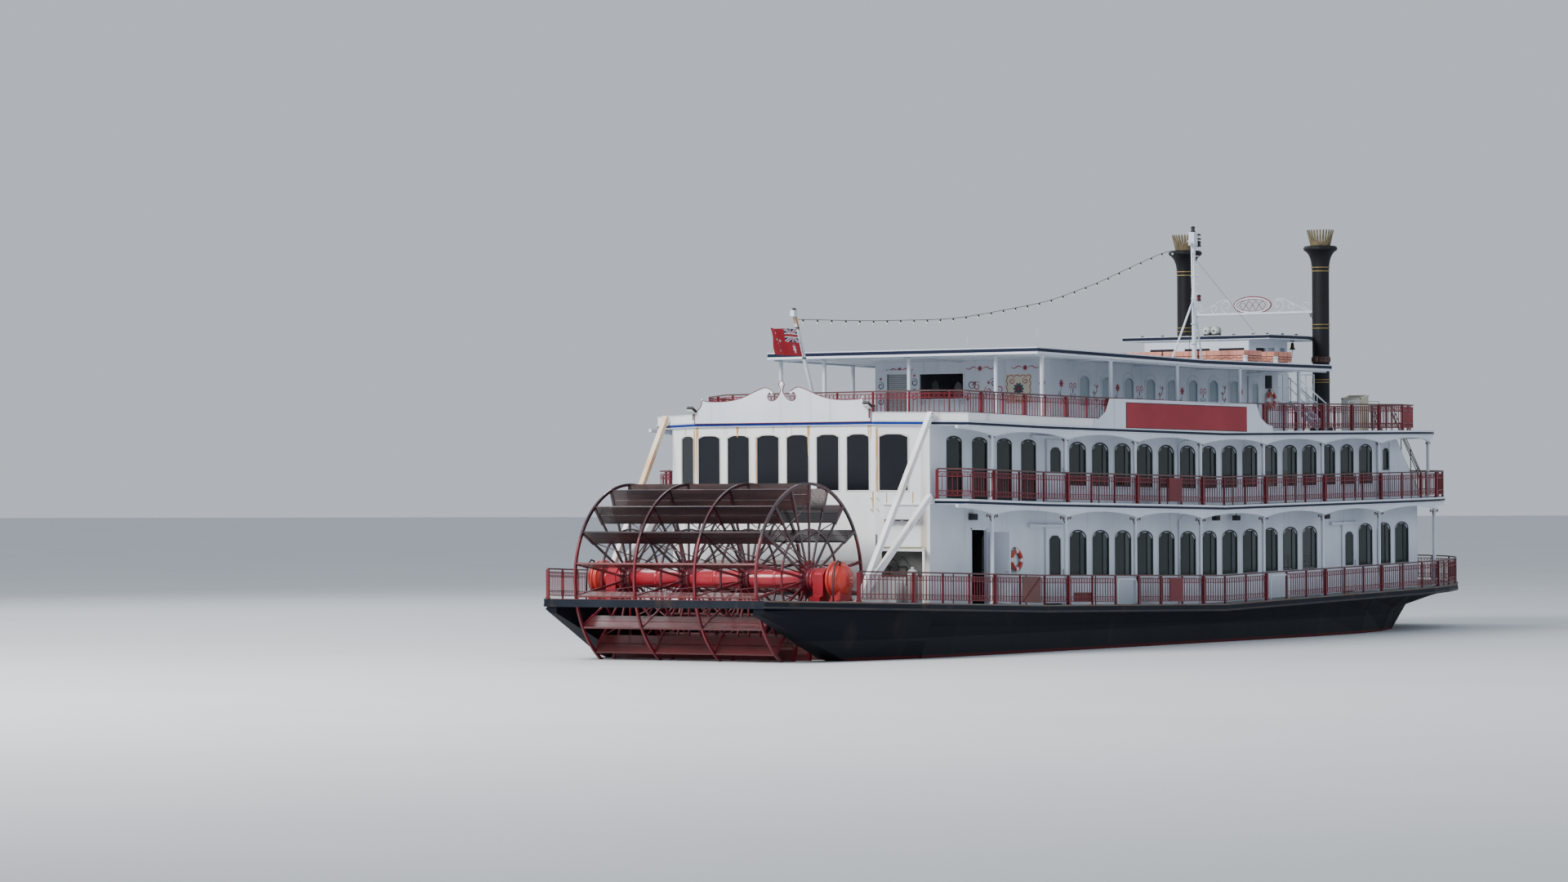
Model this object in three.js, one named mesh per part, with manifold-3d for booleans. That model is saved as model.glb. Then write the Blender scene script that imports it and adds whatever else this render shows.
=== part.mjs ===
// Stern-wheel passenger steamer, as a 1:2 scale model.
// All tables below are the full-size boat in metres: X forward from the paddle-wheel axis,
// Y to port, Z up from the waterline. toModel() turns them into model millimetres with the
// origin on the waterline amidships.
import * as THREE from 'three';
import { mergeVertices } from 'three/addons/utils/BufferGeometryUtils.js';
import Module from 'manifold-3d';

const wasm = await Module();
wasm.setup();

// ---------------------------------------------------------------- driving dimensions (full-size metres)
const MM_PER_M = 500;        // 1:2
const X_MID = 21.6;          // amidships, measured from the wheel axis
const G = 0.0008;            // gap between touching pieces, 0.4 mm in the model
const RUN = 0.016;           // running clearance, 8 mm in the model
const SNAP = 0.08;           // mm in the model

// sheer: every upper piece is lifted by sheerQ(x) * sheerC(z)
const STATION = [-3.75, 10.03, 22.35, 37, 47.1];
const sheerCurve = (x) => (x < 7 ? 256 + 21 * (7 - x) : x > 38 ? 225 + 10 * (x - 38) : (x - 23) ** 2);
const SHEER_0 = 0.00142, SHEER_Z = 0.000085;

const Z_MAIN = 1.335, T_MAIN = 0.26;       // main deck top and thickness
const Z_UPPER = 4.77, T_UPPER = 0.17;
const Z_PROM = 7.36, T_PROM = 0.17;
const Z_CANOPY = 9.84, T_CANOPY = 0.22;
const CANOPY_FALL = 0.0086, CANOPY_LEVEL_X = 26;   // the canopy drops forward, and is at Z_CANOPY here
const Z_WH_ROOF = 10.97, T_WH_ROOF = 0.16;
const BULWARK_H = 0.24;

const WHEEL_Z = 2.55, WHEEL_R = 3.06, WHEEL_HUB_R = 0.53;
const PADDLES = 18, PADDLE_DEPTH = 0.70, PADDLE_T = 0.06;
const FRAME_Y = [-3.45, -1.15, 1.15, 3.45], FRAME_T = 0.12;
const SHAFT_R = 0.29, JOURNAL_R = 0.2;
const WELL = { x0: -3.30, x1: 3.42, hw: 3.72 };

const HOUSE_HW = 5.02, WALL_T = 0.1;
const STERN_X = 3.78, STERN_HW = 3.49, CORNER_X = 4.65, STERN_T = 0.12;
const MAIN_FRONT_X = 39.47, UPPER_FRONT_X = 37.2;
const TOP_AFT_X = 14.75, TOP_FRONT_X = 31.2, TOP_HW = 3.5, TOP_T = 0.1;
const TOWER = { x0: 31.38, x1: 34.4, hw: 2.2 };
const COLUMN_Y = 5.92, COLUMN_R = 0.07;
const COLUMN_X = [6.99, 11.67, 16.32, 20.89, 25.5, 30.01, 34.49];
const BOW_COLUMN = [39.7, 5.42];
const SIDE_END = 36;          // the deck edge runs straight to here
const RAIL_Y_IN = 0.055;      // rail centre line inboard of the deck edge
const RAIL_H = 1.02;
const VALANCE = { crown: 0.10, foot: 0.30, t: 0.10, in: 0.085 };
const STACK = { x: 35.78, y: 2.89, r: 0.32 };

// plan outlines: x, half-width
const MAIN_PLAN = [[-3.65, 4.2], [-2, 4.72], [0, 5.35], [1.9, 5.98], [3, 6.1], [36, 6.1], [39, 5.98], [41, 5.6], [43, 4.98], [44.6, 4.2], [45.8, 3.2], [46.6, 2.05], [47.0, 0.9], [47.06, 0]];
const UPPER_PLAN = [[3.90 + G, 3.457], [4.652, 4.776], [4.652, 5.2], [5.3, 6.07], [36, 6.07], [38, 5.98], [40, 5.72], [41.5, 5.18], [43, 4.42], [44.4, 3.4], [45.3, 2.2], [45.8, 1.1], [46, 0]];
const PROM_PLAN = [[3.70, 3.52], [4.6, 5.1], [5.3, 6.07], [36, 6.07], [38, 5.92], [39.7, 5.52], [41, 4.98], [42.5, 4.2], [43.7, 3.2], [44.4, 2.2], [44.8, 1.1], [45, 0]];
const WH_ROOF_PLAN = [[31.3, 3.09], [33.3, 3.09], [34.3, 3.02], [34.95, 2.86], [35.35, 2.66], [35.8, 2.5], [36.15, 2.35], [36.45, 2.0], [36.65, 1.3], [36.75, 0]];

// ---------------------------------------------------------------- helpers
function solid(geometry) {
  const g = geometry.index ? geometry.toNonIndexed() : geometry.clone();
  for (const a of Object.keys(g.attributes)) if (a !== 'position') g.deleteAttribute(a);
  const m = mergeVertices(g, 1e-5);
  return new wasm.Manifold(new wasm.Mesh({
    numProp: 3,
    vertProperties: new Float32Array(m.attributes.position.array),
    triVerts: new Uint32Array(m.index.array),
  }));
}
const join = (list) => list.reduce((a, b) => a.add(b));
const cut = (a, list) => list.reduce((x, y) => x.subtract(y), a);

function box(x0, x1, y0, y1, z0, z1) {
  const g = new THREE.BoxGeometry(x1 - x0, y1 - y0, z1 - z0);
  g.translate((x0 + x1) / 2, (y0 + y1) / 2, (z0 + z1) / 2);
  return solid(g);
}
// pts in the plane's two axes, extruded along the third: 'z' takes x,y; 'y' takes x,z; 'x' takes y,z
const BASIS = {
  z: [[1, 0, 0], [0, 1, 0], [0, 0, 1]],
  y: [[1, 0, 0], [0, 0, 1], [0, -1, 0]],
  x: [[0, 1, 0], [0, 0, 1], [1, 0, 0]],
};
function prism(axis, pts, a, b, holes = []) {
  const outline = pts.map((p) => new THREE.Vector2(p[0], p[1]));
  if (THREE.ShapeUtils.isClockWise(outline)) outline.reverse();
  const shape = new THREE.Shape(outline);
  for (const h of holes) shape.holes.push(new THREE.Path(h.map((p) => new THREE.Vector2(p[0], p[1]))));
  const g = new THREE.ExtrudeGeometry(shape, { depth: b - a, bevelEnabled: false, curveSegments: 1 });
  const [u, v, w] = BASIS[axis].map((e) => new THREE.Vector3(...e));
  g.applyMatrix4(new THREE.Matrix4().makeBasis(u, v, w));
  if (axis === 'z') g.translate(0, 0, a);
  if (axis === 'x') g.translate(a, 0, 0);
  if (axis === 'y') g.translate(0, b, 0);
  return solid(g);
}
const circle = (cx, cy, r, n, turn = 0) => Array.from({ length: n }, (_, i) => [cx + r * Math.cos(turn + (2 * Math.PI * i) / n), cy + r * Math.sin(turn + (2 * Math.PI * i) / n)]);
function rod(a, b, r, n = 8) {
  const A = new THREE.Vector3(...a), B = new THREE.Vector3(...b);
  const g = new THREE.CylinderGeometry(r, r, A.distanceTo(B), n);
  g.applyQuaternion(new THREE.Quaternion().setFromUnitVectors(new THREE.Vector3(0, 1, 0), B.clone().sub(A).normalize()));
  g.translate(...A.add(B).multiplyScalar(0.5).toArray());
  return solid(g);
}
function bar(a, b, w, h) {
  const A = new THREE.Vector3(...a), B = new THREE.Vector3(...b);
  const dir = B.clone().sub(A).normalize();
  const side = new THREE.Vector3(0, 0, 1).cross(dir);
  if (side.length() < 1e-6) side.set(1, 0, 0);
  side.normalize();
  const up = dir.clone().cross(side).normalize();
  const g = new THREE.BoxGeometry(w, h, A.distanceTo(B));
  g.applyMatrix4(new THREE.Matrix4().makeBasis(side, up, dir));
  g.translate(...A.add(B).multiplyScalar(0.5).toArray());
  return solid(g);
}
// profile [r, h] turned about a vertical axis through x, y
function turned(profile, x, y, n) {
  const g = new THREE.LatheGeometry(profile.map((p) => new THREE.Vector2(p[0], p[1])), n);
  g.applyMatrix4(new THREE.Matrix4().makeBasis(new THREE.Vector3(1, 0, 0), new THREE.Vector3(0, 0, 1), new THREE.Vector3(0, -1, 0)));
  g.translate(x, y, 0);
  return solid(g);
}
// polyline in plan, widened to both sides
function offsetLine(path, d) {
  return path.map((p, i) => {
    const a = path[Math.max(i - 1, 0)], b = path[Math.min(i + 1, path.length - 1)];
    const t1 = i > 0 ? unit(a, p) : unit(p, b), t2 = i < path.length - 1 ? unit(p, b) : t1;
    const n1 = [-t1[1], t1[0]], n2 = [-t2[1], t2[0]];
    const k = d / Math.max(0.4, 1 + n1[0] * n2[0] + n1[1] * n2[1]);
    return [p[0] + (n1[0] + n2[0]) * k, p[1] + (n1[1] + n2[1]) * k];
  });
}
const unit = (a, b) => { const l = Math.hypot(b[0] - a[0], b[1] - a[1]); return [(b[0] - a[0]) / l, (b[1] - a[1]) / l]; };
function strip(path, w, z0, z1) {
  const left = offsetLine(path, w / 2), right = offsetLine(path, -w / 2);
  return prism('z', [...right, ...left.reverse()], z0, z1);
}
const mirror = (m) => m.mirror([0, 1, 0]);
// closed plan from a half plan
function plan(half, grow = 0) {
  const h = half.map(([x, w]) => [x, w === 0 ? 0 : w + grow]);
  const stb = h.map(([x, w]) => [x, -w]);
  const prt = h.filter(([, w]) => w > 0).reverse().map(([x, w]) => [x, w]);
  return [...stb, ...prt];
}
// open line along a half plan, offset inboard, from aft starboard round the bow to aft port
function edgeLine(half, inboard, portAft = half[0], stbAft = half[0]) {
  const line = [...half.map(([x, w]) => [x, -w]), ...half.filter(([, w]) => w > 0).reverse().map(([x, w]) => [x, w])];
  return offsetLine(line, inboard);
}
// round-topped opening: centre, width, bottom, top
function arch(c, w, z0, z1, rise = 0.22, n = 3) {
  const pts = [[c - w / 2, z0], [c + w / 2, z0], [c + w / 2, z1 - rise]];
  for (let i = 1; i < n; i++) {
    const t = (i / n) * Math.PI;
    pts.push([c + (w / 2) * Math.cos(t), z1 - rise + rise * Math.sin(t)]);
  }
  pts.push([c - w / 2, z1 - rise]);
  return pts;
}

// ---------------------------------------------------------------- sheer
const stationQ = STATION.map(sheerCurve);
function sheerQ(x) {
  if (x <= STATION[0]) return stationQ[0] + ((stationQ[1] - stationQ[0]) / (STATION[1] - STATION[0])) * (x - STATION[0]);
  for (let i = 1; i < STATION.length; i++) {
    if (x <= STATION[i]) return stationQ[i - 1] + ((stationQ[i] - stationQ[i - 1]) * (x - STATION[i - 1])) / (STATION[i] - STATION[i - 1]);
  }
  return stationQ[stationQ.length - 1];
}
const sheerC = (z) => SHEER_0 - SHEER_Z * z;
const lift = (x, z) => sheerQ(x) * (z >= 1 ? sheerC(z) : z <= 0 ? 0 : sheerC(1) * z);
const slope = (x, z, d = 0.3) => (lift(x + d, z) - lift(x - d, z)) / (2 * d);

// Triangles of a solid, cut at the stations so that they can follow the sheer.
function trianglesOf(m) {
  const mesh = m.getMesh(), v = mesh.vertProperties, n = mesh.numProp, out = [];
  for (let i = 0; i < mesh.triVerts.length; i += 3) {
    out.push([0, 1, 2].map((k) => { const j = mesh.triVerts[i + k] * n; return [v[j], v[j + 1], v[j + 2]]; }));
  }
  return out;
}
function splitAt(polys, x) {
  const out = [];
  const cross = (a, b) => {
    const [p, q] = a[0] < b[0] || (a[0] === b[0] && (a[1] < b[1] || (a[1] === b[1] && a[2] < b[2]))) ? [a, b] : [b, a];
    const t = (x - p[0]) / (q[0] - p[0]);
    return [x, p[1] + (q[1] - p[1]) * t, p[2] + (q[2] - p[2]) * t];
  };
  for (const poly of polys) {
    const s = poly.map((p) => (Math.abs(p[0] - x) < 1e-4 ? 0 : p[0] < x ? -1 : 1));
    if (!(s.includes(-1) && s.includes(1))) { out.push(poly); continue; }
    const lo = [], hi = [];
    poly.forEach((p, i) => {
      const q = poly[(i + 1) % poly.length], sp = s[i], sq = s[(i + 1) % poly.length];
      if (sp <= 0) lo.push(p);
      if (sp >= 0) hi.push(p);
      if (sp * sq < 0) { const c = cross(p, q); lo.push(c); hi.push(c); }
    });
    out.push(lo, hi);
  }
  return out;
}
function geometryFrom(m, sheared) {
  let polys = trianglesOf(m);
  if (sheared) for (const x of STATION) polys = splitAt(polys, x);
  const pos = [];
  for (const poly of polys) {
    for (let i = 1; i + 1 < poly.length; i++) {
      for (const p of [poly[0], poly[i], poly[i + 1]]) {
        const z = sheared ? p[2] + lift(p[0], p[2]) : p[2];
        pos.push((p[0] - X_MID) * MM_PER_M, p[1] * MM_PER_M, z * MM_PER_M);
      }
    }
  }
  const g = new THREE.BufferGeometry().setAttribute('position', new THREE.Float32BufferAttribute(pos, 3));
  const merged = mergeVertices(g, 1e-3);
  // vertices closer than SNAP become one, and the triangles that this flattens are left out
  const P = merged.attributes.position, same = Array.from({ length: P.count }, (_, i) => i);
  const order = same.slice().sort((a, b) => P.getX(a) - P.getX(b));
  for (let i = 0; i < order.length; i++) {
    for (let j = i + 1; j < order.length && P.getX(order[j]) - P.getX(order[i]) < SNAP; j++) {
      const [a, b] = [order[i], order[j]];
      if (Math.abs(P.getY(a) - P.getY(b)) < SNAP && Math.abs(P.getZ(a) - P.getZ(b)) < SNAP && same[b] === b) same[b] = same[a];
    }
  }
  const idx = Array.from(merged.index.array, (i) => same[i]), keep = [];
  for (let i = 0; i < idx.length; i += 3) if (idx[i] !== idx[i + 1] && idx[i + 1] !== idx[i + 2] && idx[i] !== idx[i + 2]) keep.push(idx[i], idx[i + 1], idx[i + 2]);
  merged.setIndex(keep);
  merged.computeVertexNormals();
  return merged;
}

const root = new THREE.Group();
const PAINT = {
  white: [0xdfe3e8, 0.45, 0], deck: [0x8f9496, 0.8, 0], hull: [0x23303a, 0.5, 0], maroon: [0x6d1420, 0.5, 0],
  red: [0xa01824, 0.45, 0], orange: [0xc8361e, 0.45, 0], black: [0x1c1d20, 0.5, 0], gold: [0xa8873a, 0.4, 0.7],
  steel: [0x6a6d70, 0.4, 0.9], salmon: [0xc97a62, 0.8, 0], brass: [0x2c2a26, 0.4, 0.8], flag: [0xa3222c, 0.9, 0],
};
function add(name, m, paint, sheared = true) {
  const [color, roughness, metalness] = PAINT[paint];
  const mesh = new THREE.Mesh(geometryFrom(m, sheared), new THREE.MeshStandardMaterial({ color, roughness, metalness }));
  mesh.name = name;
  root.add(mesh);
}

// ---------------------------------------------------------------- hull
// station x, bottom z, half-width of the flat, of the bilge, at the waterline, at the knuckle, at the deck
const HULL = [
  [3.40, -0.10, 4.9, 5.2, 5.45, 5.6, 5.85],
  [5.0, -0.55, 4.9, 5.3, 5.6, 5.75, 5.95],
  [7.5, -1.25, 4.8, 5.3, 5.65, 5.8, 5.95],
  [9.5, -1.5, 4.7, 5.35, 5.68, 5.8, 5.95],
  [30.0, -1.5, 4.7, 5.35, 5.68, 5.8, 5.95],
  [34.0, -1.5, 4.2, 4.95, 5.4, 5.65, 5.93],
  [37.0, -1.5, 3.3, 4.1, 4.75, 5.2, 5.88],
  [40.0, -1.45, 2.0, 2.75, 3.65, 4.25, 5.6],
  [42.2, -1.3, 0.9, 1.6, 2.55, 3.15, 4.95],
  [44.0, -0.9, 0.15, 0.6, 1.15, 1.75, 4.1],
  [44.9, -0.4, 0.06, 0.12, 0.3, 0.7, 3.4],
];
const KNUCKLE_Z = 0.72, HULL_TOP = Z_MAIN - T_MAIN - G;
function loft(sections) {
  const n = sections[0].length, pos = [];
  const tri = (a, b, c) => pos.push(...a, ...b, ...c);
  for (let i = 0; i + 1 < sections.length; i++) {
    for (let j = 0; j < n; j++) {
      const k = (j + 1) % n, A = sections[i][j], B = sections[i][k], C = sections[i + 1][k], D = sections[i + 1][j];
      tri(A, C, B); tri(A, D, C);
    }
  }
  for (const [s, flip] of [[sections[0], false], [sections[sections.length - 1], true]]) {
    const flat = s.map((p) => new THREE.Vector2(p[1], p[2]));
    const way = Math.sign(THREE.ShapeUtils.area(flat)) * (flip ? -1 : 1);
    for (const [a, b, c] of THREE.ShapeUtils.triangulateShape(flat.slice(), [])) {
      const turn = Math.sign(THREE.ShapeUtils.area([flat[a], flat[b], flat[c]]));
      if (turn === way) tri(s[a], s[b], s[c]); else tri(s[a], s[c], s[b]);
    }
  }
  const g = new THREE.BufferGeometry().setAttribute('position', new THREE.Float32BufferAttribute(pos, 3));
  const m = solid(g);
  return m.volume() < 0 ? solid(flipped(g)) : m;
}
function flipped(g) {
  const a = g.attributes.position.array.slice();
  for (let i = 0; i < a.length; i += 9) for (let k = 0; k < 3; k++) [a[i + 3 + k], a[i + 6 + k]] = [a[i + 6 + k], a[i + 3 + k]];
  return new THREE.BufferGeometry().setAttribute('position', new THREE.Float32BufferAttribute(a, 3));
}
const hullSections = HULL.map(([x, zb, wf, wb, ww, wk, wd]) => {
  const zBilge = zb + Math.min(0.45, (0 - zb) * 0.55) * (zb < -0.15 ? 1 : 0.5);
  const half = [[wf, zb], [wb, zBilge], [ww, Math.max(0.0, zBilge + 0.03)], [wk, KNUCKLE_Z], [wd, HULL_TOP]];
  const ring = [...half.map(([y, z]) => [x, y, z]), ...half.slice().reverse().map(([y, z]) => [x, -y, z])];
  return ring;
});
// side hulls that carry the wheel beams aft: station x, bottom z, outer half-width at the bottom and at the deck
const QUARTER = [[-3.6, 0.92, 4.0, 4.12], [-2.0, 0.55, 4.3, 4.62], [0.0, 0.05, 4.7, 5.22], [2.0, -0.25, 5.0, 5.8], [3.42, -0.3, 5.2, 5.85]];
const quarterSections = QUARTER.map(([x, zb, wb, wd]) => [[x, WELL.hw + 0.03, zb], [x, wb, zb], [x, (wb + wd) / 2 + 0.12, (zb + HULL_TOP) / 2], [x, wd, HULL_TOP], [x, WELL.hw + 0.03, HULL_TOP]]);
const quarter = loft(quarterSections);
const RUDDER = { x: 5.0, y: 2.1, fore: 0.5, aft: 1.1, t: 0.07, bottom: -1.42, stockR: 0.09, boreR: 0.115 };
const rakeZ = (x) => -0.10 - 0.281 * (x - 3.4);
const bores = [-1, 1].map((s) => rod([RUDDER.x, s * RUDDER.y, -1.0], [RUDDER.x, s * RUDDER.y, 0.2], RUDDER.boreR, 10));
add('hull', cut(join([loft(hullSections), quarter, mirror(quarter)]), bores), 'hull');

// ---------------------------------------------------------------- main deck with its guard and the wheel beam
const wellHole = [[WELL.x0, -WELL.hw], [WELL.x1, -WELL.hw], [WELL.x1, WELL.hw], [WELL.x0, WELL.hw]];
add('main_deck', prism('z', plan(MAIN_PLAN), Z_MAIN - T_MAIN, Z_MAIN, [wellHole]), 'deck');

// stair wells in the promenade deck
const BOW_STAIR = { x0: 37.7, x1: 40.1, y0: 3.95, y1: 4.8 };
add('upper_deck', prism('z', plan(UPPER_PLAN), Z_UPPER - T_UPPER, Z_UPPER), 'deck');
const stairHole = (s) => [[BOW_STAIR.x0 - 0.25, s * (BOW_STAIR.y0 - 0.06)], [BOW_STAIR.x1 - 0.3, s * (BOW_STAIR.y0 - 0.06)], [BOW_STAIR.x1 - 0.3, s * (BOW_STAIR.y1 + 0.06)], [BOW_STAIR.x0 - 0.25, s * (BOW_STAIR.y1 + 0.06)]];
const bulwarkLine = offsetLine([[14.3, -6.07], [5.3, -6.07], [4.6, -5.1], [3.70, -3.52], [3.70, 3.52], [4.6, 5.1], [5.3, 6.07], [14.3, 6.07]], -0.035);
add('promenade_deck', prism('z', plan(PROM_PLAN), Z_PROM - T_PROM, Z_PROM, [stairHole(-1), stairHole(1)]), 'deck');
add('aft_bulwark', strip(bulwarkLine, 0.07, Z_PROM + G, Z_PROM + BULWARK_H), 'white');

// ---------------------------------------------------------------- colonnades: valance with arches, and the columns under it
// plan nodes of each bay, from the aft wall to the bow; the arch drops to "foot" at each column
function colonnade(zTop, zFloor, half, aftX) {
  const parts = [];
  const lineAt = (x) => { // outer face follows the deck edge
    for (let i = 1; i < half.length; i++) if (x <= half[i][0] + 1e-9) {
      const [x0, w0] = half[i - 1], [x1, w1] = half[i];
      return w0 + ((w1 - w0) * (x - x0)) / (x1 - x0);
    }
    return 0;
  };
  const bays = [[aftX, COLUMN_X[0]], ...COLUMN_X.slice(1).map((x, i) => [COLUMN_X[i], x]), [COLUMN_X[COLUMN_X.length - 1], BOW_COLUMN[0]]];
  const ARC = 4, side = [];
  bays.forEach(([x0, x1], k) => {
    for (let i = k === 0 ? 0 : 1; i <= ARC; i++) {
      const t = i / ARC, arc = k === 0 ? 1 - t * t : 1 - (2 * t - 1) ** 2;
      side.push([x0 + (x1 - x0) * t, zTop - VALANCE.foot + (VALANCE.foot - VALANCE.crown) * arc]);
    }
  });
  const straight = side.filter(([x]) => x <= SIDE_END), bend = side.filter(([x]) => x > SIDE_END);
  for (const s of [-1, 1]) {
    const yo = half.find(([x]) => x > 5)[1] - VALANCE.in + VALANCE.t / 2, yi = yo - VALANCE.t;
    parts.push(prism('y', [...straight, [SIDE_END, straight[straight.length - 1][1]], [SIDE_END, zTop], [aftX, zTop]], Math.min(s * yi, s * yo), Math.max(s * yi, s * yo)));
    let from = [SIDE_END - 0.02, straight[straight.length - 1][1]];
    for (const to of bend) {
      parts.push(wedgePanel([from[0] - 0.004, s * (lineAt(from[0]) - VALANCE.in)], [to[0] + 0.004, s * (lineAt(to[0]) - VALANCE.in)], VALANCE.t, zTop, from[1], to[1]));
      from = to;
    }
    for (const x of COLUMN_X) parts.push(column(x, s * COLUMN_Y, zFloor + G, zTop - 0.03));
    parts.push(column(BOW_COLUMN[0], s * (lineAt(BOW_COLUMN[0]) - 0.15), zFloor + G, zTop - 0.03));
  }
  // shallow valance round the bow
  const bow = half.filter(([x]) => x > BOW_COLUMN[0]);
  const w0 = lineAt(BOW_COLUMN[0]);
  const line = offsetLine([[BOW_COLUMN[0] - 0.03, -w0], ...bow.map(([x, w]) => [x, -w]), ...bow.filter(([, w]) => w > 0).reverse().map(([x, w]) => [x, w]), [BOW_COLUMN[0] - 0.03, w0]], VALANCE.in);
  parts.push(strip(line, VALANCE.t, zTop - 0.14, zTop));
  return join(parts);
}
function column(x, y, z0, z1) {
  return prism('z', circle(x, y, COLUMN_R, 4, Math.PI / 4), z0, z1);
}
// vertical panel between two plan points, with its own bottom height at each
function wedgePanel(A, C, t, zTop, za, zc) {
  const len = Math.hypot(C[0] - A[0], C[1] - A[1]);
  const shape = [[0, za], [len, zc], [len, zTop], [0, zTop]];
  const g = new THREE.ExtrudeGeometry(new THREE.Shape(shape.map((p) => new THREE.Vector2(...p))), { depth: t, bevelEnabled: false });
  g.translate(0, 0, -t / 2);
  const u = new THREE.Vector3((C[0] - A[0]) / len, (C[1] - A[1]) / len, 0), v = new THREE.Vector3(0, 0, 1);
  g.applyMatrix4(new THREE.Matrix4().makeBasis(u, v, u.clone().cross(v)));
  g.translate(A[0], A[1], 0);
  return solid(g);
}
add('main_colonnade', colonnade(Z_UPPER - T_UPPER - G, Z_MAIN, UPPER_PLAN.slice(2), 4.72), 'white');
add('upper_colonnade', colonnade(Z_PROM - T_PROM - G, Z_UPPER, PROM_PLAN.slice(1), 4.72), 'white');

// ---------------------------------------------------------------- railings
// posts stand on the path about "every" apart, at both ends and beside the columns
function posts(path, every, z0, z1, w = 0.034) {
  const at = [0];
  for (let i = 0; i + 1 < path.length; i++) at.push(at[i] + Math.hypot(path[i + 1][0] - path[i][0], path[i + 1][1] - path[i][1]));
  const L = at[at.length - 1], n = Math.max(1, Math.round(L / every)), out = [];
  for (let k = 0; k <= n; k++) {
    const d = Math.min(Math.max((L * k) / n, w / 2), L - w / 2);
    let i = 0;
    while (i + 2 < path.length && at[i + 1] < d) i++;
    const t = (d - at[i]) / (at[i + 1] - at[i]);
    const x = path[i][0] + (path[i + 1][0] - path[i][0]) * t, y = path[i][1] + (path[i + 1][1] - path[i][1]) * t;
    out.push(box(x - w / 2, x + w / 2, y - w / 2, y + w / 2, z0, z1));
  }
  return out;
}
const POST_PITCH = 4.58;      // the heavy posts; the two lighter ones in each bay are finish
function rail(path, z) {
  return join([
    strip(path, 0.05, z + RAIL_H - 0.05, z + RAIL_H),
    ...posts(path, POST_PITCH, z + G, z + RAIL_H - 0.02),
  ]);
}
const mainRailLine = (() => {
  const full = edgeLine(MAIN_PLAN, 0.07);
  const n = MAIN_PLAN.length;
  const stb = full.slice(2, n), prt = full.slice(n);         // starboard starts beside the wheel axis
  const last = prt[prt.length - 1];
  return [...stb, ...prt.slice(0, -1), [last[0] + 0.12, last[1] + 0.02]];
})();
add('main_rail', rail(mainRailLine, Z_MAIN), 'maroon');
const upperRailLine = (() => {
  const line = [[4.74, 5.24], [5.33, 6.07], [36, 6.07], [38, 5.98], [40, 5.72], [41.5, 5.18], [43, 4.42], [44.4, 3.4], [45.3, 2.2], [45.8, 1.1], [46, 0]];
  return offsetLine([...line.map(([x, w]) => [x, -w]), ...line.filter(([, w]) => w).reverse()], RAIL_Y_IN);
})();
add('upper_rail', rail(upperRailLine, Z_UPPER), 'maroon');
// one line round the promenade deck, open by a hand's breadth at the middle of its forward end
const topRailLine = (() => {
  const aft = offsetLine([[14.0, -6.07], [5.3, -6.07], [4.6, -5.1], [3.70, -3.52], [3.70, 3.52], [4.6, 5.1], [5.3, 6.07], [14.0, 6.07]], -0.115).slice(1, -1);
  return [[39.3, -0.04], [39.3, -4.95], [36.4, -5.955], ...aft.slice(0, 2), [5.5, 3.45], [7.2, 5.3], [8.4, 5.955], [36.4, 5.955], [39.3, 4.95], [39.3, 0.04]];
})();
add('top_rail', join([
  strip(topRailLine, 0.05, Z_PROM + 0.95, Z_PROM + 1.0),
  ...posts(topRailLine, POST_PITCH, Z_PROM + G, Z_PROM + 0.98),
]), 'maroon');

// ---------------------------------------------------------------- stern wall, two storeys high, with its tall windows
const sternOuter = [[CORNER_X, -HOUSE_HW], [STERN_X, -STERN_HW], [STERN_X, STERN_HW], [CORNER_X, HOUSE_HW]];
const sternInner = [[CORNER_X, -4.778], [3.90, -3.459], [3.90, 3.459], [CORNER_X, 4.778]];
const STERN_WINDOW = { w: 0.86, z0: 5.04, z1: 6.90, pitch: 1.16, n: 6, rise: 0.1 };
const CORNER_WINDOW = { w: 0.92, c: -0.28 };   // width, and centre measured from the middle of the slanting wall
const sternCuts = [];
for (let i = 0; i < STERN_WINDOW.n; i++) {
  const y = (i - (STERN_WINDOW.n - 1) / 2) * STERN_WINDOW.pitch + 0.05;
  sternCuts.push(prism('x', arch(y, STERN_WINDOW.w, STERN_WINDOW.z0, STERN_WINDOW.z1, STERN_WINDOW.rise), 3.5, 4.1));
}
for (const s of [-1, 1]) {
  const mid = [(STERN_X + CORNER_X) / 2, s * (STERN_HW + HOUSE_HW) / 2];
  const g = new THREE.ExtrudeGeometry(new THREE.Shape(arch(CORNER_WINDOW.c, CORNER_WINDOW.w, STERN_WINDOW.z0, STERN_WINDOW.z1, STERN_WINDOW.rise).map((p) => new THREE.Vector2(...p))), { depth: 0.8, bevelEnabled: false });
  g.translate(0, 0, -0.4);
  const L = Math.hypot(CORNER_X - STERN_X, HOUSE_HW - STERN_HW);
  const u = new THREE.Vector3((CORNER_X - STERN_X) / L, (s * (HOUSE_HW - STERN_HW)) / L, 0), v = new THREE.Vector3(0, 0, 1);
  g.applyMatrix4(new THREE.Matrix4().makeBasis(u, v, u.clone().cross(v)));
  g.translate(mid[0], mid[1], 0);
  sternCuts.push(solid(g));
}
add('stern_wall', cut(prism('z', [...sternOuter, ...sternInner.slice().reverse()], Z_MAIN + G, Z_PROM - T_PROM - G), sternCuts), 'white');

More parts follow.
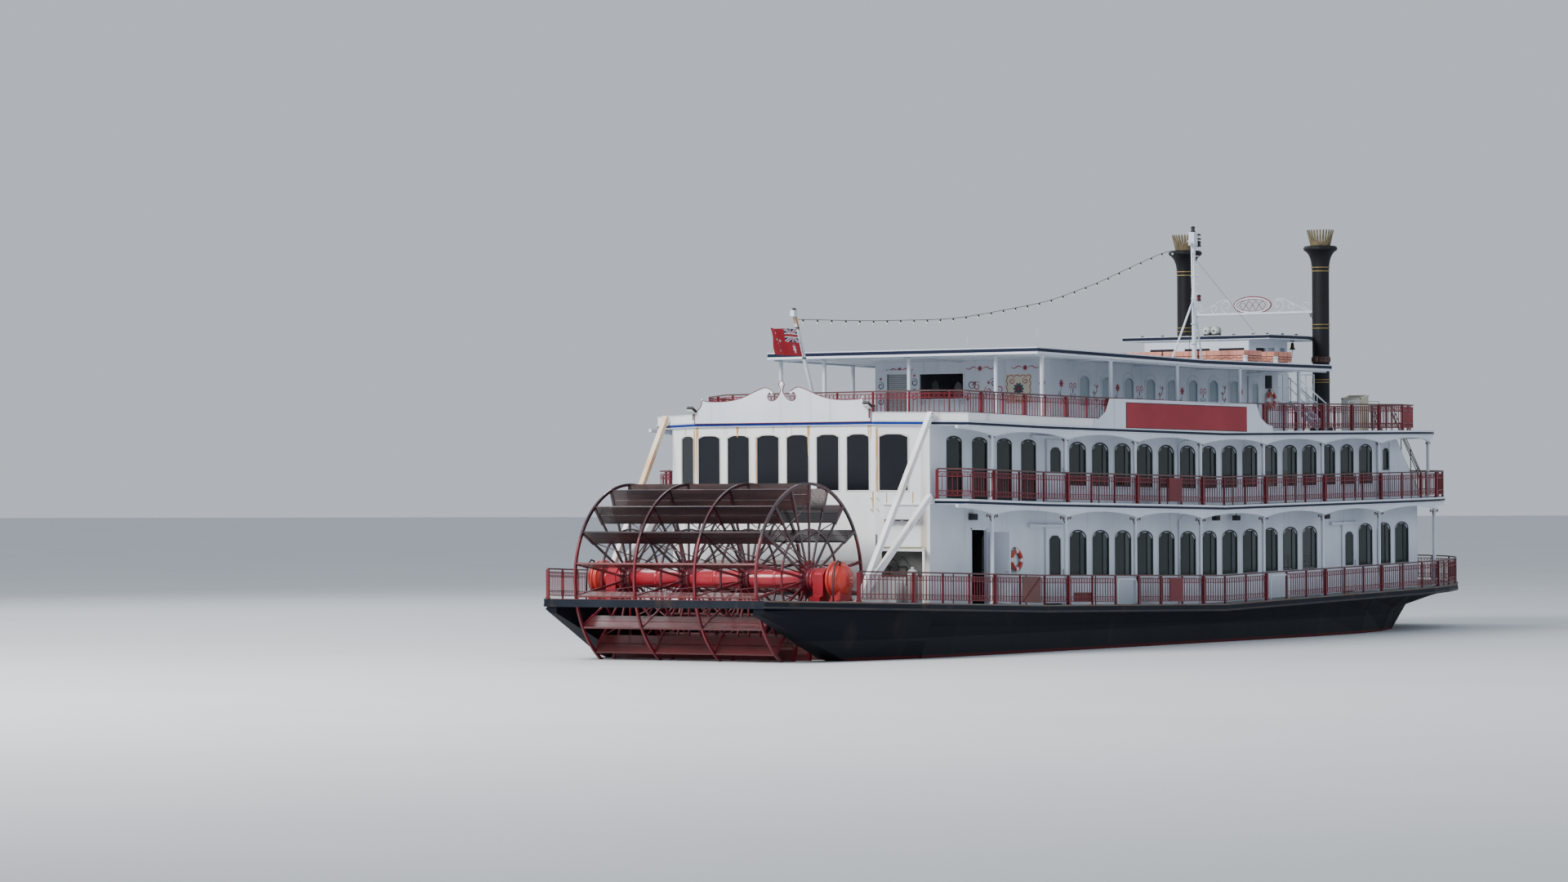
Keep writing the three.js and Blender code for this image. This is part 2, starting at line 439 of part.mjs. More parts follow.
// ---------------------------------------------------------------- house walls
// windows: centre x, width, sill height, head height, arch rise
const BAY_WINDOWS = Array.from({ length: 12 }, (_, i) => 14.0 + 1.518 * i);
const MAIN_WINDOWS = [...BAY_WINDOWS.map((x) => [x, 1.06, 2.33, 3.84, 0.26]), ...[35.14, 36.64, 38.13].map((x) => [x, 1.06, 2.33, 3.84, 0.26])];
const UPPER_WINDOWS = [...[6.12, 7.70, 9.25, 10.81].map((x) => [x, 0.88, 4.86, 6.84, 0.16]), ...BAY_WINDOWS.map((x) => [x, 1.04, 5.40, 6.82, 0.26]), ...[32.20, 33.68, 35.18].map((x) => [x, 0.98, 5.40, 6.82, 0.26]), [36.84, 0.42, 5.90, 6.66, 0.12]];
// doors: name, centre x of the leaf, width, floor z, head z, slides aft by
const SLIDING = [
  { name: 'main_sliding_door', x: 12.39, w: 1.17, floor: Z_MAIN, head: 3.90, travel: 1.1 },
  { name: 'upper_sliding_door', x: 12.45, w: 1.10, floor: Z_UPPER, head: 6.88, travel: 1.0 },
  { name: 'forward_sliding_door', x: 33.72, w: 1.04, floor: Z_MAIN, head: 3.82, travel: 0.95 },
];
const CREW_HINGE_Y = HOUSE_HW + 0.045;
const CREW_DOOR = { x0: 7.2, x1: 8.12, floor: Z_MAIN, head: 3.80, leaf: 0.86, t: 0.05 };
const sideY = (s) => [s * (HOUSE_HW - WALL_T), s * HOUSE_HW].sort((a, b) => a - b);
function sideWall(s, x0, x1, z0, z1, windows, doors, extra = [], wing = []) {
  const [ya, yb] = sideY(s);
  const outline = [[x0, z0], ...(wing.length ? wing : [[x1, z0], [x1, z1]]), [x0, z1]];
  const cuts = [
    ...windows.map(([c, w, a, b, r]) => prism('y', arch(c, w, a, b, r), ya - 0.05, yb + 0.05)),
    ...doors.map((d) => box(d.x - d.w / 2 + 0.06, d.x + d.w / 2 - 0.06, ya - 0.05, yb + 0.05, d.floor - 0.1, d.head - 0.08)),
    ...extra,
  ];
  let wall = cut(prism('y', outline, ya, yb), cuts);
  for (const d of doors) { // overhead track, with a sill strip that keeps the wall in one piece
    wall = wall.add(box(d.x - d.w / 2 - d.travel, d.x + d.w / 2 + 0.04, Math.min(s * (HOUSE_HW - 0.01), s * (HOUSE_HW + 0.11)), Math.max(s * (HOUSE_HW - 0.01), s * (HOUSE_HW + 0.11)), d.head + 0.05, d.head + 0.13));
  }
  return wall;
}
// the upper side walls run on past the front wall as sloping wing screens beside the bow stairs
const WING = [[UPPER_FRONT_X + 2.3, Z_UPPER + G], [UPPER_FRONT_X + 2.3, Z_UPPER + 0.25], [UPPER_FRONT_X + 0.47, Z_PROM - T_PROM - G]];
for (const [s, side] of [[-1, 'starboard'], [1, 'port']]) {
  const [ya, yb] = sideY(s);
  const crewHole = box(CREW_DOOR.x0, CREW_DOOR.x1, ya - 0.05, yb + 0.05, CREW_DOOR.floor - 0.1, CREW_DOOR.head);
  add('main_wall_' + side, sideWall(s, CORNER_X + G, MAIN_FRONT_X, Z_MAIN + G, Z_UPPER - T_UPPER - G, MAIN_WINDOWS, [SLIDING[0], SLIDING[2]], [crewHole]), 'white');
  add('upper_wall_' + side, sideWall(s, CORNER_X + G, UPPER_FRONT_X, Z_UPPER + G, Z_PROM - T_PROM - G, UPPER_WINDOWS, [SLIDING[1]], [], WING), 'white');
}
const FRONT_WINDOWS_Y = [-3.6, -2.1, 2.1, 3.6];
function frontWall(x, z0, z1, w0, w1, doorHead) {
  const hw = HOUSE_HW - WALL_T - G;
  return cut(prism('x', [[-hw, z0], [hw, z0], [hw, z1], [-hw, z1]], x - WALL_T, x), [
    ...FRONT_WINDOWS_Y.map((y) => prism('x', arch(y, 1.0, w0, w1, 0.26), x - 0.3, x + 0.2)),
    box(x - 0.3, x + 0.2, -0.75, 0.75, z0 - 0.1, doorHead),
  ]);
}
add('main_wall_front', frontWall(MAIN_FRONT_X, Z_MAIN + G, Z_UPPER - T_UPPER - G, 2.33, 3.84, 3.6), 'white');
add('upper_wall_front', frontWall(UPPER_FRONT_X, Z_UPPER + G, Z_PROM - T_PROM - G, 5.4, 6.82, 6.75), 'white');

// ---------------------------------------------------------------- top house, wheelhouse and canopy
const canopyZ = (x) => Z_CANOPY - CANOPY_FALL * (x - CANOPY_LEVEL_X);
const fall = (m) => m.transform([1, 0, -CANOPY_FALL, 0, 0, 1, 0, 0, 0, 0, 1, 0, 0, 0, CANOPY_FALL * CANOPY_LEVEL_X, 1]);
const aboveSoffit = fall(box(10, 34, -7, 7, Z_CANOPY - T_CANOPY - G, Z_CANOPY + 2));
const TOP_Z0 = Z_PROM + G, TOP_Z1 = Z_CANOPY + 0.1;
const TOP_WINDOWS = [17.1, 18.63, 20.16, 21.69, 23.22, 24.75, 26.28, 27.81].map((x) => [x, 0.72, 8.15, 9.22, 0.2]);
const TOP_DOOR = { x0: 28.87, x1: 29.76, floor: Z_PROM, head: 9.35, lap: 0.04, t: 0.05 };
for (const [s, side] of [[-1, 'starboard'], [1, 'port']]) {
  const ya = s > 0 ? TOP_HW - TOP_T : -TOP_HW, yb = ya + TOP_T;
  add('top_house_side_' + side, cut(prism('y', [[TOP_AFT_X + TOP_T + G, TOP_Z0], [TOP_FRONT_X, TOP_Z0], [TOP_FRONT_X, TOP_Z1], [TOP_AFT_X + TOP_T + G, TOP_Z1]], ya, yb), [
    ...TOP_WINDOWS.map(([c, w, a, b, r]) => prism('y', arch(c, w, a, b, r), ya - 0.05, yb + 0.05)),
    box(TOP_DOOR.x0, TOP_DOOR.x1, ya - 0.05, yb + 0.05, TOP_Z0 - 0.1, TOP_DOOR.head),
    aboveSoffit,
  ]), 'white');
}
add('top_house_aft_wall', cut(box(TOP_AFT_X, TOP_AFT_X + TOP_T, -TOP_HW, TOP_HW, TOP_Z0, TOP_Z1), [
  box(TOP_AFT_X - 0.1, TOP_AFT_X + 0.3, -0.1, 1.7, TOP_Z0 + 1.05, 9.3),
  box(TOP_AFT_X - 0.1, TOP_AFT_X + 0.3, 2.1, 3.0, TOP_Z0 - 0.1, 9.3),
  aboveSoffit,
]), 'white');
const CANOPY_X0 = 10.84, CANOPY_X1 = 31.85, CANOPY_HW = 5.36, POST_R = 0.065;
const canopyPlan = [[CANOPY_X0, -CANOPY_HW], [CANOPY_X1, -CANOPY_HW], [CANOPY_X1, -TOWER.hw - 0.02], [TOWER.x0 - 0.02, -TOWER.hw - 0.02], [TOWER.x0 - 0.02, TOWER.hw + 0.02], [CANOPY_X1, TOWER.hw + 0.02], [CANOPY_X1, CANOPY_HW], [CANOPY_X0, CANOPY_HW]];
const CANOPY_POSTS = [[11.4, 0], [11.4, 3.42], [11.4, -3.42], ...[11.4, 15.95, 20.55, 25.1, 29.6].flatMap((x) => [[x, 5.2], [x, -5.2]])];
add('canopy', join([
  fall(prism('z', canopyPlan, Z_CANOPY - T_CANOPY, Z_CANOPY)),
  ...CANOPY_POSTS.map(([x, y]) => prism('z', circle(x, y, POST_R, 4, Math.PI / 4), Z_PROM + G, canopyZ(x) - 0.1)),
]), 'white');
const WH_Z1 = Z_WH_ROOF - T_WH_ROOF - G;
const ringWall = (x0, x1, hw, t, z0, z1) => prism('z', [[x0, -hw], [x1, -hw], [x1, hw], [x0, hw]], z0, z1, [[[x0 + t, -hw + t], [x1 - t, -hw + t], [x1 - t, hw - t], [x0 + t, hw - t]]]);
// centre, width of the wheelhouse windows: across its aft wall, along each side, across its front
const WH_AFT = [[1.41, 1.16], [-0.04, 1.14], [-1.48, 1.14]], WH_SIDE = [[33.12, 0.58], [34.0, 0.46]], WH_FRONT = [[-1.45, 0.76], [-0.5, 0.76], [0.5, 0.76], [1.45, 0.76]];
const whWindows = [
  ...WH_AFT.map(([y, w]) => box(31.1, 31.6, y - w / 2, y + w / 2, 10.0, 10.53)),
  ...WH_SIDE.map(([x, w]) => box(x - w / 2, x + w / 2, -3, 3, 9.95, 10.55)),
  ...WH_FRONT.map(([y, w]) => box(34.0, 34.8, y - w / 2, y + w / 2, 9.75, 10.55)),
  box(31.95, 32.7, -3, -2.0, 8.55, 10.5),                 // doorway on the starboard landing
  box(31.95, 32.7, 2.0, 3, 8.55, 10.5),
];
add('wheelhouse', cut(ringWall(TOWER.x0, TOWER.x1, TOWER.hw, 0.08, TOP_Z0, WH_Z1), whWindows), 'white');
add('wheelhouse_roof', prism('z', plan(WH_ROOF_PLAN), Z_WH_ROOF - T_WH_ROOF, Z_WH_ROOF), 'white');

// ---------------------------------------------------------------- stairs
// stringers with treads; runs from the foot (low) to the head (high)
function flight(foot, head, width, across, steps) {
  const out = [];
  const side = across === 'x' ? [1, 0] : [0, 1];
  for (const e of [-1, 1]) {
    const o = [side[0] * e * width / 2, side[1] * e * width / 2];
    out.push(bar([foot[0] + o[0], foot[1] + o[1], foot[2] + 0.08], [head[0] + o[0], head[1] + o[1], head[2] - 0.05], 0.05, 0.18));
    out.push(bar([foot[0] + o[0], foot[1] + o[1], foot[2] + 0.98], [head[0] + o[0], head[1] + o[1], head[2] + 0.87], 0.04, 0.04));
    for (const t of [0.06, 0.94]) {
      const p = [0, 1, 2].map((k) => foot[k] + (head[k] - foot[k]) * t);
      out.push(box(p[0] + o[0] - 0.02, p[0] + o[0] + 0.02, p[1] + o[1] - 0.02, p[1] + o[1] + 0.02, p[2] + 0.02, p[2] + 0.93));
    }
  }
  for (let i = 1; i <= steps; i++) {
    const t = i / (steps + 1), p = [0, 1, 2].map((k) => foot[k] + (head[k] - foot[k]) * t);
    const [hx, hy] = across === 'x' ? [width / 2, 0.12] : [0.12, width / 2];
    out.push(box(p[0] - hx, p[0] + hx, p[1] - hy, p[1] + hy, p[2] - 0.02, p[2] + 0.02));
  }
  return out;
}
const LANDING = { x0: 32.1, x1: 32.95, z: 8.50 };
{
  const parts = [box(34.4 + 0.02, 35.05, -2.3, 2.3, LANDING.z - 0.06, LANDING.z)];
  for (const s of [-1, 1]) {
    parts.push(box(LANDING.x0, 35.05, Math.min(s * 2.22, s * 3.05), Math.max(s * 2.22, s * 3.05), LANDING.z - 0.06, LANDING.z));
    parts.push(box(LANDING.x0 + 0.02, LANDING.x0 + 0.08, Math.min(s * 2.9, s * 2.96), Math.max(s * 2.9, s * 2.96), TOP_Z0, LANDING.z - 0.03));
    parts.push(...flight([33.3, s * 4.25, TOP_Z0 + 0.01], [33.3, s * 3.02, LANDING.z], 0.7, 'x', 4));
  }
  // keep clear of the stacks
  const stackClear = [-1, 1].map((s) => rod([STACK.x, s * STACK.y, 7], [STACK.x, s * STACK.y, 10], STACK.r + 0.08, 12));
  add('wheelhouse_stairs', cut(join(parts), stackClear), 'white');
}
for (const [s, side] of [[-1, 'starboard'], [1, 'port']]) {
  const yc = s * (BOW_STAIR.y0 + BOW_STAIR.y1) / 2;
  add('bow_stairs_' + side, join(flight([BOW_STAIR.x1 + 0.1, yc, Z_UPPER + G + 0.02], [BOW_STAIR.x0 + 0.1, yc, Z_PROM - 0.02], BOW_STAIR.y1 - BOW_STAIR.y0 - 0.1, 'y', 6)), 'steel');
}

// ---------------------------------------------------------------- paddle wheel
const polar = (r, deg) => [r * Math.sin((deg * Math.PI) / 180), WHEEL_Z + r * Math.cos((deg * Math.PI) / 180)];
const ringPts = (r, n) => Array.from({ length: n }, (_, i) => polar(r, (360 * i) / n));
function wheelFrame(y) {
  const step = 360 / PADDLES, half = 0.05, holes = [];
  const at = (r, a, side) => polar(r, a + side * (Math.asin(half / r) * 180) / Math.PI);
  for (let i = 0; i < PADDLES; i++) {
    const a = i * step, b = a + step;
    holes.push([at(WHEEL_HUB_R, a, 1), at(2.94, a, 1), at(2.94, b, -1), at(WHEEL_HUB_R, b, -1)]);
  }
  holes.push(ringPts(SHAFT_R + G, 12));
  return prism('y', ringPts(WHEEL_R, PADDLES), y - FRAME_T / 2, y + FRAME_T / 2, holes);
}
const paddles = [];
for (let i = 0; i < PADDLES; i++) {
  const g = new THREE.BoxGeometry(PADDLE_T, 2 * FRAME_Y[3] + 0.1, PADDLE_DEPTH);
  g.translate(0, 0, WHEEL_R - 0.03 - PADDLE_DEPTH / 2);
  g.rotateY((i * 2 * Math.PI) / PADDLES);
  g.translate(0, 0, WHEEL_Z);
  paddles.push(solid(g));
}
add('paddle_wheel', join([...FRAME_Y.map(wheelFrame), ...paddles]), 'maroon', false);

const BEARING = { y0: 3.80, y1: 4.18, x: 0.42, boreR: 0.2 + RUN };
{
  const half = [[0.0, -4.32], [0.27, -4.32], [0.27, -4.24], [JOURNAL_R, -4.24], [JOURNAL_R, -3.76], [SHAFT_R, -3.70]];
  const profile = [...half, ...half.slice().reverse().map(([r, y]) => [r, -y])];
  const g = new THREE.LatheGeometry(profile.map((p) => new THREE.Vector2(p[0], p[1])), 12);
  g.translate(0, 0, WHEEL_Z);
  add('wheel_shaft', solid(g), 'red', false);
}
const deckZ = (x, z = Z_MAIN) => z + lift(x, z);
for (const [s, side] of [[-1, 'starboard'], [1, 'port']]) {
  const y0 = s > 0 ? BEARING.y0 : -BEARING.y1, y1 = s > 0 ? BEARING.y1 : -BEARING.y0;
  const zb = deckZ(-BEARING.x) + G;
  const outline = [[-BEARING.x - 0.12, zb], [BEARING.x + 0.12, deckZ(-BEARING.x - 0.12) + G], [BEARING.x + 0.12, zb + 0.14], [0.34, zb + 0.2], [0.34, WHEEL_Z + 0.14], [0.16, WHEEL_Z + 0.36], [-0.16, WHEEL_Z + 0.36], [-0.34, WHEEL_Z + 0.14], [-0.34, zb + 0.2], [-BEARING.x - 0.12, zb + 0.14]];
  outline[0][1] = outline[1][1];
  add('bearing_' + side, prism('y', outline, y0, y1, [circle(0, WHEEL_Z, BEARING.boreR, 16)]), 'red', false);
  const m0 = s > 0 ? 4.36 : -4.92, m1 = m0 + 0.56;
  add('drive_motor_' + side, join([
    prism('y', circle(0, WHEEL_Z, 0.5, 16), m0, m1),
    prism('y', [[-0.4, zb + 0.01], [0.4, zb + 0.01], [0.3, WHEEL_Z - 0.2], [-0.3, WHEEL_Z - 0.2]], m0 + 0.1, m1 - 0.1),
  ]), 'orange', false);
}

// ---------------------------------------------------------------- struts from the quarter decks to the stern corners
for (const [s, side] of [[-1, 'starboard'], [1, 'port']]) {
  const foot = box(0.28, 0.86, Math.min(s * 4.88, s * 5.08), Math.max(s * 4.88, s * 5.08), Z_MAIN + G, Z_MAIN + 0.08);
  add('stern_struts_' + side, cut(join([foot,
    bar([0.50, s * 4.98, Z_MAIN + 0.02], [4.50, s * 5.17, 7.58], 0.17, 0.17),     // up past the promenade deck's edge
    bar([0.44, s * 4.98, Z_MAIN + 0.02], [4.50, s * 5.12, 4.86], 0.17, 0.17),
  ]), [box(0, 5, -6, 6, 0.5, Z_MAIN + G)]), 'white');
}

// ---------------------------------------------------------------- engine, on the main deck inside the stern block
add('engine_block', box(5.4, 8.2, -0.85, 0.85, Z_MAIN + G, Z_MAIN + 1.7), 'steel');

// ---------------------------------------------------------------- rudders under the raked stern
for (const [s, side] of [[-1, 'starboard'], [1, 'port']]) {
  const R = RUDDER, y = s * R.y;
  const blade = prism('y', [[R.x - R.aft, R.bottom + 0.25], [R.x - R.aft * 0.8, R.bottom], [R.x + R.fore, R.bottom], [R.x + R.fore, rakeZ(R.x + R.fore) - 0.15], [R.x - R.aft, rakeZ(R.x - R.aft) - 0.15]], y - R.t / 2, y + R.t / 2);
  add('rudder_' + side, join([blade, rod([R.x, y, R.bottom + 0.02], [R.x, y, 0.15], R.stockR, 10)]), 'black', false);
}

// ---------------------------------------------------------------- doors
for (const [s, side] of [[-1, 'starboard'], [1, 'port']]) {
  for (const d of SLIDING) {
    const k = slope(d.x - d.travel / 2, d.floor + 1.2, 1.2);
    const z0 = d.floor + 0.06, z1 = d.head + 0.02;
    const y0 = s > 0 ? HOUSE_HW + RUN : -HOUSE_HW - RUN - 0.05, y1 = y0 + 0.05;
    let leaf = prism('y', [[d.x - d.w / 2, z0], [d.x + d.w / 2, z0], [d.x + d.w / 2, z1], [d.x - d.w / 2, z1]], y0, y1, [arch(d.x, d.w * 0.68, d.floor + 0.98, d.head - 0.22, 0.18)]);
    // the leaf follows the deck's slope where it hangs
    const dz = lift(d.x, d.floor + 1.2) - 0.0;
    leaf = leaf.transform([1, 0, k, 0, 0, 1, 0, 0, 0, 0, 1, 0, 0, 0, dz - k * d.x, 1]);
    add(d.name + '_' + side, leaf, 'white', false);
  }
  // hinged crew door: stands open at right angles on the starboard side, shut on the port side
  const C = CREW_DOOR, z0 = deckZ(C.x1) + 0.05, z1 = C.head + lift(C.x1, C.head) - 0.05;
  const hx = C.x1 - 0.02;
  const open = s < 0;
  const leaf = open
    ? box(hx - C.t / 2, hx + C.t / 2, -CREW_HINGE_Y - 0.01 - C.leaf, -CREW_HINGE_Y - 0.01, z0, z1)
    : box(hx - C.leaf - 0.01, hx - 0.01, CREW_HINGE_Y - C.t / 2, CREW_HINGE_Y + C.t / 2, z0, z1);
  add('crew_door_' + side, leaf, 'white', false);
  // hinged leaf over the top house doorway, shut
  const T = TOP_DOOR, yd = s * (TOP_HW + 0.045), rise = lift(T.x1, T.head);
  add('top_house_door_' + side, prism('y', [[T.x0 - T.lap, T.floor + rise + 0.04], [T.x1 + 0.02, T.floor + rise + 0.04], [T.x1 + 0.02, T.head + rise + 0.02], [T.x0 - T.lap, T.head + rise + 0.02]], yd - T.t / 2, yd + T.t / 2,
    [arch((T.x0 + T.x1) / 2 - 0.01, 0.52, T.floor + 0.8, T.head - 0.15, 0.16)]), 'white', false);
}

// ---------------------------------------------------------------- stacks, crowns and the bar between them
for (const [s, side] of [[-1, 'starboard'], [1, 'port']]) {
  const { x, r } = STACK, y = s * STACK.y;
  add('stack_' + side, turned([[0, Z_PROM + G], [r + 0.12, Z_PROM + G], [r + 0.12, Z_PROM + 0.12], [r, Z_PROM + 0.16], [r, 13.62], [0.40, 13.95], [0.52, 14.2], [0.63, 14.27], [0.63, 14.38], [0.58, 14.42], [0.30, 14.42], [0.26, 13.6], [0, 13.6]], x, y, 12), 'black');
  const prongs = [];
  for (let i = 0; i < 12; i++) {
    const a = (i * 2 * Math.PI) / 12;
    prongs.push(bar([x + 0.345 * Math.cos(a), y + 0.345 * Math.sin(a), 14.44], [x + 0.50 * Math.cos(a), y + 0.50 * Math.sin(a), 15.02], 0.05, 0.02));
  }
  add('crown_' + side, join([turned([[0.32, 14.42 + G], [0.37, 14.42 + G], [0.38, 14.5], [0.33, 14.5], [0.32, 14.42 + G]], x, y, 12), ...prongs]), 'gold');
}
{
  const z = 11.88, e = STACK.y - STACK.r - G - 0.006, x = STACK.x;
  const oval = (a, b, n = 14) => circle(0, 0, 1, n).map(([u, v]) => [u * a, z + 0.36 + v * b]);
  add('stack_bar', join([
    box(x - 0.04, x + 0.04, -e, e, z, z + 0.08),
    prism('x', oval(0.78, 0.31), x - 0.02, x + 0.02, [oval(0.72, 0.25)]),
    prism('x', [[-e, z + 0.02], [-e, z - 0.3], [-e + 0.3, z + 0.02]], x - 0.02, x + 0.02),
    prism('x', [[e, z + 0.02], [e - 0.3, z + 0.02], [e, z - 0.3]], x - 0.02, x + 0.02),
  ]), 'white');
}

// ---------------------------------------------------------------- mast, floats, flagpole, flag and boards
{
  const x = 24.4, y = -3.78, z0 = canopyZ(24.4) + 0.004;
  add('mast', join([
    rod([x, y, z0], [x - 0.07, y, 14.2], 0.085, 8),
    rod([x - 0.05, y, 12.1], [x - 1.65, y, canopyZ(x - 1.65) + 0.05], 0.035, 6),
    rod([x - 0.05, y, 12.1], [x + 0.55, y, canopyZ(x + 0.55) + 0.05], 0.035, 6),
    box(x - 0.35, x + 0.3, y - 0.03, y + 0.03, 13.98, 14.04),
    box(x - 0.2, x + 0.06, y - 0.11, y + 0.11, 14.02, 14.46),
  ]), 'white');
}
for (const [s, side] of [[-1, 'starboard'], [1, 'port']]) {
  // x0, x1, |y0|, |y1| of each stack of floats
  const FLOATS = [[25.92, 27.23, 3.13, 4.95], [25.92, 27.23, 1.66, 3.05], [25.92, 27.23, 0.12, 1.58], [28.18, 29.54, 3.13, 4.95]], FLOAT_H = 0.37;
  const span = (a, b) => [Math.min(s * a, s * b), Math.max(s * a, s * b)];
  add('float_rack_' + side, fall(join([
    ...[26.1, 26.97].map((x) => box(x, x + 0.08, ...span(0.12, 4.95), Z_CANOPY + G, Z_CANOPY + 0.1)),
    ...[3.3, 4.7].map((y) => box(25.95, 29.5, ...span(y, y + 0.08), Z_CANOPY + G, Z_CANOPY + 0.1)),
    ...FLOATS.map(([a, b, c, d]) => box(a, b, ...span(c, d), Z_CANOPY + 0.06, Z_CANOPY + 0.06 + FLOAT_H)),
  ])), 'salmon');
}
const POLE = { foot: [5.85, 0, Z_PROM], top: [4.42, 0, 10.9] };
add('flagpole', join([
  bar([POLE.foot[0], 0, Z_PROM + 0.03], [POLE.top[0], 0, POLE.top[2]], 0.09, 0.09),
  box(POLE.foot[0] - 0.15, POLE.foot[0] + 0.15, -0.15, 0.15, Z_PROM + G, Z_PROM + 0.06),
  box(POLE.top[0] - 0.14, POLE.top[0] + 0.06, -0.08, 0.08, POLE.top[2] - 0.02, POLE.top[2] + 0.18),
]), 'white');
{
  const at = (z) => POLE.foot[0] + ((POLE.top[0] - POLE.foot[0]) * (z - Z_PROM)) / (POLE.top[2] - Z_PROM);
  const z0 = 9.55, z1 = 10.45;
  add('flag', prism('y', [[at(z0) - 0.07, z0], [at(z1) - 0.07, z1], [at(z1) - 1.75, z1 + 0.02], [at(z0) - 1.70, z0 + 0.05]], -0.09, 0.09), 'flag');
}
{
  // scrolled board on the stern: y, height above the deck
  const B = [[3.43, 0.04], [3.43, 0.42], [3.34, 0.47], [3.23, 0.57], [3.16, 0.69], [3.13, 0.79], [3.12, 0.875], [3.03, 0.81], [2.85, 0.785], [2.45, 0.775], [2.12, 0.79], [1.88, 0.825], [1.60, 0.885], [1.35, 0.97], [1.10, 1.075], [0.84, 1.175], [0.66, 1.22], [0.52, 1.195], [0.40, 1.125], [0.32, 1.05],
    [0.35, 1.015], [0.41, 1.055], [0.49, 1.04], [0.55, 0.91], [0.50, 0.81], [0.38, 0.775], [0.23, 0.83], [0.125, 0.945], [0.055, 1.07], [0.045, 1.17], [0.095, 1.28], [0.085, 1.38], [0.0, 1.44]];
  const z = Z_PROM - 0.1;
  const pts = [...B.map(([y, h]) => [y, z + h]), ...B.slice(0, -1).reverse().map(([y, h]) => [-y, z + h])];
  add('stern_board', prism('x', pts.slice().reverse(), 3.70 - G - 0.05, 3.70 - G), 'white');
}
for (const [s, side] of [[-1, 'starboard'], [1, 'port']]) {
  const yi = 6.07 + G, yo = yi + 0.025;
  const z = Z_PROM;
  const pts = [[13.3, z - 0.06], [25.9, z - 0.06], [25.9, z + 0.16], [25.45, z + 0.24], [24.95, z + 0.5], [24.7, z + 0.94], [14.35, z + 0.94], [14.1, z + 0.5], [13.6, z + 0.24], [13.3, z + 0.24]];
  add('side_board_' + side, prism('y', pts, s > 0 ? yi : -yo, s > 0 ? yo : -yi), 'white');
}

export default root;
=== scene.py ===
# Looks of the stern-wheel steamer. Tables are in full-size metres, as in the part's source:
# X forward from the wheel axis, Y to port, Z up from the waterline, before the sheer is added.
import math, random
import bpy, bmesh
from mathutils import Matrix, Vector


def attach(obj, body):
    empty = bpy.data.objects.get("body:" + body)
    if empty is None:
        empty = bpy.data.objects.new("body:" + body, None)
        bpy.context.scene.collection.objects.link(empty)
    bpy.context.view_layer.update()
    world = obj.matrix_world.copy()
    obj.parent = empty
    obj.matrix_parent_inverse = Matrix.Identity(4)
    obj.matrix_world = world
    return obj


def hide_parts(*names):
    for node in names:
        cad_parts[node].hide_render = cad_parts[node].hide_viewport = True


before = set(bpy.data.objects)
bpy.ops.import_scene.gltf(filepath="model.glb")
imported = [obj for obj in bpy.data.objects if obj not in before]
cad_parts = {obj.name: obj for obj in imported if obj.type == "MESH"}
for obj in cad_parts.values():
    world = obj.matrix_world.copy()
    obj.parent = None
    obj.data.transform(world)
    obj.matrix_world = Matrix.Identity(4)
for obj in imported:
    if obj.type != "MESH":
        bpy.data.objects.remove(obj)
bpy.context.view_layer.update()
RND = random.Random(7)

X_MID, K = 21.6, 0.5
STATION = [-3.75, 10.03, 22.35, 37.0, 47.1]
def curve(x):
    return 256 + 21 * (7 - x) if x < 7 else 225 + 10 * (x - 38) if x > 38 else (x - 23) ** 2
STATION_Q = [curve(x) for x in STATION]
def sheer_q(x):
    if x <= STATION[0]:
        return STATION_Q[0] + (STATION_Q[1] - STATION_Q[0]) / (STATION[1] - STATION[0]) * (x - STATION[0])
    for i in range(1, len(STATION)):
        if x <= STATION[i]:
            return STATION_Q[i - 1] + (STATION_Q[i] - STATION_Q[i - 1]) * (x - STATION[i - 1]) / (STATION[i] - STATION[i - 1])
    return STATION_Q[-1]
def sheer_c(z):
    return 0.00142 - 0.000085 * z
def lift(x, z):
    return sheer_q(x) * (sheer_c(z) if z >= 1 else 0 if z <= 0 else sheer_c(1) * z)
def slope(x, z, d):
    return (lift(x + d, z) - lift(x - d, z)) / (2 * d)

Z_MAIN, Z_UPPER, Z_PROM, Z_CANOPY, Z_ROOF = 1.335, 4.77, 7.36, 9.84, 10.97
HOUSE_HW, WALL_T = 5.02, 0.1
COLUMN_X = [6.99, 11.67, 16.32, 20.89, 25.5, 30.01, 34.49]
COLUMN_Y = 5.92
BOW_COLUMN_X = 39.7
WHEEL_Z, WHEEL_R = 2.55, 3.06
FRAME_Y = [-3.45, -1.15, 1.15, 3.45]
STACK_X, STACK_Y = 35.78, 2.89
MAIN_PLAN = [(-3.65, 4.2), (-2, 4.72), (0, 5.35), (1.9, 5.98), (3, 6.1), (36, 6.1), (39, 5.98), (41, 5.6), (43, 4.98), (44.6, 4.2), (45.8, 3.2), (46.6, 2.05), (47.0, 0.9), (47.06, 0)]
UPPER_PLAN = [(4.652, 5.2), (5.3, 6.07), (36, 6.07), (38, 5.98), (40, 5.72), (41.5, 5.18), (43, 4.42), (44.4, 3.4), (45.3, 2.2), (45.8, 1.1), (46, 0)]
PROM_PLAN = [(3.70, 3.52), (4.6, 5.1), (5.3, 6.07), (36, 6.07), (38, 5.92), (39.7, 5.52), (41, 4.98), (42.5, 4.2), (43.7, 3.2), (44.4, 2.2), (44.8, 1.1), (45, 0)]
WH_ROOF_PLAN = [(31.3, 3.09), (33.3, 3.09), (34.3, 3.02), (34.95, 2.86), (35.35, 2.66), (35.8, 2.5), (36.15, 2.35), (36.45, 2.0), (36.65, 1.3), (36.75, 0)]
def canopy_fall(x):
    return -0.0086 * (x - 26)
CANOPY = dict(x0=10.84, x1=31.85, hw=5.36)


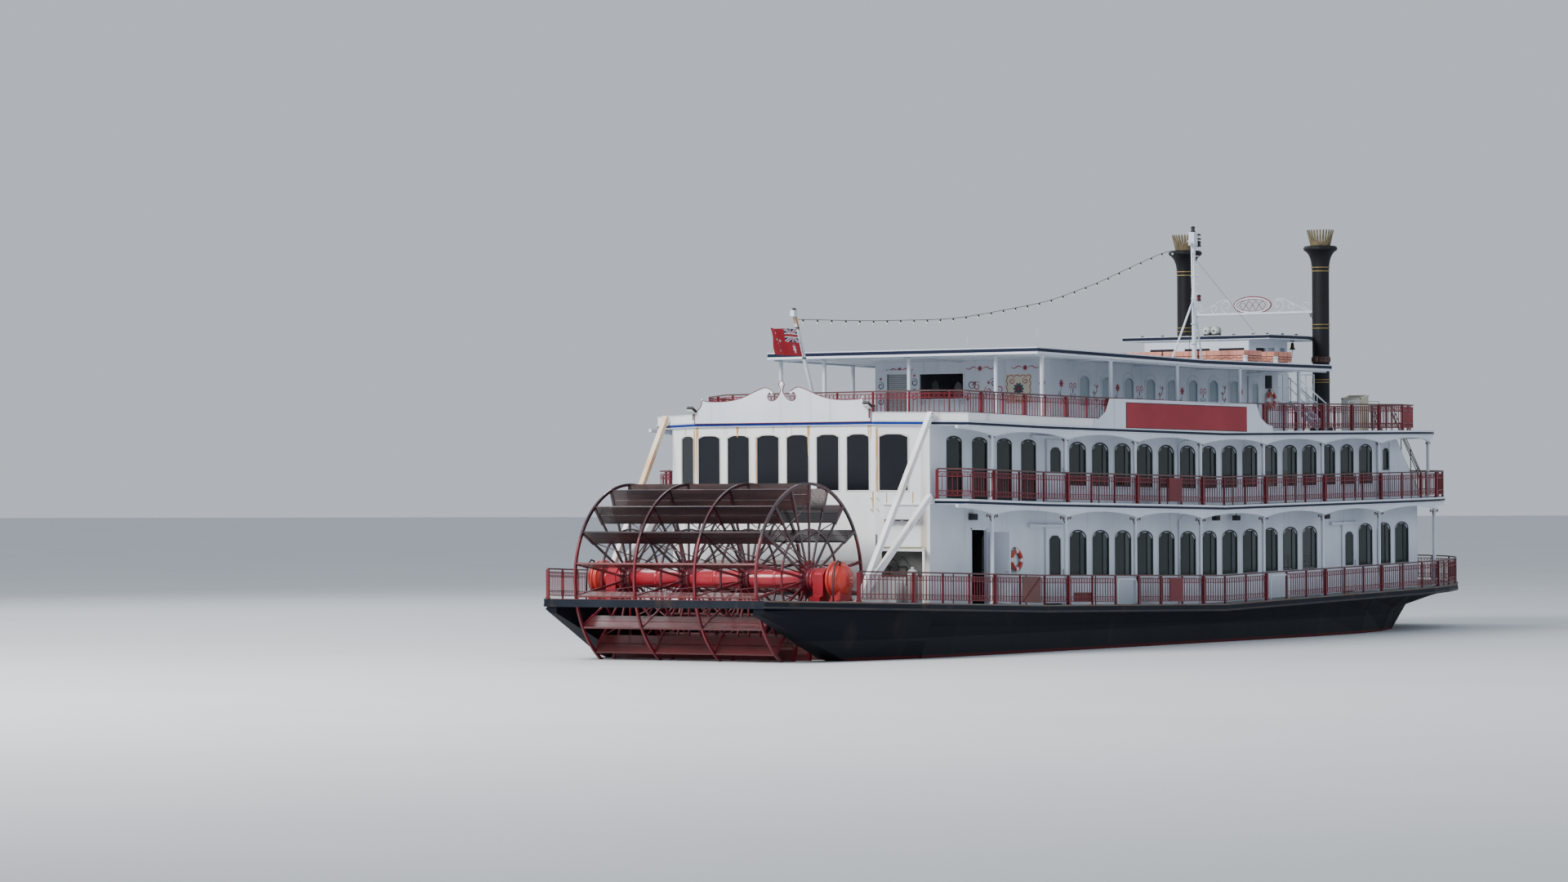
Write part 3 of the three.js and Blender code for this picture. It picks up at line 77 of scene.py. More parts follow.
# ---------------------------------------------------------------- mesh building
class Bag:
    """Gathers verts and faces in full-size metres and makes one mesh of them in the model's frame."""

    def __init__(self, sheared=True, rise=None):
        self.v, self.f, self.m, self.s, self.sheared, self.rise = [], [], [], [], sheared, rise

    def put(self, verts, faces, mat=0, smooth=False):
        o = len(self.v)
        for x, y, z in verts:
            if self.rise:
                z = z + self.rise(x)
            if self.sheared:
                z = z + lift(x, z)
            self.v.append(((x - X_MID) * K, y * K, z * K))
        for f in faces:
            self.f.append([o + i for i in f])
            self.m.append(mat)
            self.s.append(smooth)

    def loops(self, rings, mat=0, smooth=False, closed=False, caps=True):
        n, verts, faces = len(rings[0]), [p for r in rings for p in r], []
        m = len(rings)
        for i in range(m if closed else m - 1):
            for j in range(n):
                a, b = i * n + j, i * n + (j + 1) % n
                c, d = ((i + 1) % m) * n + (j + 1) % n, ((i + 1) % m) * n + j
                faces.append((a, b, c, d))
        o = len(faces)
        if caps and not closed:
            faces += [tuple(range(n))[::-1], tuple(range((m - 1) * n, m * n))]
        self.put(verts, faces[:o], mat, smooth)
        if caps and not closed:
            base = len(self.v) - len(verts)
            for f in faces[o:]:
                self.f.append([base + i for i in f]); self.m.append(mat); self.s.append(False)

    def box(self, x0, x1, y0, y1, z0, z1, mat=0):
        xs = [x0] + [s for s in STATION if x0 + 1e-6 < s < x1 - 1e-6] + [x1] if self.sheared else [x0, x1]
        self.loops([[(x, y0, z0), (x, y1, z0), (x, y1, z1), (x, y0, z1)] for x in xs], mat)

    def beam(self, a, b, w, h, mat=0):
        A, B = Vector(a), Vector(b)
        d = (B - A).normalized()
        side = Vector((0, 0, 1)).cross(d)
        side = Vector((1, 0, 0)) if side.length < 1e-6 else side.normalized()
        up = d.cross(side).normalized()
        ring = lambda p: [tuple(p + side * (w / 2 * i) + up * (h / 2 * j)) for i, j in ((-1, -1), (1, -1), (1, 1), (-1, 1))]
        self.loops([ring(A), ring(B)], mat)

    def tube(self, pts, r, n=8, mat=0, closed=False, smooth=True):
        P = [Vector(p) for p in pts]
        rings, m = [], len(P)
        up = Vector((0, 0, 1))
        prev = None
        for i, p in enumerate(P):
            a, b = P[(i - 1) % m] if closed or i else P[0], P[(i + 1) % m] if closed or i + 1 < m else P[-1]
            d = (b - a).normalized()
            if prev is None:
                s = d.cross(up)
                s = d.cross(Vector((1, 0, 0))) if s.length < 1e-3 else s
                s.normalize()
            else:
                s = (prev - d * prev.dot(d)).normalized()
            prev = s
            t = d.cross(s)
            rr = r[i] if isinstance(r, (list, tuple)) else r
            rings.append([tuple(p + s * (rr * math.cos(2 * math.pi * k / n)) + t * (rr * math.sin(2 * math.pi * k / n))) for k in range(n)])
        self.loops(rings, mat, smooth, closed)

    def sweep(self, path, section, mat=0, closed=False, smooth=False):
        """section [(inboard offset, z)] is carried along a plan path."""
        pts = with_stations(path, closed) if self.sheared else path
        offs = {}
        for o, _ in section:
            if o not in offs:
                offs[o] = offset_line(pts, o, closed)
        rings = [[(offs[o][i][0], offs[o][i][1], z) for o, z in section] for i in range(len(pts))]
        self.loops(rings, mat, smooth, closed)

    def strip(self, path, w, z0, z1, mat=0, closed=False):
        self.sweep(path, [(-w / 2, z0), (w / 2, z0), (w / 2, z1), (-w / 2, z1)], mat, closed)

    def turned(self, profile, cx, cy, n=32, mat=0, axis="z", smooth=True):
        rings = []
        for k in range(n):
            a = 2 * math.pi * k / n
            c, s = math.cos(a), math.sin(a)
            if axis == "z":
                rings.append([(cx + r * c, cy + r * s, h) for r, h in profile])
            else:  # about Y through x = cx, z = cy
                rings.append([(cx + r * c, h, cy + r * s) for r, h in profile])
        m, verts, faces = len(profile), [p for r in rings for p in r], []
        for k in range(n):
            for j in range(m - 1):
                faces.append((k * m + j, k * m + j + 1, ((k + 1) % n) * m + j + 1, ((k + 1) % n) * m + j))
        self.put(verts, faces, mat, smooth)

    def plate(self, pts, normal_axis, a, b, mat=0):
        """flat outline extruded: axis y takes (x, z), axis x takes (y, z), axis z takes (x, y)."""
        place = {"y": lambda p, t: (p[0], t, p[1]), "x": lambda p, t: (t, p[0], p[1]), "z": lambda p, t: (p[0], p[1], t)}[normal_axis]
        n = len(pts)
        self.put([place(p, a) for p in pts] + [place(p, b) for p in pts],
                 [tuple(range(n))[::-1], tuple(range(n, 2 * n))] + [(i, (i + 1) % n, n + (i + 1) % n, n + i) for i in range(n)], mat)

    def frame(self, outer, inner, place, a, b, mat=0):
        n = len(outer)
        v = [place(p, a) for p in outer] + [place(p, b) for p in outer] + [place(p, a) for p in inner] + [place(p, b) for p in inner]
        f = []
        for i in range(n):
            j = (i + 1) % n
            f += [(i, j, n + j, n + i), (2 * n + j, 2 * n + i, 3 * n + i, 3 * n + j), (n + i, n + j, 3 * n + j, 3 * n + i), (j, i, 2 * n + i, 2 * n + j)]
        self.put(v, f, mat)

    def ball(self, c, r, mat=0, seg=6, rings=4, squash=1.0):
        v = [(c[0], c[1], c[2] + r * squash)]
        for i in range(1, rings):
            t = math.pi * i / rings
            v += [(c[0] + r * math.sin(t) * math.cos(2 * math.pi * k / seg), c[1] + r * math.sin(t) * math.sin(2 * math.pi * k / seg), c[2] + r * squash * math.cos(t)) for k in range(seg)]
        v.append((c[0], c[1], c[2] - r * squash))
        f = [(0, 1 + k, 1 + (k + 1) % seg) for k in range(seg)]
        for i in range(rings - 2):
            o = 1 + i * seg
            f += [(o + k, o + seg + k, o + seg + (k + 1) % seg, o + (k + 1) % seg) for k in range(seg)]
        o = 1 + (rings - 2) * seg
        f += [(o + (k + 1) % seg, o + k, len(v) - 1) for k in range(seg)]
        self.put(v, f, mat, True)

    def make(self, name, mats, body="boat", slot=None, bevel=0, recalc=True):
        me = bpy.data.meshes.new(name)
        me.from_pydata(self.v, [], self.f)
        for m in mats:
            me.materials.append(m)
        me.polygons.foreach_set("material_index", self.m)
        me.polygons.foreach_set("use_smooth", self.s)
        if recalc:
            bm = bmesh.new()
            bm.from_mesh(me)
            bmesh.ops.recalc_face_normals(bm, faces=bm.faces)
            bm.to_mesh(me)
            bm.free()
        me.update()
        ob = bpy.data.objects.new(name, me)
        bpy.context.scene.collection.objects.link(ob)
        if bevel:
            mod = ob.modifiers.new("bevel", "BEVEL")
            mod.width, mod.segments, mod.limit_method, mod.angle_limit = bevel, 2, "ANGLE", math.radians(40)
        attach(ob, body)
        return ob


def with_stations(path, closed=False):
    out, n = [], len(path)
    for i in range(n if closed else n - 1):
        a, b = path[i], path[(i + 1) % n]
        out.append(a)
        cuts = sorted([(s - a[0]) / (b[0] - a[0]) for s in STATION if min(a[0], b[0]) + 1e-6 < s < max(a[0], b[0]) - 1e-6]) if abs(b[0] - a[0]) > 1e-6 else []
        out += [(a[0] + (b[0] - a[0]) * t, a[1] + (b[1] - a[1]) * t) for t in cuts]
    if not closed:
        out.append(path[-1])
    return out


def offset_line(path, d, closed=False):
    n, out = len(path), []
    unit = lambda a, b: ((b[0] - a[0]) / max(1e-9, math.dist(a, b)), (b[1] - a[1]) / max(1e-9, math.dist(a, b)))
    for i, p in enumerate(path):
        a = path[(i - 1) % n] if closed or i else None
        b = path[(i + 1) % n] if closed or i + 1 < n else None
        t1 = unit(a, p) if a is not None else unit(p, b)
        t2 = unit(p, b) if b is not None else t1
        n1, n2 = (-t1[1], t1[0]), (-t2[1], t2[0])
        k = d / max(0.4, 1 + n1[0] * n2[0] + n1[1] * n2[1])
        out.append((p[0] + (n1[0] + n2[0]) * k, p[1] + (n1[1] + n2[1]) * k))
    return out


def outline(half):
    """open line from aft starboard round the bow to aft port, going anticlockwise seen from above"""
    return [(x, -w) for x, w in half] + [(x, w) for x, w in reversed(half) if w > 0]


def arch(c, w, z0, z1, rise, n=10):
    pts = [(c - w / 2, z0), (c + w / 2, z0), (c + w / 2, z1 - rise)]
    pts += [(c + w / 2 * math.cos(math.pi * i / n), z1 - rise + rise * math.sin(math.pi * i / n)) for i in range(1, n)]
    return pts + [(c - w / 2, z1 - rise)]


def resample(path, step):
    """points about step apart along a path, each with its direction, starting and ending on its ends"""
    at = [0]
    for a, b in zip(path, path[1:]):
        at.append(at[-1] + math.dist(a, b))
    n = max(1, round(at[-1] / step))
    out, i = [], 0
    for k in range(n + 1):
        d = at[-1] * k / n
        while i + 2 < len(path) and at[i + 1] < d - 1e-9:
            i += 1
        t = (d - at[i]) / (at[i + 1] - at[i])
        a, b = path[i], path[i + 1]
        out.append((a[0] + (b[0] - a[0]) * t, a[1] + (b[1] - a[1]) * t, (b[0] - a[0]) / math.dist(a, b), (b[1] - a[1]) / math.dist(a, b)))
    return out


def smooth_line(pts, per=6):
    """Catmull-Rom through the points"""
    out, n = [], len(pts)
    for i in range(n - 1):
        p0, p1, p2, p3 = pts[max(i - 1, 0)], pts[i], pts[i + 1], pts[min(i + 2, n - 1)]
        for k in range(per):
            t = k / per
            out.append(tuple(0.5 * (2 * b + (c - a) * t + (2 * a - 5 * b + 4 * c - d) * t * t + (3 * b - a - 3 * c + d) * t ** 3) for a, b, c, d in zip(p0, p1, p2, p3)))
    return out + [pts[-1]]


# ---------------------------------------------------------------- materials
def srgb(r, g, b):
    lin = lambda c: c / 12.92 if c <= 0.04045 else ((c + 0.055) / 1.055) ** 2.4
    return (lin(r / 255), lin(g / 255), lin(b / 255), 1)


def mat(name, color, rough=0.45, metal=0.0, second=None, amount=0.35, scale=1.2, stretch=(1, 1, 1), streak=None, streak_amount=0.0, streak_scale=(9, 9, 0.35), bump=0.15, bump_scale=30.0, top=None, grime=None, alpha=None, coat=0.0, spec=None, below=()):
    """Paint with two tones, streaks that run down, another colour on faces that look up, bands below a height, and fine bump."""
    m = bpy.data.materials.new(name)
    m.use_nodes = True
    nt = m.node_tree
    N, L = nt.nodes, nt.links
    sh = N["Principled BSDF"]
    tc = N.new("ShaderNodeTexCoord")
    mp = N.new("ShaderNodeMapping")
    mp.inputs["Scale"].default_value = stretch
    L.new(tc.outputs["Object"], mp.inputs["Vector"])
    n1 = N.new("ShaderNodeTexNoise")
    n1.inputs["Scale"].default_value = scale
    n1.inputs["Detail"].default_value = 6
    L.new(mp.outputs["Vector"], n1.inputs["Vector"])
    ramp = N.new("ShaderNodeValToRGB")
    ramp.color_ramp.elements[0].position, ramp.color_ramp.elements[1].position = 0.36, 0.68
    ramp.color_ramp.elements[0].color = color
    s = second or tuple(c * 0.82 for c in color[:3]) + (1,)
    ramp.color_ramp.elements[1].color = tuple(color[i] * (1 - amount) + s[i] * amount for i in range(3)) + (1,)
    L.new(n1.outputs["Fac"], ramp.inputs["Fac"])
    out = ramp.outputs["Color"]

    def over(below, col, fac):
        mix = N.new("ShaderNodeMix")
        mix.data_type = "RGBA"
        L.new(below, mix.inputs[6])
        mix.inputs[7].default_value = col
        L.new(fac, mix.inputs[0])
        return mix.outputs[2]

    def stepped(sock, lo, hi, top_value=1.0):
        r = N.new("ShaderNodeMapRange")
        r.inputs["From Min"].default_value, r.inputs["From Max"].default_value = lo, hi
        r.inputs["To Max"].default_value = top_value
        L.new(sock, r.inputs["Value"])
        return r.outputs["Result"]

    if below:
        hz = N.new("ShaderNodeSeparateXYZ")
        L.new(tc.outputs["Object"], hz.inputs["Vector"])
        for h, col in below:
            out = over(out, col, stepped(hz.outputs["Z"], h + 0.006, h - 0.006))
    if streak:
        m2 = N.new("ShaderNodeMapping")
        m2.inputs["Scale"].default_value = streak_scale
        L.new(tc.outputs["Object"], m2.inputs["Vector"])
        n2 = N.new("ShaderNodeTexNoise")
        n2.inputs["Scale"].default_value = 1.0
        n2.inputs["Detail"].default_value = 5
        L.new(m2.outputs["Vector"], n2.inputs["Vector"])
        out = over(out, streak, stepped(n2.outputs["Fac"], 0.60, 0.78, streak_amount))
    if grime:
        n4 = N.new("ShaderNodeTexNoise")
        n4.inputs["Scale"].default_value = 5.0
        n4.inputs["Detail"].default_value = 8
        L.new(tc.outputs["Object"], n4.inputs["Vector"])
        out = over(out, grime, stepped(n4.outputs["Fac"], 0.55, 0.8, 0.5))
    if top:
        ge = N.new("ShaderNodeNewGeometry")
        sx = N.new("ShaderNodeSeparateXYZ")
        L.new(ge.outputs["Normal"], sx.inputs["Vector"])
        out = over(out, top, stepped(sx.outputs["Z"], 0.6, 0.8))
    L.new(out, sh.inputs["Base Color"])
    n3 = N.new("ShaderNodeTexNoise")
    n3.inputs["Scale"].default_value = bump_scale
    n3.inputs["Detail"].default_value = 4
    L.new(tc.outputs["Object"], n3.inputs["Vector"])
    bp = N.new("ShaderNodeBump")
    bp.inputs["Strength"].default_value = bump
    bp.inputs["Distance"].default_value = 0.004
    L.new(n3.outputs["Fac"], bp.inputs["Height"])
    L.new(bp.outputs["Normal"], sh.inputs["Normal"])
    rr = N.new("ShaderNodeMapRange")
    rr.inputs["To Min"].default_value, rr.inputs["To Max"].default_value = max(0.02, rough - 0.08), min(1, rough + 0.12)
    L.new(n1.outputs["Fac"], rr.inputs["Value"])
    L.new(rr.outputs["Result"], sh.inputs["Roughness"])
    sh.inputs["Metallic"].default_value = metal
    if coat:
        sh.inputs["Coat Weight"].default_value = coat
    if alpha is not None:
        sh.inputs["Alpha"].default_value = alpha
        m.surface_render_method = "BLENDED" if hasattr(m, "surface_render_method") else m.surface_render_method
    if spec is not None:
        sh.inputs["Specular IOR Level"].default_value = spec
    return m


WHITE = mat("white_paint", srgb(212, 218, 228), 0.46, spec=0.3, second=srgb(192, 200, 212), amount=0.6, streak=srgb(150, 128, 92), streak_amount=0.35)
WHITE_STERN = mat("stern_white_paint", srgb(234, 236, 238), 0.42, second=srgb(214, 217, 220), amount=0.6, streak=srgb(176, 138, 84), streak_amount=0.75, streak_scale=(3, 5.5, 0.16))
WHITE_DECK = mat("white_sides_grey_top", srgb(224, 229, 236), 0.5, second=srgb(198, 206, 216), amount=0.6, streak=srgb(160, 128, 84), streak_amount=0.5, streak_scale=(3.5, 3.5, 0.3), top=srgb(150, 156, 160))
GUARD = mat("guard_paint", srgb(10, 16, 28), 0.6, spec=0.2, second=srgb(26, 32, 42), amount=0.8, streak=srgb(92, 66, 48), streak_amount=0.5, streak_scale=(2.5, 2.5, 1.0), top=srgb(112, 120, 118))
HULL = mat("hull_paint", srgb(4, 9, 20), 0.6, spec=0.15, second=srgb(10, 15, 25), amount=0.8, streak=srgb(70, 62, 54), streak_amount=0.3, streak_scale=(1.6, 1.6, 0.5), bump=0.3, bump_scale=9, below=((0.33, srgb(24, 28, 33)), (0.05, srgb(74, 26, 28))))
NAVY = mat("stripe_paint", srgb(10, 24, 52), 0.5, spec=0.25, second=srgb(8, 20, 42), amount=0.6)
MAROON = mat("maroon_paint", srgb(112, 18, 32), 0.42, second=srgb(78, 14, 26), amount=0.7, streak=srgb(70, 40, 34), streak_amount=0.5, streak_scale=(6, 6, 6))
MAROON_WHEEL = mat("wheel_paint", srgb(92, 18, 28), 0.42, second=srgb(46, 12, 18), amount=0.85, streak=srgb(28, 14, 15), streak_amount=0.7, streak_scale=(4, 4, 4), bump=0.5)
RAIL_CAP = mat("rail_cap_paint", srgb(74, 56, 56), 0.5, second=srgb(104, 52, 52), amount=0.8)
RED = mat("red_paint", srgb(160, 20, 36), 0.32, second=srgb(112, 16, 28), amount=0.7, coat=0.3)
SIGN_RED = mat("panel_red_paint", srgb(150, 20, 38), 0.5, second=srgb(128, 18, 34), amount=0.6)
CREAM = mat("cream_line_paint", srgb(222, 214, 200), 0.5)
ORANGE = mat("motor_paint", srgb(186, 44, 30), 0.45, second=srgb(140, 32, 30), amount=0.7, streak=srgb(90, 40, 30), streak_amount=0.6, streak_scale=(5, 5, 5), coat=0.2)
BLACK = mat("stack_paint", srgb(12, 14, 19), 0.55, spec=0.25, second=srgb(28, 29, 34), amount=0.7, streak=srgb(80, 76, 72), streak_amount=0.3)
GOLD = mat("gilt", srgb(150, 130, 84), 0.45, metal=0.45, second=srgb(112, 96, 62), amount=0.8)
BRONZE = mat("bell_bronze", srgb(70, 58, 42), 0.4, metal=0.8)
WOOD = mat("wet_boards", srgb(26, 18, 21), 0.34, second=srgb(58, 24, 29), amount=0.85, scale=2.2, stretch=(2, 0.35, 2), bump=0.8, bump_scale=24, grime=srgb(12, 10, 12))
STEEL = mat("dull_steel", srgb(128, 132, 136), 0.5, metal=0.6, second=srgb(104, 100, 94), amount=0.8)
DARK = mat("dark_fittings", srgb(34, 36, 42), 0.5, second=srgb(22, 24, 28), amount=0.6)
FLOAT = mat("float_covers", srgb(214, 152, 134), 0.85, second=srgb(190, 122, 104), amount=0.8, scale=5, bump=0.6)
RUST = mat("rusty_strut_paint", srgb(230, 216, 192), 0.6, second=srgb(204, 134, 62), amount=0.85, scale=2.6, stretch=(1, 1, 0.35), streak=srgb(186, 104, 40), streak_amount=0.9, streak_scale=(3, 3, 0.8), below=((2.75, srgb(226, 228, 228)),))
GREY = mat("equipment_grey", srgb(176, 182, 184), 0.55, second=srgb(150, 152, 148), amount=0.7, streak=srgb(140, 110, 80), streak_amount=0.4)
BEIGE = mat("equipment_beige", srgb(200, 196, 176), 0.6, second=srgb(176, 168, 146), amount=0.7)
BULB = mat("bulb_glass", srgb(206, 226, 206), 0.2, bump=0.0, spec=0.8)
CORD = mat("string_cable", srgb(40, 40, 44), 0.6, bump=0.1)
RING = mat("life_ring_red", srgb(190, 62, 52), 0.6, second=srgb(160, 60, 50), amount=0.7)
GLASS = mat("window_glass", srgb(22, 31, 31), 0.12, second=srgb(40, 51, 48), amount=0.9, scale=0.5, bump=0.02, alpha=0.78, spec=0.4)
GLASS_DARK = mat("dark_window_glass", srgb(11, 14, 21), 0.16, second=srgb(20, 23, 30), amount=0.8, scale=0.6, bump=0.02, alpha=0.95, spec=0.6)
FLAG_RED = mat("flag_red", srgb(178, 38, 50), 0.85, second=srgb(150, 34, 46), amount=0.6, bump=0.4, bump_scale=160)
FLAG_WHITE = mat("flag_white", srgb(226, 222, 224), 0.85, bump=0.4, bump_scale=160)
FLAG_BLUE = mat("flag_blue", srgb(42, 46, 92), 0.85, bump=0.4, bump_scale=160)
CARPET = mat("saloon_floor", srgb(84, 52, 46), 0.9, second=srgb(64, 44, 42), amount=0.7)

CAD_MATS = {
    "hull": HULL, "main_deck": GUARD, "upper_deck": WHITE_DECK, "promenade_deck": WHITE_DECK,
    "main_rail": RAIL_CAP, "upper_rail": RAIL_CAP, "top_rail": RAIL_CAP, "stern_wall": WHITE_STERN,
    "paddle_wheel": MAROON_WHEEL, "wheel_shaft": RED, "bearing_port": RED, "bearing_starboard": RED,
    "drive_motor_port": ORANGE, "drive_motor_starboard": ORANGE, "rudder_port": DARK, "rudder_starboard": DARK,
    "stack_port": BLACK, "stack_starboard": BLACK, "crown_port": GOLD, "crown_starboard": GOLD,
    "aft_bulwark": WHITE_STERN, "engine_block": STEEL, "bow_stairs_port": GREY, "bow_stairs_starboard": GREY,
    "float_rack_port": FLOAT, "float_rack_starboard": FLOAT, "flag": FLAG_RED, "stern_struts_port": RUST,
    "canopy": WHITE_DECK, "wheelhouse_roof": WHITE_DECK, "stern_struts_starboard": WHITE_STERN,
}
for name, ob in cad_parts.items():
    ob.data.materials.clear()
    ob.data.materials.append(CAD_MATS.get(name, WHITE))

# ---------------------------------------------------------------- camera
SENSOR, FOCAL_PX = 36.0, 6022.18
YAW, PITCH, ROLL = math.radians(33.707), math.radians(0.621), math.radians(-0.268)
cam_data = bpy.data.cameras.new("photo_camera")
cam_data.sensor_width, cam_data.lens = SENSOR, SENSOR * FOCAL_PX / 1920
cam_data.clip_end = 2000
cam = bpy.data.objects.new("photo_camera", cam_data)
bpy.context.scene.collection.objects.link(cam)
F = Vector((math.cos(YAW) * math.cos(PITCH), math.sin(YAW) * math.cos(PITCH), math.sin(PITCH)))
R0 = Vector((math.sin(YAW), -math.cos(YAW), 0))
U0 = R0.cross(F)
R = R0 * math.cos(ROLL) + U0 * math.sin(ROLL)
U = -R0 * math.sin(ROLL) + U0 * math.cos(ROLL)
cam.matrix_world = Matrix(((R.x, U.x, -F.x, (-128.904 - X_MID) * K), (R.y, U.y, -F.y, -88.511 * K), (R.z, U.z, -F.z, 5.233 * K), (0, 0, 0, 1)))
bpy.context.scene.camera = cam

# ---------------------------------------------------------------- deck edges
SIDES = ((-1, "starboard"), (1, "port"))
prom_line, upper_line, roof_line = outline(PROM_PLAN), outline(UPPER_PLAN), outline(WH_ROOF_PLAN)
canopy_line = [(CANOPY["x0"], -CANOPY["hw"]), (CANOPY["x1"], -CANOPY["hw"]), (CANOPY["x1"], CANOPY["hw"]), (CANOPY["x0"], CANOPY["hw"])]


def band(b, path, z0, z1, m=0, closed=False, proud=0.012):
    b.sweep(path, [(-proud, z0), (0.03, z0), (0.03, z1), (-proud, z1)], m, closed)


b = Bag()
band(b, prom_line[1:-1], 7.215, 7.292)
band(b, upper_line, 4.625, 4.702)
b.rise = canopy_fall
band(b, canopy_line, 9.70, 9.805, closed=True)
b.rise = None
band(b, roof_line, 10.84, 10.945, closed=True)
# the stern's length of stripe takes a brighter blue than the navy along the sides: painted light for the stern facing
# the light, on the same paint
stern_stripe = [(4.6, 5.1), (3.70, 3.52), (3.70, -3.52), (4.6, -5.1)]
band(b, stern_stripe, 7.215, 7.292, 1)
b.make("edge_stripes", [NAVY, mat("stern_stripe_blue_painted_light", srgb(14, 44, 136), 0.5, spec=0.25, second=srgb(12, 34, 100), amount=0.5)], slot="stripe_blue")

b = Bag()
band(b, prom_line, 7.300, 7.362, closed=True, proud=0.026)
band(b, upper_line, 4.710, 4.772, proud=0.026)
b.rise = canopy_fall
band(b, canopy_line, 9.812, 9.845, closed=True, proud=0.02)
band(b, canopy_line, 9.617, 9.66, closed=True, proud=0.016)
b.rise = None
band(b, roof_line, 10.952, 10.975, closed=True, proud=0.02)
band(b, roof_line, 10.808, 10.832, closed=True, proud=0.012)
# capping of the low bulwark round the after deck
cap = [(14.3, -6.07), (5.3, -6.07), (4.6, -5.1), (3.70, -3.52), (3.70, 3.52), (4.6, 5.1), (5.3, 6.07), (14.3, 6.07)]
b.sweep(cap, [(-0.085, 7.595), (0.015, 7.595), (0.015, 7.62), (-0.085, 7.62)])
b.make("edge_mouldings", [WHITE])

# guard round the main deck: rubbing strake, scuffed top edge, and the red beam behind the wheel
b = Bag()
guard_line = outline(MAIN_PLAN)
b.sweep(guard_line, [(-0.02, 1.10), (0.02, 1.10), (0.02, 1.16), (-0.02, 1.16)], 0)
b.sweep(guard_line, [(-0.012, 1.30), (0.09, 1.30), (0.09, 1.347), (-0.012, 1.347)], 1)
b.make("guard_strakes", [mat("strake_paint", srgb(26, 32, 42), 0.6, second=srgb(70, 56, 46), amount=0.6, scale=3), mat("guard_top_paint", srgb(98, 96, 96), 0.7, second=srgb(104, 74, 52), amount=0.9, scale=2.4, streak=srgb(128, 74, 40), streak_amount=0.8, streak_scale=(3, 3, 1))])
b = Bag()
b.box(-3.62, -3.33, -3.95, 3.95, 1.336, 1.346)
b.make("wheel_beam_red_top", [mat("beam_red_paint", srgb(150, 58, 64), 0.25, second=srgb(186, 96, 98), amount=0.8, scale=1.5, bump=0.3)], slot="red_paint")

# ---------------------------------------------------------------- arcades: smooth valances and round columns in place of the plain ones
def side_half(plan):
    def at(x):
        for (x0, w0), (x1, w1) in zip(plan, plan[1:]):
            if x <= x1:
                return w0 + (w1 - w0) * (x - x0) / (x1 - x0)
        return 0
    return at


def arc_points(z_top, per=14, crown=0.10, foot=0.30):
    xs = [4.72] + COLUMN_X + [BOW_COLUMN_X]
    out = []
    for k in range(len(xs) - 1):
        for i in range(0 if k == 0 else 1, per + 1):
            t = i / per
            arc = 1 - t * t if k == 0 else 1 - (2 * t - 1) ** 2
            if k:  # the arches are flatter than a parabola
                arc = max(0, arc) ** 0.85
            out.append((xs[k] + (xs[k + 1] - xs[k]) * t, z_top - foot + (foot - crown) * arc))
    return out


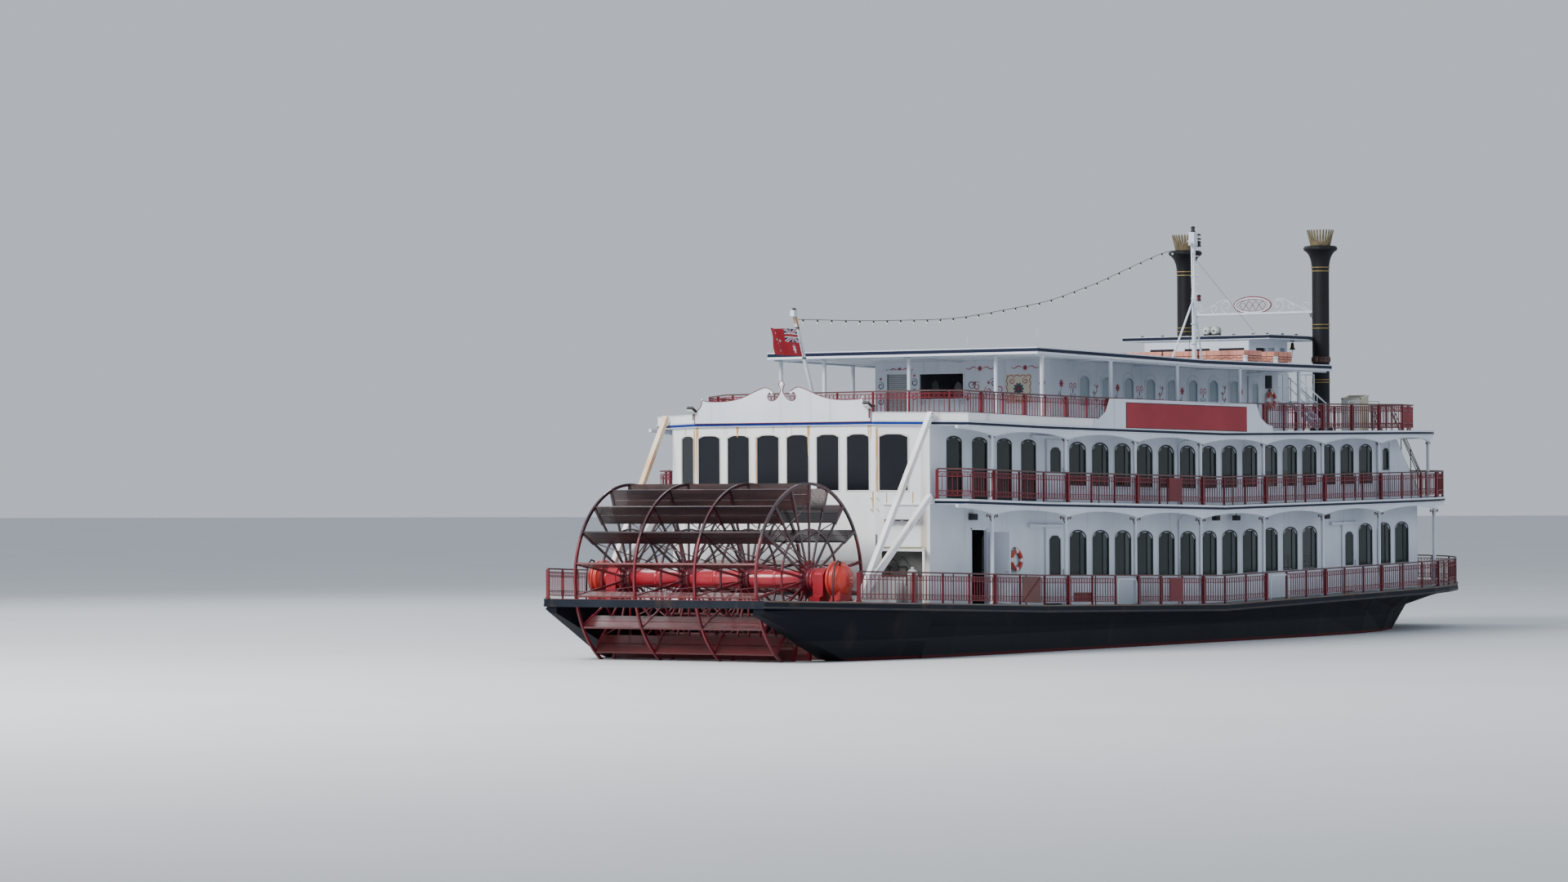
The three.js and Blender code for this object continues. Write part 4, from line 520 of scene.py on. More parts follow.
def arcade(name, node, z_top, z_floor, plan, bracket):
    at = side_half(plan)
    b = Bag()
    line = arc_points(z_top)
    for s, _ in SIDES:
        yc = lambda x: s * (at(x) - 0.085 if x > 36 else 6.07 - 0.085)
        pts = [(x, z) for x, z in line] + []
        out = sorted(set([p for p in pts] + [(x, None) for x in STATION if 4.72 < x < BOW_COLUMN_X]), key=lambda p: p[0])
        fixed = []
        for x, z in out:
            if z is None:
                i = max(j for j, p in enumerate(pts) if p[0] <= x)
                t = (x - pts[i][0]) / (pts[i + 1][0] - pts[i][0])
                z = pts[i][1] + (pts[i + 1][1] - pts[i][1]) * t
            fixed.append((x, z))
        b.loops([[(x, yc(x) - 0.05, z), (x, yc(x) + 0.05, z), (x, yc(x) + 0.05, z_top), (x, yc(x) - 0.05, z_top)] for x, z in fixed])
        b.loops([[(x, yc(x) - 0.055 if s < 0 else yc(x) + 0.03, z - 0.012), (x, yc(x) - 0.03 if s < 0 else yc(x) + 0.055, z - 0.012), (x, yc(x) - 0.03 if s < 0 else yc(x) + 0.055, z + 0.02), (x, yc(x) - 0.055 if s < 0 else yc(x) + 0.03, z + 0.02)] for x, z in fixed])
        for x in COLUMN_X + [BOW_COLUMN_X]:
            y = s * (COLUMN_Y if x < 36 else at(x) - 0.15)
            foot, head = z_floor + 0.002, z_top - 0.2
            b.turned([(0.0, foot), (0.09, foot), (0.09, foot + 0.05), (0.062, foot + 0.07), (0.062, head), (0.082, head + 0.02), (0.082, head + 0.07), (0.0, head + 0.07)], x, y, 12)
    bow = [(x, w) for x, w in plan if x > BOW_COLUMN_X]
    w0 = at(BOW_COLUMN_X)
    ring = [(BOW_COLUMN_X - 0.03, -w0)] + [(x, -w) for x, w in bow] + [(x, w) for x, w in reversed(bow) if w > 0] + [(BOW_COLUMN_X - 0.03, w0)]
    b.sweep(ring, [(0.035, z_top - 0.14), (0.135, z_top - 0.14), (0.135, z_top), (0.035, z_top)])
    ob = b.make(name, [WHITE], slot="white_paint")
    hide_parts(node)
    # bulbs along the lower edge of the arches
    lamps = Bag()
    for s, _ in SIDES:
        d = 0
        for (x0, z0), (x1, z1) in zip(line, line[1:]):
            step = math.dist((x0, z0), (x1, z1))
            while d < step:
                t = d / step
                x = x0 + (x1 - x0) * t
                y = s * ((at(x) if x > 36 else 6.07) - 0.028)
                lamps.ball((x, y, z0 + (z1 - z0) * t - 0.012), 0.019, seg=5, rings=3)
                d += 0.205
            d -= step
    lamps.make(name + "_bulbs", [BULB], slot="lamp_plastic")
    # scroll brackets at the heads of the columns
    br = Bag()
    for s, _ in SIDES:
        for x in COLUMN_X + [BOW_COLUMN_X]:
            y = s * (COLUMN_Y if x < 36 else at(x) - 0.15)
            for e in (-1, 1):
                q = bracket
                pts = [(x + e * (0.06 + q * u), y, z_top - 0.30 + q * v) for u, v in ((0.02, -0.9), (0.25, -0.5), (0.62, -0.12), (1.05, 0.02), (1.2, -0.18), (1.02, -0.33), (0.85, -0.2))]
                br.tube(smooth_line(pts, 3), 0.017, 5)
                pts = [(x + e * (0.06 + q * u), y, z_top - 0.30 + q * v) for u, v in ((0.02, -0.35), (0.3, -0.2), (0.42, -0.42), (0.25, -0.5))]
                br.tube(smooth_line(pts, 3), 0.014, 5)
    br.make(name + "_brackets", [mat(name + "_bracket_paint", srgb(84, 44, 50), 0.5)], slot="maroon_paint")


arcade("main_arcade", "main_colonnade", Z_UPPER - 0.17 - 0.001, Z_MAIN, UPPER_PLAN[1:], 0.24)
arcade("upper_arcade", "upper_colonnade", Z_PROM - 0.17 - 0.001, Z_UPPER, PROM_PLAN[1:], 0.11)

# ---------------------------------------------------------------- railings
main_full = offset_line(outline(MAIN_PLAN), 0.07)
n = len(MAIN_PLAN)
main_rail_line = main_full[2:n] + main_full[n:-1] + [(main_full[-1][0] + 0.12, main_full[-1][1] + 0.02)]
ur = [(4.74, 5.24), (5.33, 6.07), (36, 6.07), (38, 5.98), (40, 5.72), (41.5, 5.18), (43, 4.42), (44.4, 3.4), (45.3, 2.2), (45.8, 1.1), (46, 0)]
upper_rail_line = offset_line(outline(ur), 0.055)
aft = offset_line([(14.0, -6.07), (5.3, -6.07), (4.6, -5.1), (3.70, -3.52), (3.70, 3.52), (4.6, 5.1), (5.3, 6.07), (14.0, 6.07)], -0.115)[1:-1]
top_rail_line = [(39.3, -0.04), (39.3, -4.95), (36.4, -5.955)] + aft[:2] + [(5.5, 3.45), (7.2, 5.3), (8.4, 5.955), (36.4, 5.955), (39.3, 4.95), (39.3, 0.04)]


def along(path):
    at = [0]
    for a, c in zip(path, path[1:]):
        at.append(at[-1] + math.dist(a, c))
    def point(d):
        d = min(max(d, 0), at[-1])
        i = 0
        while i + 2 < len(path) and at[i + 1] < d:
            i += 1
        t = (d - at[i]) / (at[i + 1] - at[i])
        a, c = path[i], path[i + 1]
        L = math.dist(a, c)
        return (a[0] + (c[0] - a[0]) * t, a[1] + (c[1] - a[1]) * t), ((c[0] - a[0]) / L, (c[1] - a[1]) / L)
    return at, point


def rail_detail(name, path, z, heavy_x, skip=(), height=1.02, pitch=0.165, wrought=()):
    """posts, bands with rings, balusters; skip is a list of (side, x0, x1) left open for a panel or gate"""
    at, point = along(path)
    stops = {0.0: "heavy", at[-1]: "heavy"}
    for i, (a, c) in enumerate(zip(path, path[1:])):
        for x in heavy_x:
            if min(a[0], c[0]) <= x < max(a[0], c[0]) and abs(a[0] - c[0]) > 1e-6:
                stops[at[i] + (x - a[0]) / (c[0] - a[0]) * (at[i + 1] - at[i])] = "heavy"
    keys = sorted(stops)
    for a, c in zip(keys, keys[1:]):
        m = max(1, round((c - a) / 1.56))
        for k in range(1, m):
            stops[a + (c - a) * k / m] = "light"
    keys = sorted(stops)
    bars, posts, rings = Bag(), Bag(), Bag()

    def off(x, y):
        return any((y > 0) == (s > 0) and x0 < x < x1 for s, x0, x1 in skip)

    for d in keys:
        (x, y), (tx, ty) = point(d)
        w, t = (0.05, 0.045) if stops[d] == "heavy" else (0.026, 0.03)
        c = [(x + tx * w * i - ty * t * j, y + ty * w * i + tx * t * j) for i, j in ((-1, -1), (1, -1), (1, 1), (-1, 1))]
        posts.loops([[(px, py, h) for px, py in c] for h in (z - 0.02, z + height - 0.05)], caps=True)
        if stops[d] == "heavy":
            c = [(x + tx * 0.068 * i - ty * 0.06 * j, y + ty * 0.068 * i + tx * 0.06 * j) for i, j in ((-1, -1), (1, -1), (1, 1), (-1, 1))]
            posts.loops([[(px, py, h) for px, py in c] for h in (z + 0.003, z + 0.07)])
    for a, c in zip(keys, keys[1:]):
        (xm, ym), _ = point((a + c) / 2)
        if off(xm, ym):
            continue
        m = max(2, round((c - a) / pitch))
        mids = [p for p in at if a + 0.02 < p < c - 0.02]
        for h in (0.115, 0.275, 0.745, 0.895):
            ds = sorted([a, c] + mids + [at[0] + 0 for _ in ()])
            pts = [point(p)[0] for p in ds]
            bars.sweep(pts, [(-0.012, z + h - 0.013), (0.012, z + h - 0.013), (0.012, z + h + 0.013), (-0.012, z + h + 0.013)])
        fancy = any((ym > 0) == (s > 0) and x0 < xm < x1 for s, x0, x1 in wrought)
        for k in range(1, m):
            (x, y), (tx, ty) = point(a + (c - a) * k / m)
            r = 0.0105
            q = [(x + tx * r * i - ty * r * j, y + ty * r * i + tx * r * j) for i, j in ((-1, -1), (1, -1), (1, 1), (-1, 1))]
            z0, z1 = (z + 0.16, z + 0.85) if fancy and k % 2 else (z + 0.115, z + 0.895)
            bars.loops([[(px, py, h) for px, py in q] for h in (z0, z1)])
        for k in range(m):
            (x, y), (tx, ty) = point(a + (c - a) * (k + 0.5) / m)
            for zc in (z + 0.195, z + 0.82):
                R, t6 = 0.058, [2 * math.pi * i / 7 for i in range(7)]
                o = [(x + tx * R * math.cos(u), y + ty * R * math.cos(u), zc + R * math.sin(u)) for u in t6]
                i_ = [(x + tx * (R - 0.017) * math.cos(u), y + ty * (R - 0.017) * math.cos(u), zc + (R - 0.017) * math.sin(u)) for u in t6]
                rings.put(o + i_, [(j, (j + 1) % 7, 7 + (j + 1) % 7, 7 + j) for j in range(7)])
    posts.make(name + "_posts", [MAROON], slot="maroon_paint")
    bars.make(name + "_balusters", [MAROON], slot="maroon_paint")
    rings.make(name + "_rings", [MAROON], slot="maroon_paint", recalc=False)


GATES = [(-1, 14.85, 16.25), (1, 14.85, 16.25), (-1, 25.75, 27.2), (1, 25.75, 27.2)]
rail_detail("main_rail", main_rail_line, Z_MAIN, COLUMN_X + [2.2, 39.7], skip=GATES)
rail_detail("upper_rail", upper_rail_line, Z_UPPER, COLUMN_X + [39.7], wrought=((-1, 4.8, 6.2), (1, 4.8, 6.2)))
rail_detail("top_rail", top_rail_line, Z_PROM, [6.3, 9.0, 11.67, 14.4, 16.32, 20.89, 25.5, 30.01, 32.3, 34.49, 36.4], skip=((-1, 14.5, 25.4), (1, 14.5, 25.4)), height=1.0)

# notice panels and gate hoops, left blank
b = Bag()
for s, _ in SIDES:
    for zf, yo in ((Z_MAIN, 6.055), (Z_UPPER, 6.04)):
        y0, y1 = sorted((s * yo, s * (yo + 0.03)))
        b.box(18.4, 19.3, y0, y1, zf + 0.1, zf + 0.92, 0)
        b.box(18.46, 19.24, *sorted((s * (yo + 0.03), s * (yo + 0.034))), zf + 0.16, zf + 0.86, 1)
    y0, y1 = sorted((s * 6.055, s * 6.08))
    b.box(8.65, 9.79, y0, y1, Z_MAIN + 0.08, Z_MAIN + 0.95, 2)
    b.beam((8.7, s * 6.088, Z_MAIN + 0.12), (9.74, s * 6.088, Z_MAIN + 0.90), 0.02, 0.06, 0)
    b.box(12.05, 13.3, *sorted((s * 5.985, s * 6.0)), Z_MAIN + 0.12, Z_MAIN + 0.42, 2)
b.make("rail_panels", [MAROON, mat("notice_red_paint", srgb(106, 14, 28), 0.5, second=srgb(92, 14, 26), amount=0.6), mat("brown_panel_paint", srgb(104, 62, 58), 0.6, second=srgb(80, 48, 46), amount=0.7, scale=3)], slot="maroon_paint")
b = Bag()
for s, x0, x1 in GATES:
    y, z = s * 6.03, Z_MAIN
    pts = [(x0 + 0.05, y, z + 0.02), (x0 + 0.05, y, z + 0.72), (x0 + 0.09, y, z + 0.82), (x0 + 0.18, y, z + 0.87), (x1 - 0.18, y, z + 0.87), (x1 - 0.09, y, z + 0.82), (x1 - 0.05, y, z + 0.72), (x1 - 0.05, y, z + 0.02)]
    b.tube(pts, 0.026, 8)
b.make("gate_hoops", [WHITE], slot="white_paint")

# ---------------------------------------------------------------- windows
def head_at(c, w, z1, rise, x):
    u = min(1, abs((x - c) / (w / 2)))
    return z1 - rise + rise * math.sqrt(max(0, 1 - u * u))


def pane(c, w, z0, z1, rise, xa, xb, n=6):
    return [(xa, z0), (xb, z0)] + [(xb + (xa - xb) * i / n, head_at(c, w, z1, rise, xb + (xa - xb) * i / n)) for i in range(n + 1)]


def window(fr, gl, place, c, w, z0, z1, rise, face, out, proud=0.03, trim=0.04, inner=0.02, split=None, sill=True, glass=(0, 1), fm=0, ring=None, lap=0.016):
    """face is the wall's outer plane and out the sign away from the house; the frame laps the cut edge on both sides"""
    a, d = face - out * 0.045, face + out * proud
    if ring is not None:
        o = arch(c, w + 2 * trim + 0.09, z0 - trim - 0.04, z1 + trim + 0.045, rise + trim * 0.5 + 0.03)
        i = arch(c, w + 2 * trim, z0 - trim, z1 + trim, rise + trim * 0.5)
        fr.frame(o, i, place, *sorted((face, face + out * lap)), fm)
        d = face + out * lap * 0.6
    o = arch(c, w + 2 * trim, z0 - trim, z1 + trim, rise + trim * 0.5)
    i = arch(c, w - 2 * inner, z0 + inner * 0.7, z1 - inner * 0.6, rise * 0.94)
    fr.frame(o, i, place, min(a, d), max(a, d), fm if ring is None else ring)
    if sill:
        lo, hi = sorted((face, face + out * (proud + 0.02)))
        pts = [(c - w / 2 - trim - 0.02, z0 - trim - 0.03), (c + w / 2 + trim + 0.02, z0 - trim - 0.03), (c + w / 2 + trim + 0.02, z0 - trim + 0.01), (c - w / 2 - trim - 0.02, z0 - trim + 0.01)]
        fr.put([place(p, lo) for p in pts] + [place(p, hi) for p in pts], [(3, 2, 1, 0), (4, 5, 6, 7), (0, 1, 5, 4), (1, 2, 6, 5), (2, 3, 7, 6), (3, 0, 4, 7)], fm)
    g0, g1 = sorted((face - out * 0.030, face - out * 0.022))
    xa, xb = c - w / 2 + inner * 0.5, c + w / 2 - inner * 0.5
    cuts = [xa, xb] if split is None else [xa, c + split, xb]
    for k in range(len(cuts) - 1):
        p = pane(c, w - inner, z0 + 0.02, z1 - inner * 0.3, rise * 0.9, cuts[k], cuts[k + 1])
        n = len(p)
        gl.put([place(q, g0) for q in p] + [place(q, g1) for q in p], [tuple(range(n))[::-1], tuple(range(n, 2 * n))] + [(j, (j + 1) % n, n + (j + 1) % n, n + j) for j in range(n)], glass[k % 2])
    if split is not None:
        x = c + split
        zt = head_at(c, w - inner, z1 - inner * 0.3, rise * 0.9, x)
        lo, hi = sorted((face - out * 0.036, face - out * 0.004))
        pts = [(x - 0.014, z0 + 0.02), (x + 0.014, z0 + 0.02), (x + 0.014, zt), (x - 0.014, zt)]
        fr.put([place(q, lo) for q in pts] + [place(q, hi) for q in pts], [(3, 2, 1, 0), (4, 5, 6, 7), (0, 1, 5, 4), (1, 2, 6, 5), (2, 3, 7, 6), (3, 0, 4, 7)], fm if ring is None else ring)


# a lighter copy of the window glass: a painted reflection, used on one pane of each split window
GLASS_PAINTED_REFLECTION = mat("window_glass_painted_reflection", srgb(42, 52, 54), 0.14, second=srgb(74, 84, 84), amount=0.8, scale=0.7, bump=0.02, alpha=0.88, spec=0.4)
# pale bluish glass: a painted sky reflection
GLASS_PAINTED_SKY = mat("window_glass_painted_sky_reflection", srgb(126, 146, 160), 0.12, second=srgb(160, 176, 186), amount=0.8, scale=0.8, bump=0.02, alpha=0.85, spec=0.7)

GASKET = mat("window_rubber", srgb(30, 36, 38), 0.6, second=srgb(44, 50, 50), amount=0.5)
BAY_WINDOWS = [14.0 + 1.518 * i for i in range(12)]
MAIN_WINDOWS = [(x, 1.06, 2.33, 3.84, 0.26) for x in BAY_WINDOWS + [35.14, 36.64, 38.13]]
UPPER_WINDOWS = [(x, 0.88, 4.86, 6.84, 0.16) for x in (6.12, 7.70, 9.25, 10.81)] + [(x, 1.04, 5.40, 6.82, 0.26) for x in BAY_WINDOWS] + [(x, 0.98, 5.40, 6.82, 0.26) for x in (32.20, 33.68, 35.18)] + [(36.84, 0.42, 5.90, 6.66, 0.12)]
side = lambda p, t: (p[0], t, p[1])
cross = lambda p, t: (t, p[0], p[1])
for s, name in SIDES:
    fr, gl = Bag(), Bag()
    # the narrower forward pane of each split window takes the lighter glass, a painted reflection
    for c, w, z0, z1, r in MAIN_WINDOWS:
        window(fr, gl, side, c, w, z0, z1, r, s * 5.02, s, split=0.18, ring=1)
    for c, w, z0, z1, r in UPPER_WINDOWS:
        low = c < 11
        window(fr, gl, side, c, w, z0, z1, r, s * 5.02, s, trim=0.045, split=None if low or w < 0.5 else 0.2, sill=not low and w > 0.5, ring=1, lap=0.004 if 10 < c < 11 else 0.016)
    fr.make("side_window_frames_" + name, [WHITE, GASKET], slot="white_paint")
    gl.make("side_window_panes_" + name, [GLASS, GLASS_PAINTED_REFLECTION], slot="window_glass")

fr, gl = Bag(), Bag()
for x, z0, z1 in ((39.47, 2.33, 3.84), (37.2, 5.40, 6.82)):
    for c in (-3.6, -2.1, 2.1, 3.6):
        window(fr, gl, cross, c, 1.0, z0, z1, 0.26, x, 1, split=0.0, ring=1)
for x, z, head in ((39.47, Z_MAIN, 3.6), (37.2, Z_UPPER, 6.75)):
    o = [(-0.83, z + 0.01), (0.83, z + 0.01), (0.83, head + 0.08), (-0.83, head + 0.08)]
    i = [(-0.76, z + 0.012), (0.76, z + 0.012), (0.76, head + 0.005), (-0.76, head + 0.005)]
    for y0, y1, za, zb in ((-0.83, -0.75, z + 0.01, head), (0.75, 0.83, z + 0.01, head), (-0.83, 0.83, head, head + 0.08)):
        fr.box(x - 0.11, x + 0.025, y0, y1, za, zb)
fr.make("front_window_frames", [WHITE, GASKET], slot="white_paint")
gl.make("front_window_panes", [GLASS, GLASS_PAINTED_REFLECTION], slot="window_glass")

# stern: tall dark panes in thin pale frames
fr, gl = Bag(), Bag()
for k in range(6):
    c = (k - 2.5) * 1.16 + 0.05
    window(fr, gl, cross, c, 0.86, 5.04, 6.90, 0.1, 3.78, -1, proud=0.014, trim=0.035, inner=0.008, sill=False)
for s, _ in SIDES:
    L = math.hypot(0.87, 1.53)
    u, n = (0.87 / L, s * 1.53 / L), (-1.53 / L, s * 0.87 / L)
    place = lambda p, t, u=u, n=n, s=s: (4.215 + u[0] * p[0] + n[0] * t, s * 4.255 + u[1] * p[0] + n[1] * t, p[1])
    window(fr, gl, place, -0.28, 0.92, 5.04, 6.90, 0.1, 0.0, 1, proud=0.014, trim=0.035, inner=0.008, sill=False)
fr.make("stern_window_frames", [mat("stern_window_frame_paint", srgb(206, 208, 206), 0.5, second=srgb(196, 190, 172), amount=0.7, scale=3)], slot="white_paint")
gl.make("stern_window_panes", [GLASS_DARK], slot="window_glass")

# top house: pale bluish panes, their colour a painted sky reflection, and steering house lights
fr, gl = Bag(), Bag()
for s, _ in SIDES:
    for c in [17.1 + 1.53 * k for k in range(8)]:
        window(fr, gl, side, c, 0.72, 8.15, 9.22, 0.2, s * 3.5, s, proud=0.02, trim=0.03, inner=0.03, sill=True)
fr.make("top_house_window_frames", [WHITE], slot="white_paint")
gl.make("top_house_window_panes", [GLASS_PAINTED_SKY, GLASS_PAINTED_SKY], slot="window_glass")


def lights(fr, gl, place, face, out, a0, a1, z0, z1, bars=(), glass=0):
    t = 0.035
    lo, hi = sorted((face - out * 0.05, face + out * 0.012))
    o = [(a0 - 0.02, z0 - 0.02), (a1 + 0.02, z0 - 0.02), (a1 + 0.02, z1 + 0.02), (a0 - 0.02, z1 + 0.02)]
    i = [(a0 + t, z0 + t), (a1 - t, z0 + t), (a1 - t, z1 - t), (a0 + t, z1 - t)]
    fr.frame(o, i, place, lo, hi)
    for a in bars:
        pts = [(a - 0.015, z0), (a + 0.015, z0), (a + 0.015, z1), (a - 0.015, z1)]
        lo2, hi2 = sorted((face - out * 0.04, face))
        fr.put([place(q, lo2) for q in pts] + [place(q, hi2) for q in pts], [(3, 2, 1, 0), (4, 5, 6, 7), (0, 1, 5, 4), (1, 2, 6, 5), (2, 3, 7, 6), (3, 0, 4, 7)])
    g0, g1 = sorted((face - out * 0.034, face - out * 0.028))
    pts = [(a0 + 0.01, z0 + 0.01), (a1 - 0.01, z0 + 0.01), (a1 - 0.01, z1 - 0.01), (a0 + 0.01, z1 - 0.01)]
    gl.put([place(q, g0) for q in pts] + [place(q, g1) for q in pts], [(3, 2, 1, 0), (4, 5, 6, 7), (0, 1, 5, 4), (1, 2, 6, 5), (2, 3, 7, 6), (3, 0, 4, 7)], glass)


fr, gl = Bag(), Bag()
# front and side lights carry the painted sky reflection, the aft lights dark glass
for s, _ in SIDES:
    for c, w in ((33.12, 0.58), (34.0, 0.46)):
        lights(fr, gl, side, s * 2.2, s, c - w / 2, c + w / 2, 9.95, 10.55)
for c in (-1.45, -0.5, 0.5, 1.45):
    lights(fr, gl, cross, 34.4, 1, c - 0.38, c + 0.38, 9.75, 10.55)
for c, w in ((1.41, 1.16), (-0.04, 1.14), (-1.48, 1.14)):
    lights(fr, gl, cross, 31.38, -1, c - w / 2, c + w / 2, 10.0, 10.53, glass=1)
fr.make("steering_house_frames", [WHITE], slot="white_paint")
gl.make("steering_house_panes", [GLASS_PAINTED_SKY, GLASS_DARK], slot="window_glass")

# ---------------------------------------------------------------- doors: each detail rides on its leaf
DOOR_TRIM = mat("door_moulding_paint", srgb(206, 212, 222), 0.45, second=srgb(186, 194, 204), amount=0.6)
SLIDING = [("main_sliding_door", 12.39, 1.17, Z_MAIN, 3.90, 1.1), ("upper_sliding_door", 12.45, 1.10, Z_UPPER, 6.88, 1.0), ("forward_sliding_door", 33.72, 1.04, Z_MAIN, 3.82, 0.95)]
for s, name in SIDES:
    for d, x, w, zf, head, travel in SLIDING:
        k = slope(x - travel / 2, zf + 1.2, 1.2)
        dz = lift(x, zf + 1.2)
        place = lambda p, t, x=x, k=k, dz=dz: (p[0], t, p[1] + dz + k * (p[0] - x))
        face = s * 5.086
        b = Bag(sheared=False)
        hole = (x, w * 0.68, zf + 0.98, head - 0.22, 0.18)
        o = arch(hole[0], hole[1] + 0.06, hole[2] - 0.03, hole[3] + 0.03, hole[4] + 0.02)
        i = arch(hole[0], hole[1] - 0.03, hole[2] + 0.015, hole[3] - 0.015, hole[4] * 0.94)
        b.frame(o, i, place, *sorted((s * 5.045, face + s * 0.010)), 1)
        p = arch(hole[0], hole[1] - 0.02, hole[2] + 0.01, hole[3] - 0.01, hole[4])
        n = len(p)
        b.put([place(q, s * 5.058) for q in p] + [place(q, s * 5.064) for q in p], [tuple(range(n))[::-1], tuple(range(n, 2 * n))] + [(j, (j + 1) % n, n + (j + 1) % n, n + j) for j in range(n)], 2)
        xa, xb, za, zb = x - w / 2 + 0.14, x + w / 2 - 0.14, zf + 0.2, zf + 0.82
        b.frame([(xa, za), (xb, za), (xb, zb), (xa, zb)], [(xa + 0.03, za + 0.03), (xb - 0.03, za + 0.03), (xb - 0.03, zb - 0.03), (xa + 0.03, zb - 0.03)], place, *sorted((face, face + s * 0.008)), 1)
        hx = x + w / 2 - 0.09
        b.tube([place((hx, zf + 0.98), face + s * 0.004), place((hx, zf + 0.98), face + s * 0.03), place((hx, zf + 1.18), face + s * 0.03), place((hx, zf + 1.18), face + s * 0.004)], 0.011, 6, 3)
        b.make(d + "_detail_" + name, [WHITE, DOOR_TRIM, GLASS, STEEL], body=d + "_" + name, slot="white_paint")
    # top house door
    rise = lift(29.76, 9.35)
    cx = 29.305
    b = Bag(sheared=False)
    o = arch(cx, 0.52 + 0.06, 8.16 - 0.03, 9.20 + 0.03, 0.18)
    i = arch(cx, 0.52 - 0.07, 8.16 + 0.035, 9.20 - 0.03, 0.14)
    place = lambda p, t: (p[0], t, p[1] + rise)
    b.frame(o, i, place, *sorted((s * 3.53, s * 3.579)), 1)
    p = arch(cx, 0.50, 8.17, 9.19, 0.16)
    n = len(p)
    b.put([place(q, s * 3.541) for q in p] + [place(q, s * 3.546) for q in p], [tuple(range(n))[::-1], tuple(range(n, 2 * n))] + [(j, (j + 1) % n, n + (j + 1) % n, n + j) for j in range(n)], 2)
    b.frame([(28.93, 7.52), (29.68, 7.52), (29.68, 8.02), (28.93, 8.02)], [(28.96, 7.55), (29.65, 7.55), (29.65, 7.99), (28.96, 7.99)], place, *sorted((s * 3.57, s * 3.577)), 1)
    b.tube([place((28.90, 8.28), s * 3.575), place((28.90, 8.28), s * 3.60), place((28.99, 8.28), s * 3.60)], 0.010, 6, 3)
    b.make("top_house_door_detail_" + name, [WHITE, DOOR_TRIM, GLASS_PAINTED_SKY, STEEL], body="top_house_door_" + name, slot="white_paint")
    # crew door: standing open on starboard, shut on port
    z0, z1 = Z_MAIN + lift(8.12, Z_MAIN) + 0.05, 3.80 + lift(8.12, 3.80) - 0.05
    b = Bag(sheared=False)
    if s < 0:
        for e in (-1, 1):
            f0, f1 = sorted((8.10 + e * 0.025, 8.10 + e * 0.032))
            for za, zb in ((z0 + 0.14, z0 + 0.95), (z0 + 1.12, z1 - 0.16)):
                b.frame([(-5.86, za), (-5.15, za), (-5.15, zb), (-5.86, zb)], [(-5.83, za + 0.03), (-5.18, za + 0.03), (-5.18, zb - 0.03), (-5.83, zb - 0.03)], lambda p, t: (t, p[0], p[1]), f0, f1, 1)
            b.tube([(8.10 + e * 0.025, -5.86, z0 + 1.02), (8.10 + e * 0.05, -5.86, z0 + 1.02), (8.10 + e * 0.05, -5.77, z0 + 1.02)], 0.010, 6, 2)
    else:
        for za, zb in ((z0 + 0.14, z0 + 0.95), (z0 + 1.12, z1 - 0.16)):
            b.frame([(7.30, za), (8.02, za), (8.02, zb), (7.30, zb)], [(7.33, za + 0.03), (7.99, za + 0.03), (7.99, zb - 0.03), (7.33, zb - 0.03)], lambda p, t: (p[0], t, p[1]), 5.090, 5.097, 1)
        b.tube([(7.30, 5.09, z0 + 1.02), (7.30, 5.115, z0 + 1.02), (7.39, 5.115, z0 + 1.02)], 0.010, 6, 2)
    b.make("crew_door_detail_" + name, [WHITE, DOOR_TRIM, STEEL], body="crew_door_" + name, slot="white_paint")

# trims round the doorways, tracks and the wall panel aft of the crew door
b = Bag()
for s, _ in SIDES:
    for d, x, w, zf, head, travel in SLIDING:
        y0, y1 = sorted((s * 5.015, s * 5.026))
        for xa, xb, za, zb in ((x - w / 2 + 0.0, x - w / 2 + 0.06, zf + 0.02, head - 0.02), (x + w / 2 - 0.06, x + w / 2, zf + 0.02, head - 0.02)):
            b.box(xa, xb, y0, y1, za, zb)
        y0, y1 = sorted((s * 5.128, s * 5.14))
        b.box(x - w / 2 - travel, x + w / 2 + 0.04, y0, y1, head + 0.04, head + 0.14)
        for xx in (x - w / 2 - travel + 0.05, x - travel / 2, x + w / 2 - 0.05):
            b.box(xx - 0.03, xx + 0.03, *sorted((s * 5.01, s * 5.145)), head + 0.135, head + 0.16)
    for xa, xb in ((7.14, 7.20), (8.12, 8.16)):
        b.box(xa, xb, *sorted((s * 5.015, s * 5.026)), Z_MAIN + 0.02, 3.86)
    b.box(7.14, 8.16, *sorted((s * 5.015, s * 5.026)), 3.80, 3.86)
    for xa, xb in ((28.81, 28.87), (29.76, 29.80)):
        b.box(xa, xb, *sorted((s * 3.495, s * 3.505)), Z_PROM + 0.02, 9.40)
    b.box(28.77, 29.86, *sorted((s * 3.495, s * 3.60)), 9.47, 9.51)
    for xa in (8.30, 9.12):
        b.box(xa, xa + 0.02, *sorted((s * 5.018, s * 5.026)), Z_MAIN + 0.1, 4.3)
    b.box(8.30, 9.14, *sorted((s * 5.018, s * 5.026)), 4.28, 4.30)
for s, _ in SIDES:   # shut forward door of the upper deck
    for x0, x1, za, zb, t in ((36.06, 36.11, Z_UPPER + 0.02, 6.90, 0.05), (36.17, 36.21, Z_UPPER + 0.02, 6.90, 0.03), (37.10, 37.16, Z_UPPER + 0.02, 6.90, 0.045), (36.06, 37.16, 6.88, 6.94, 0.06), (36.30, 37.02, 5.02, 5.06, 0.02), (36.30, 37.02, 5.60, 5.64, 0.02), (36.30, 36.34, 5.06, 5.60, 0.02), (36.98, 37.02, 5.06, 5.60, 0.02)):
        b.box(x0, x1, *sorted((s * 5.021, s * (5.021 + t))), za, zb)
    b.tube([(36.32, s * 5.022, 5.76), (36.32, s * 5.06, 5.76), (36.32, s * 5.06, 5.98), (36.32, s * 5.022, 5.98)], 0.012, 6)
b.make("door_trims", [WHITE], slot="white_paint")

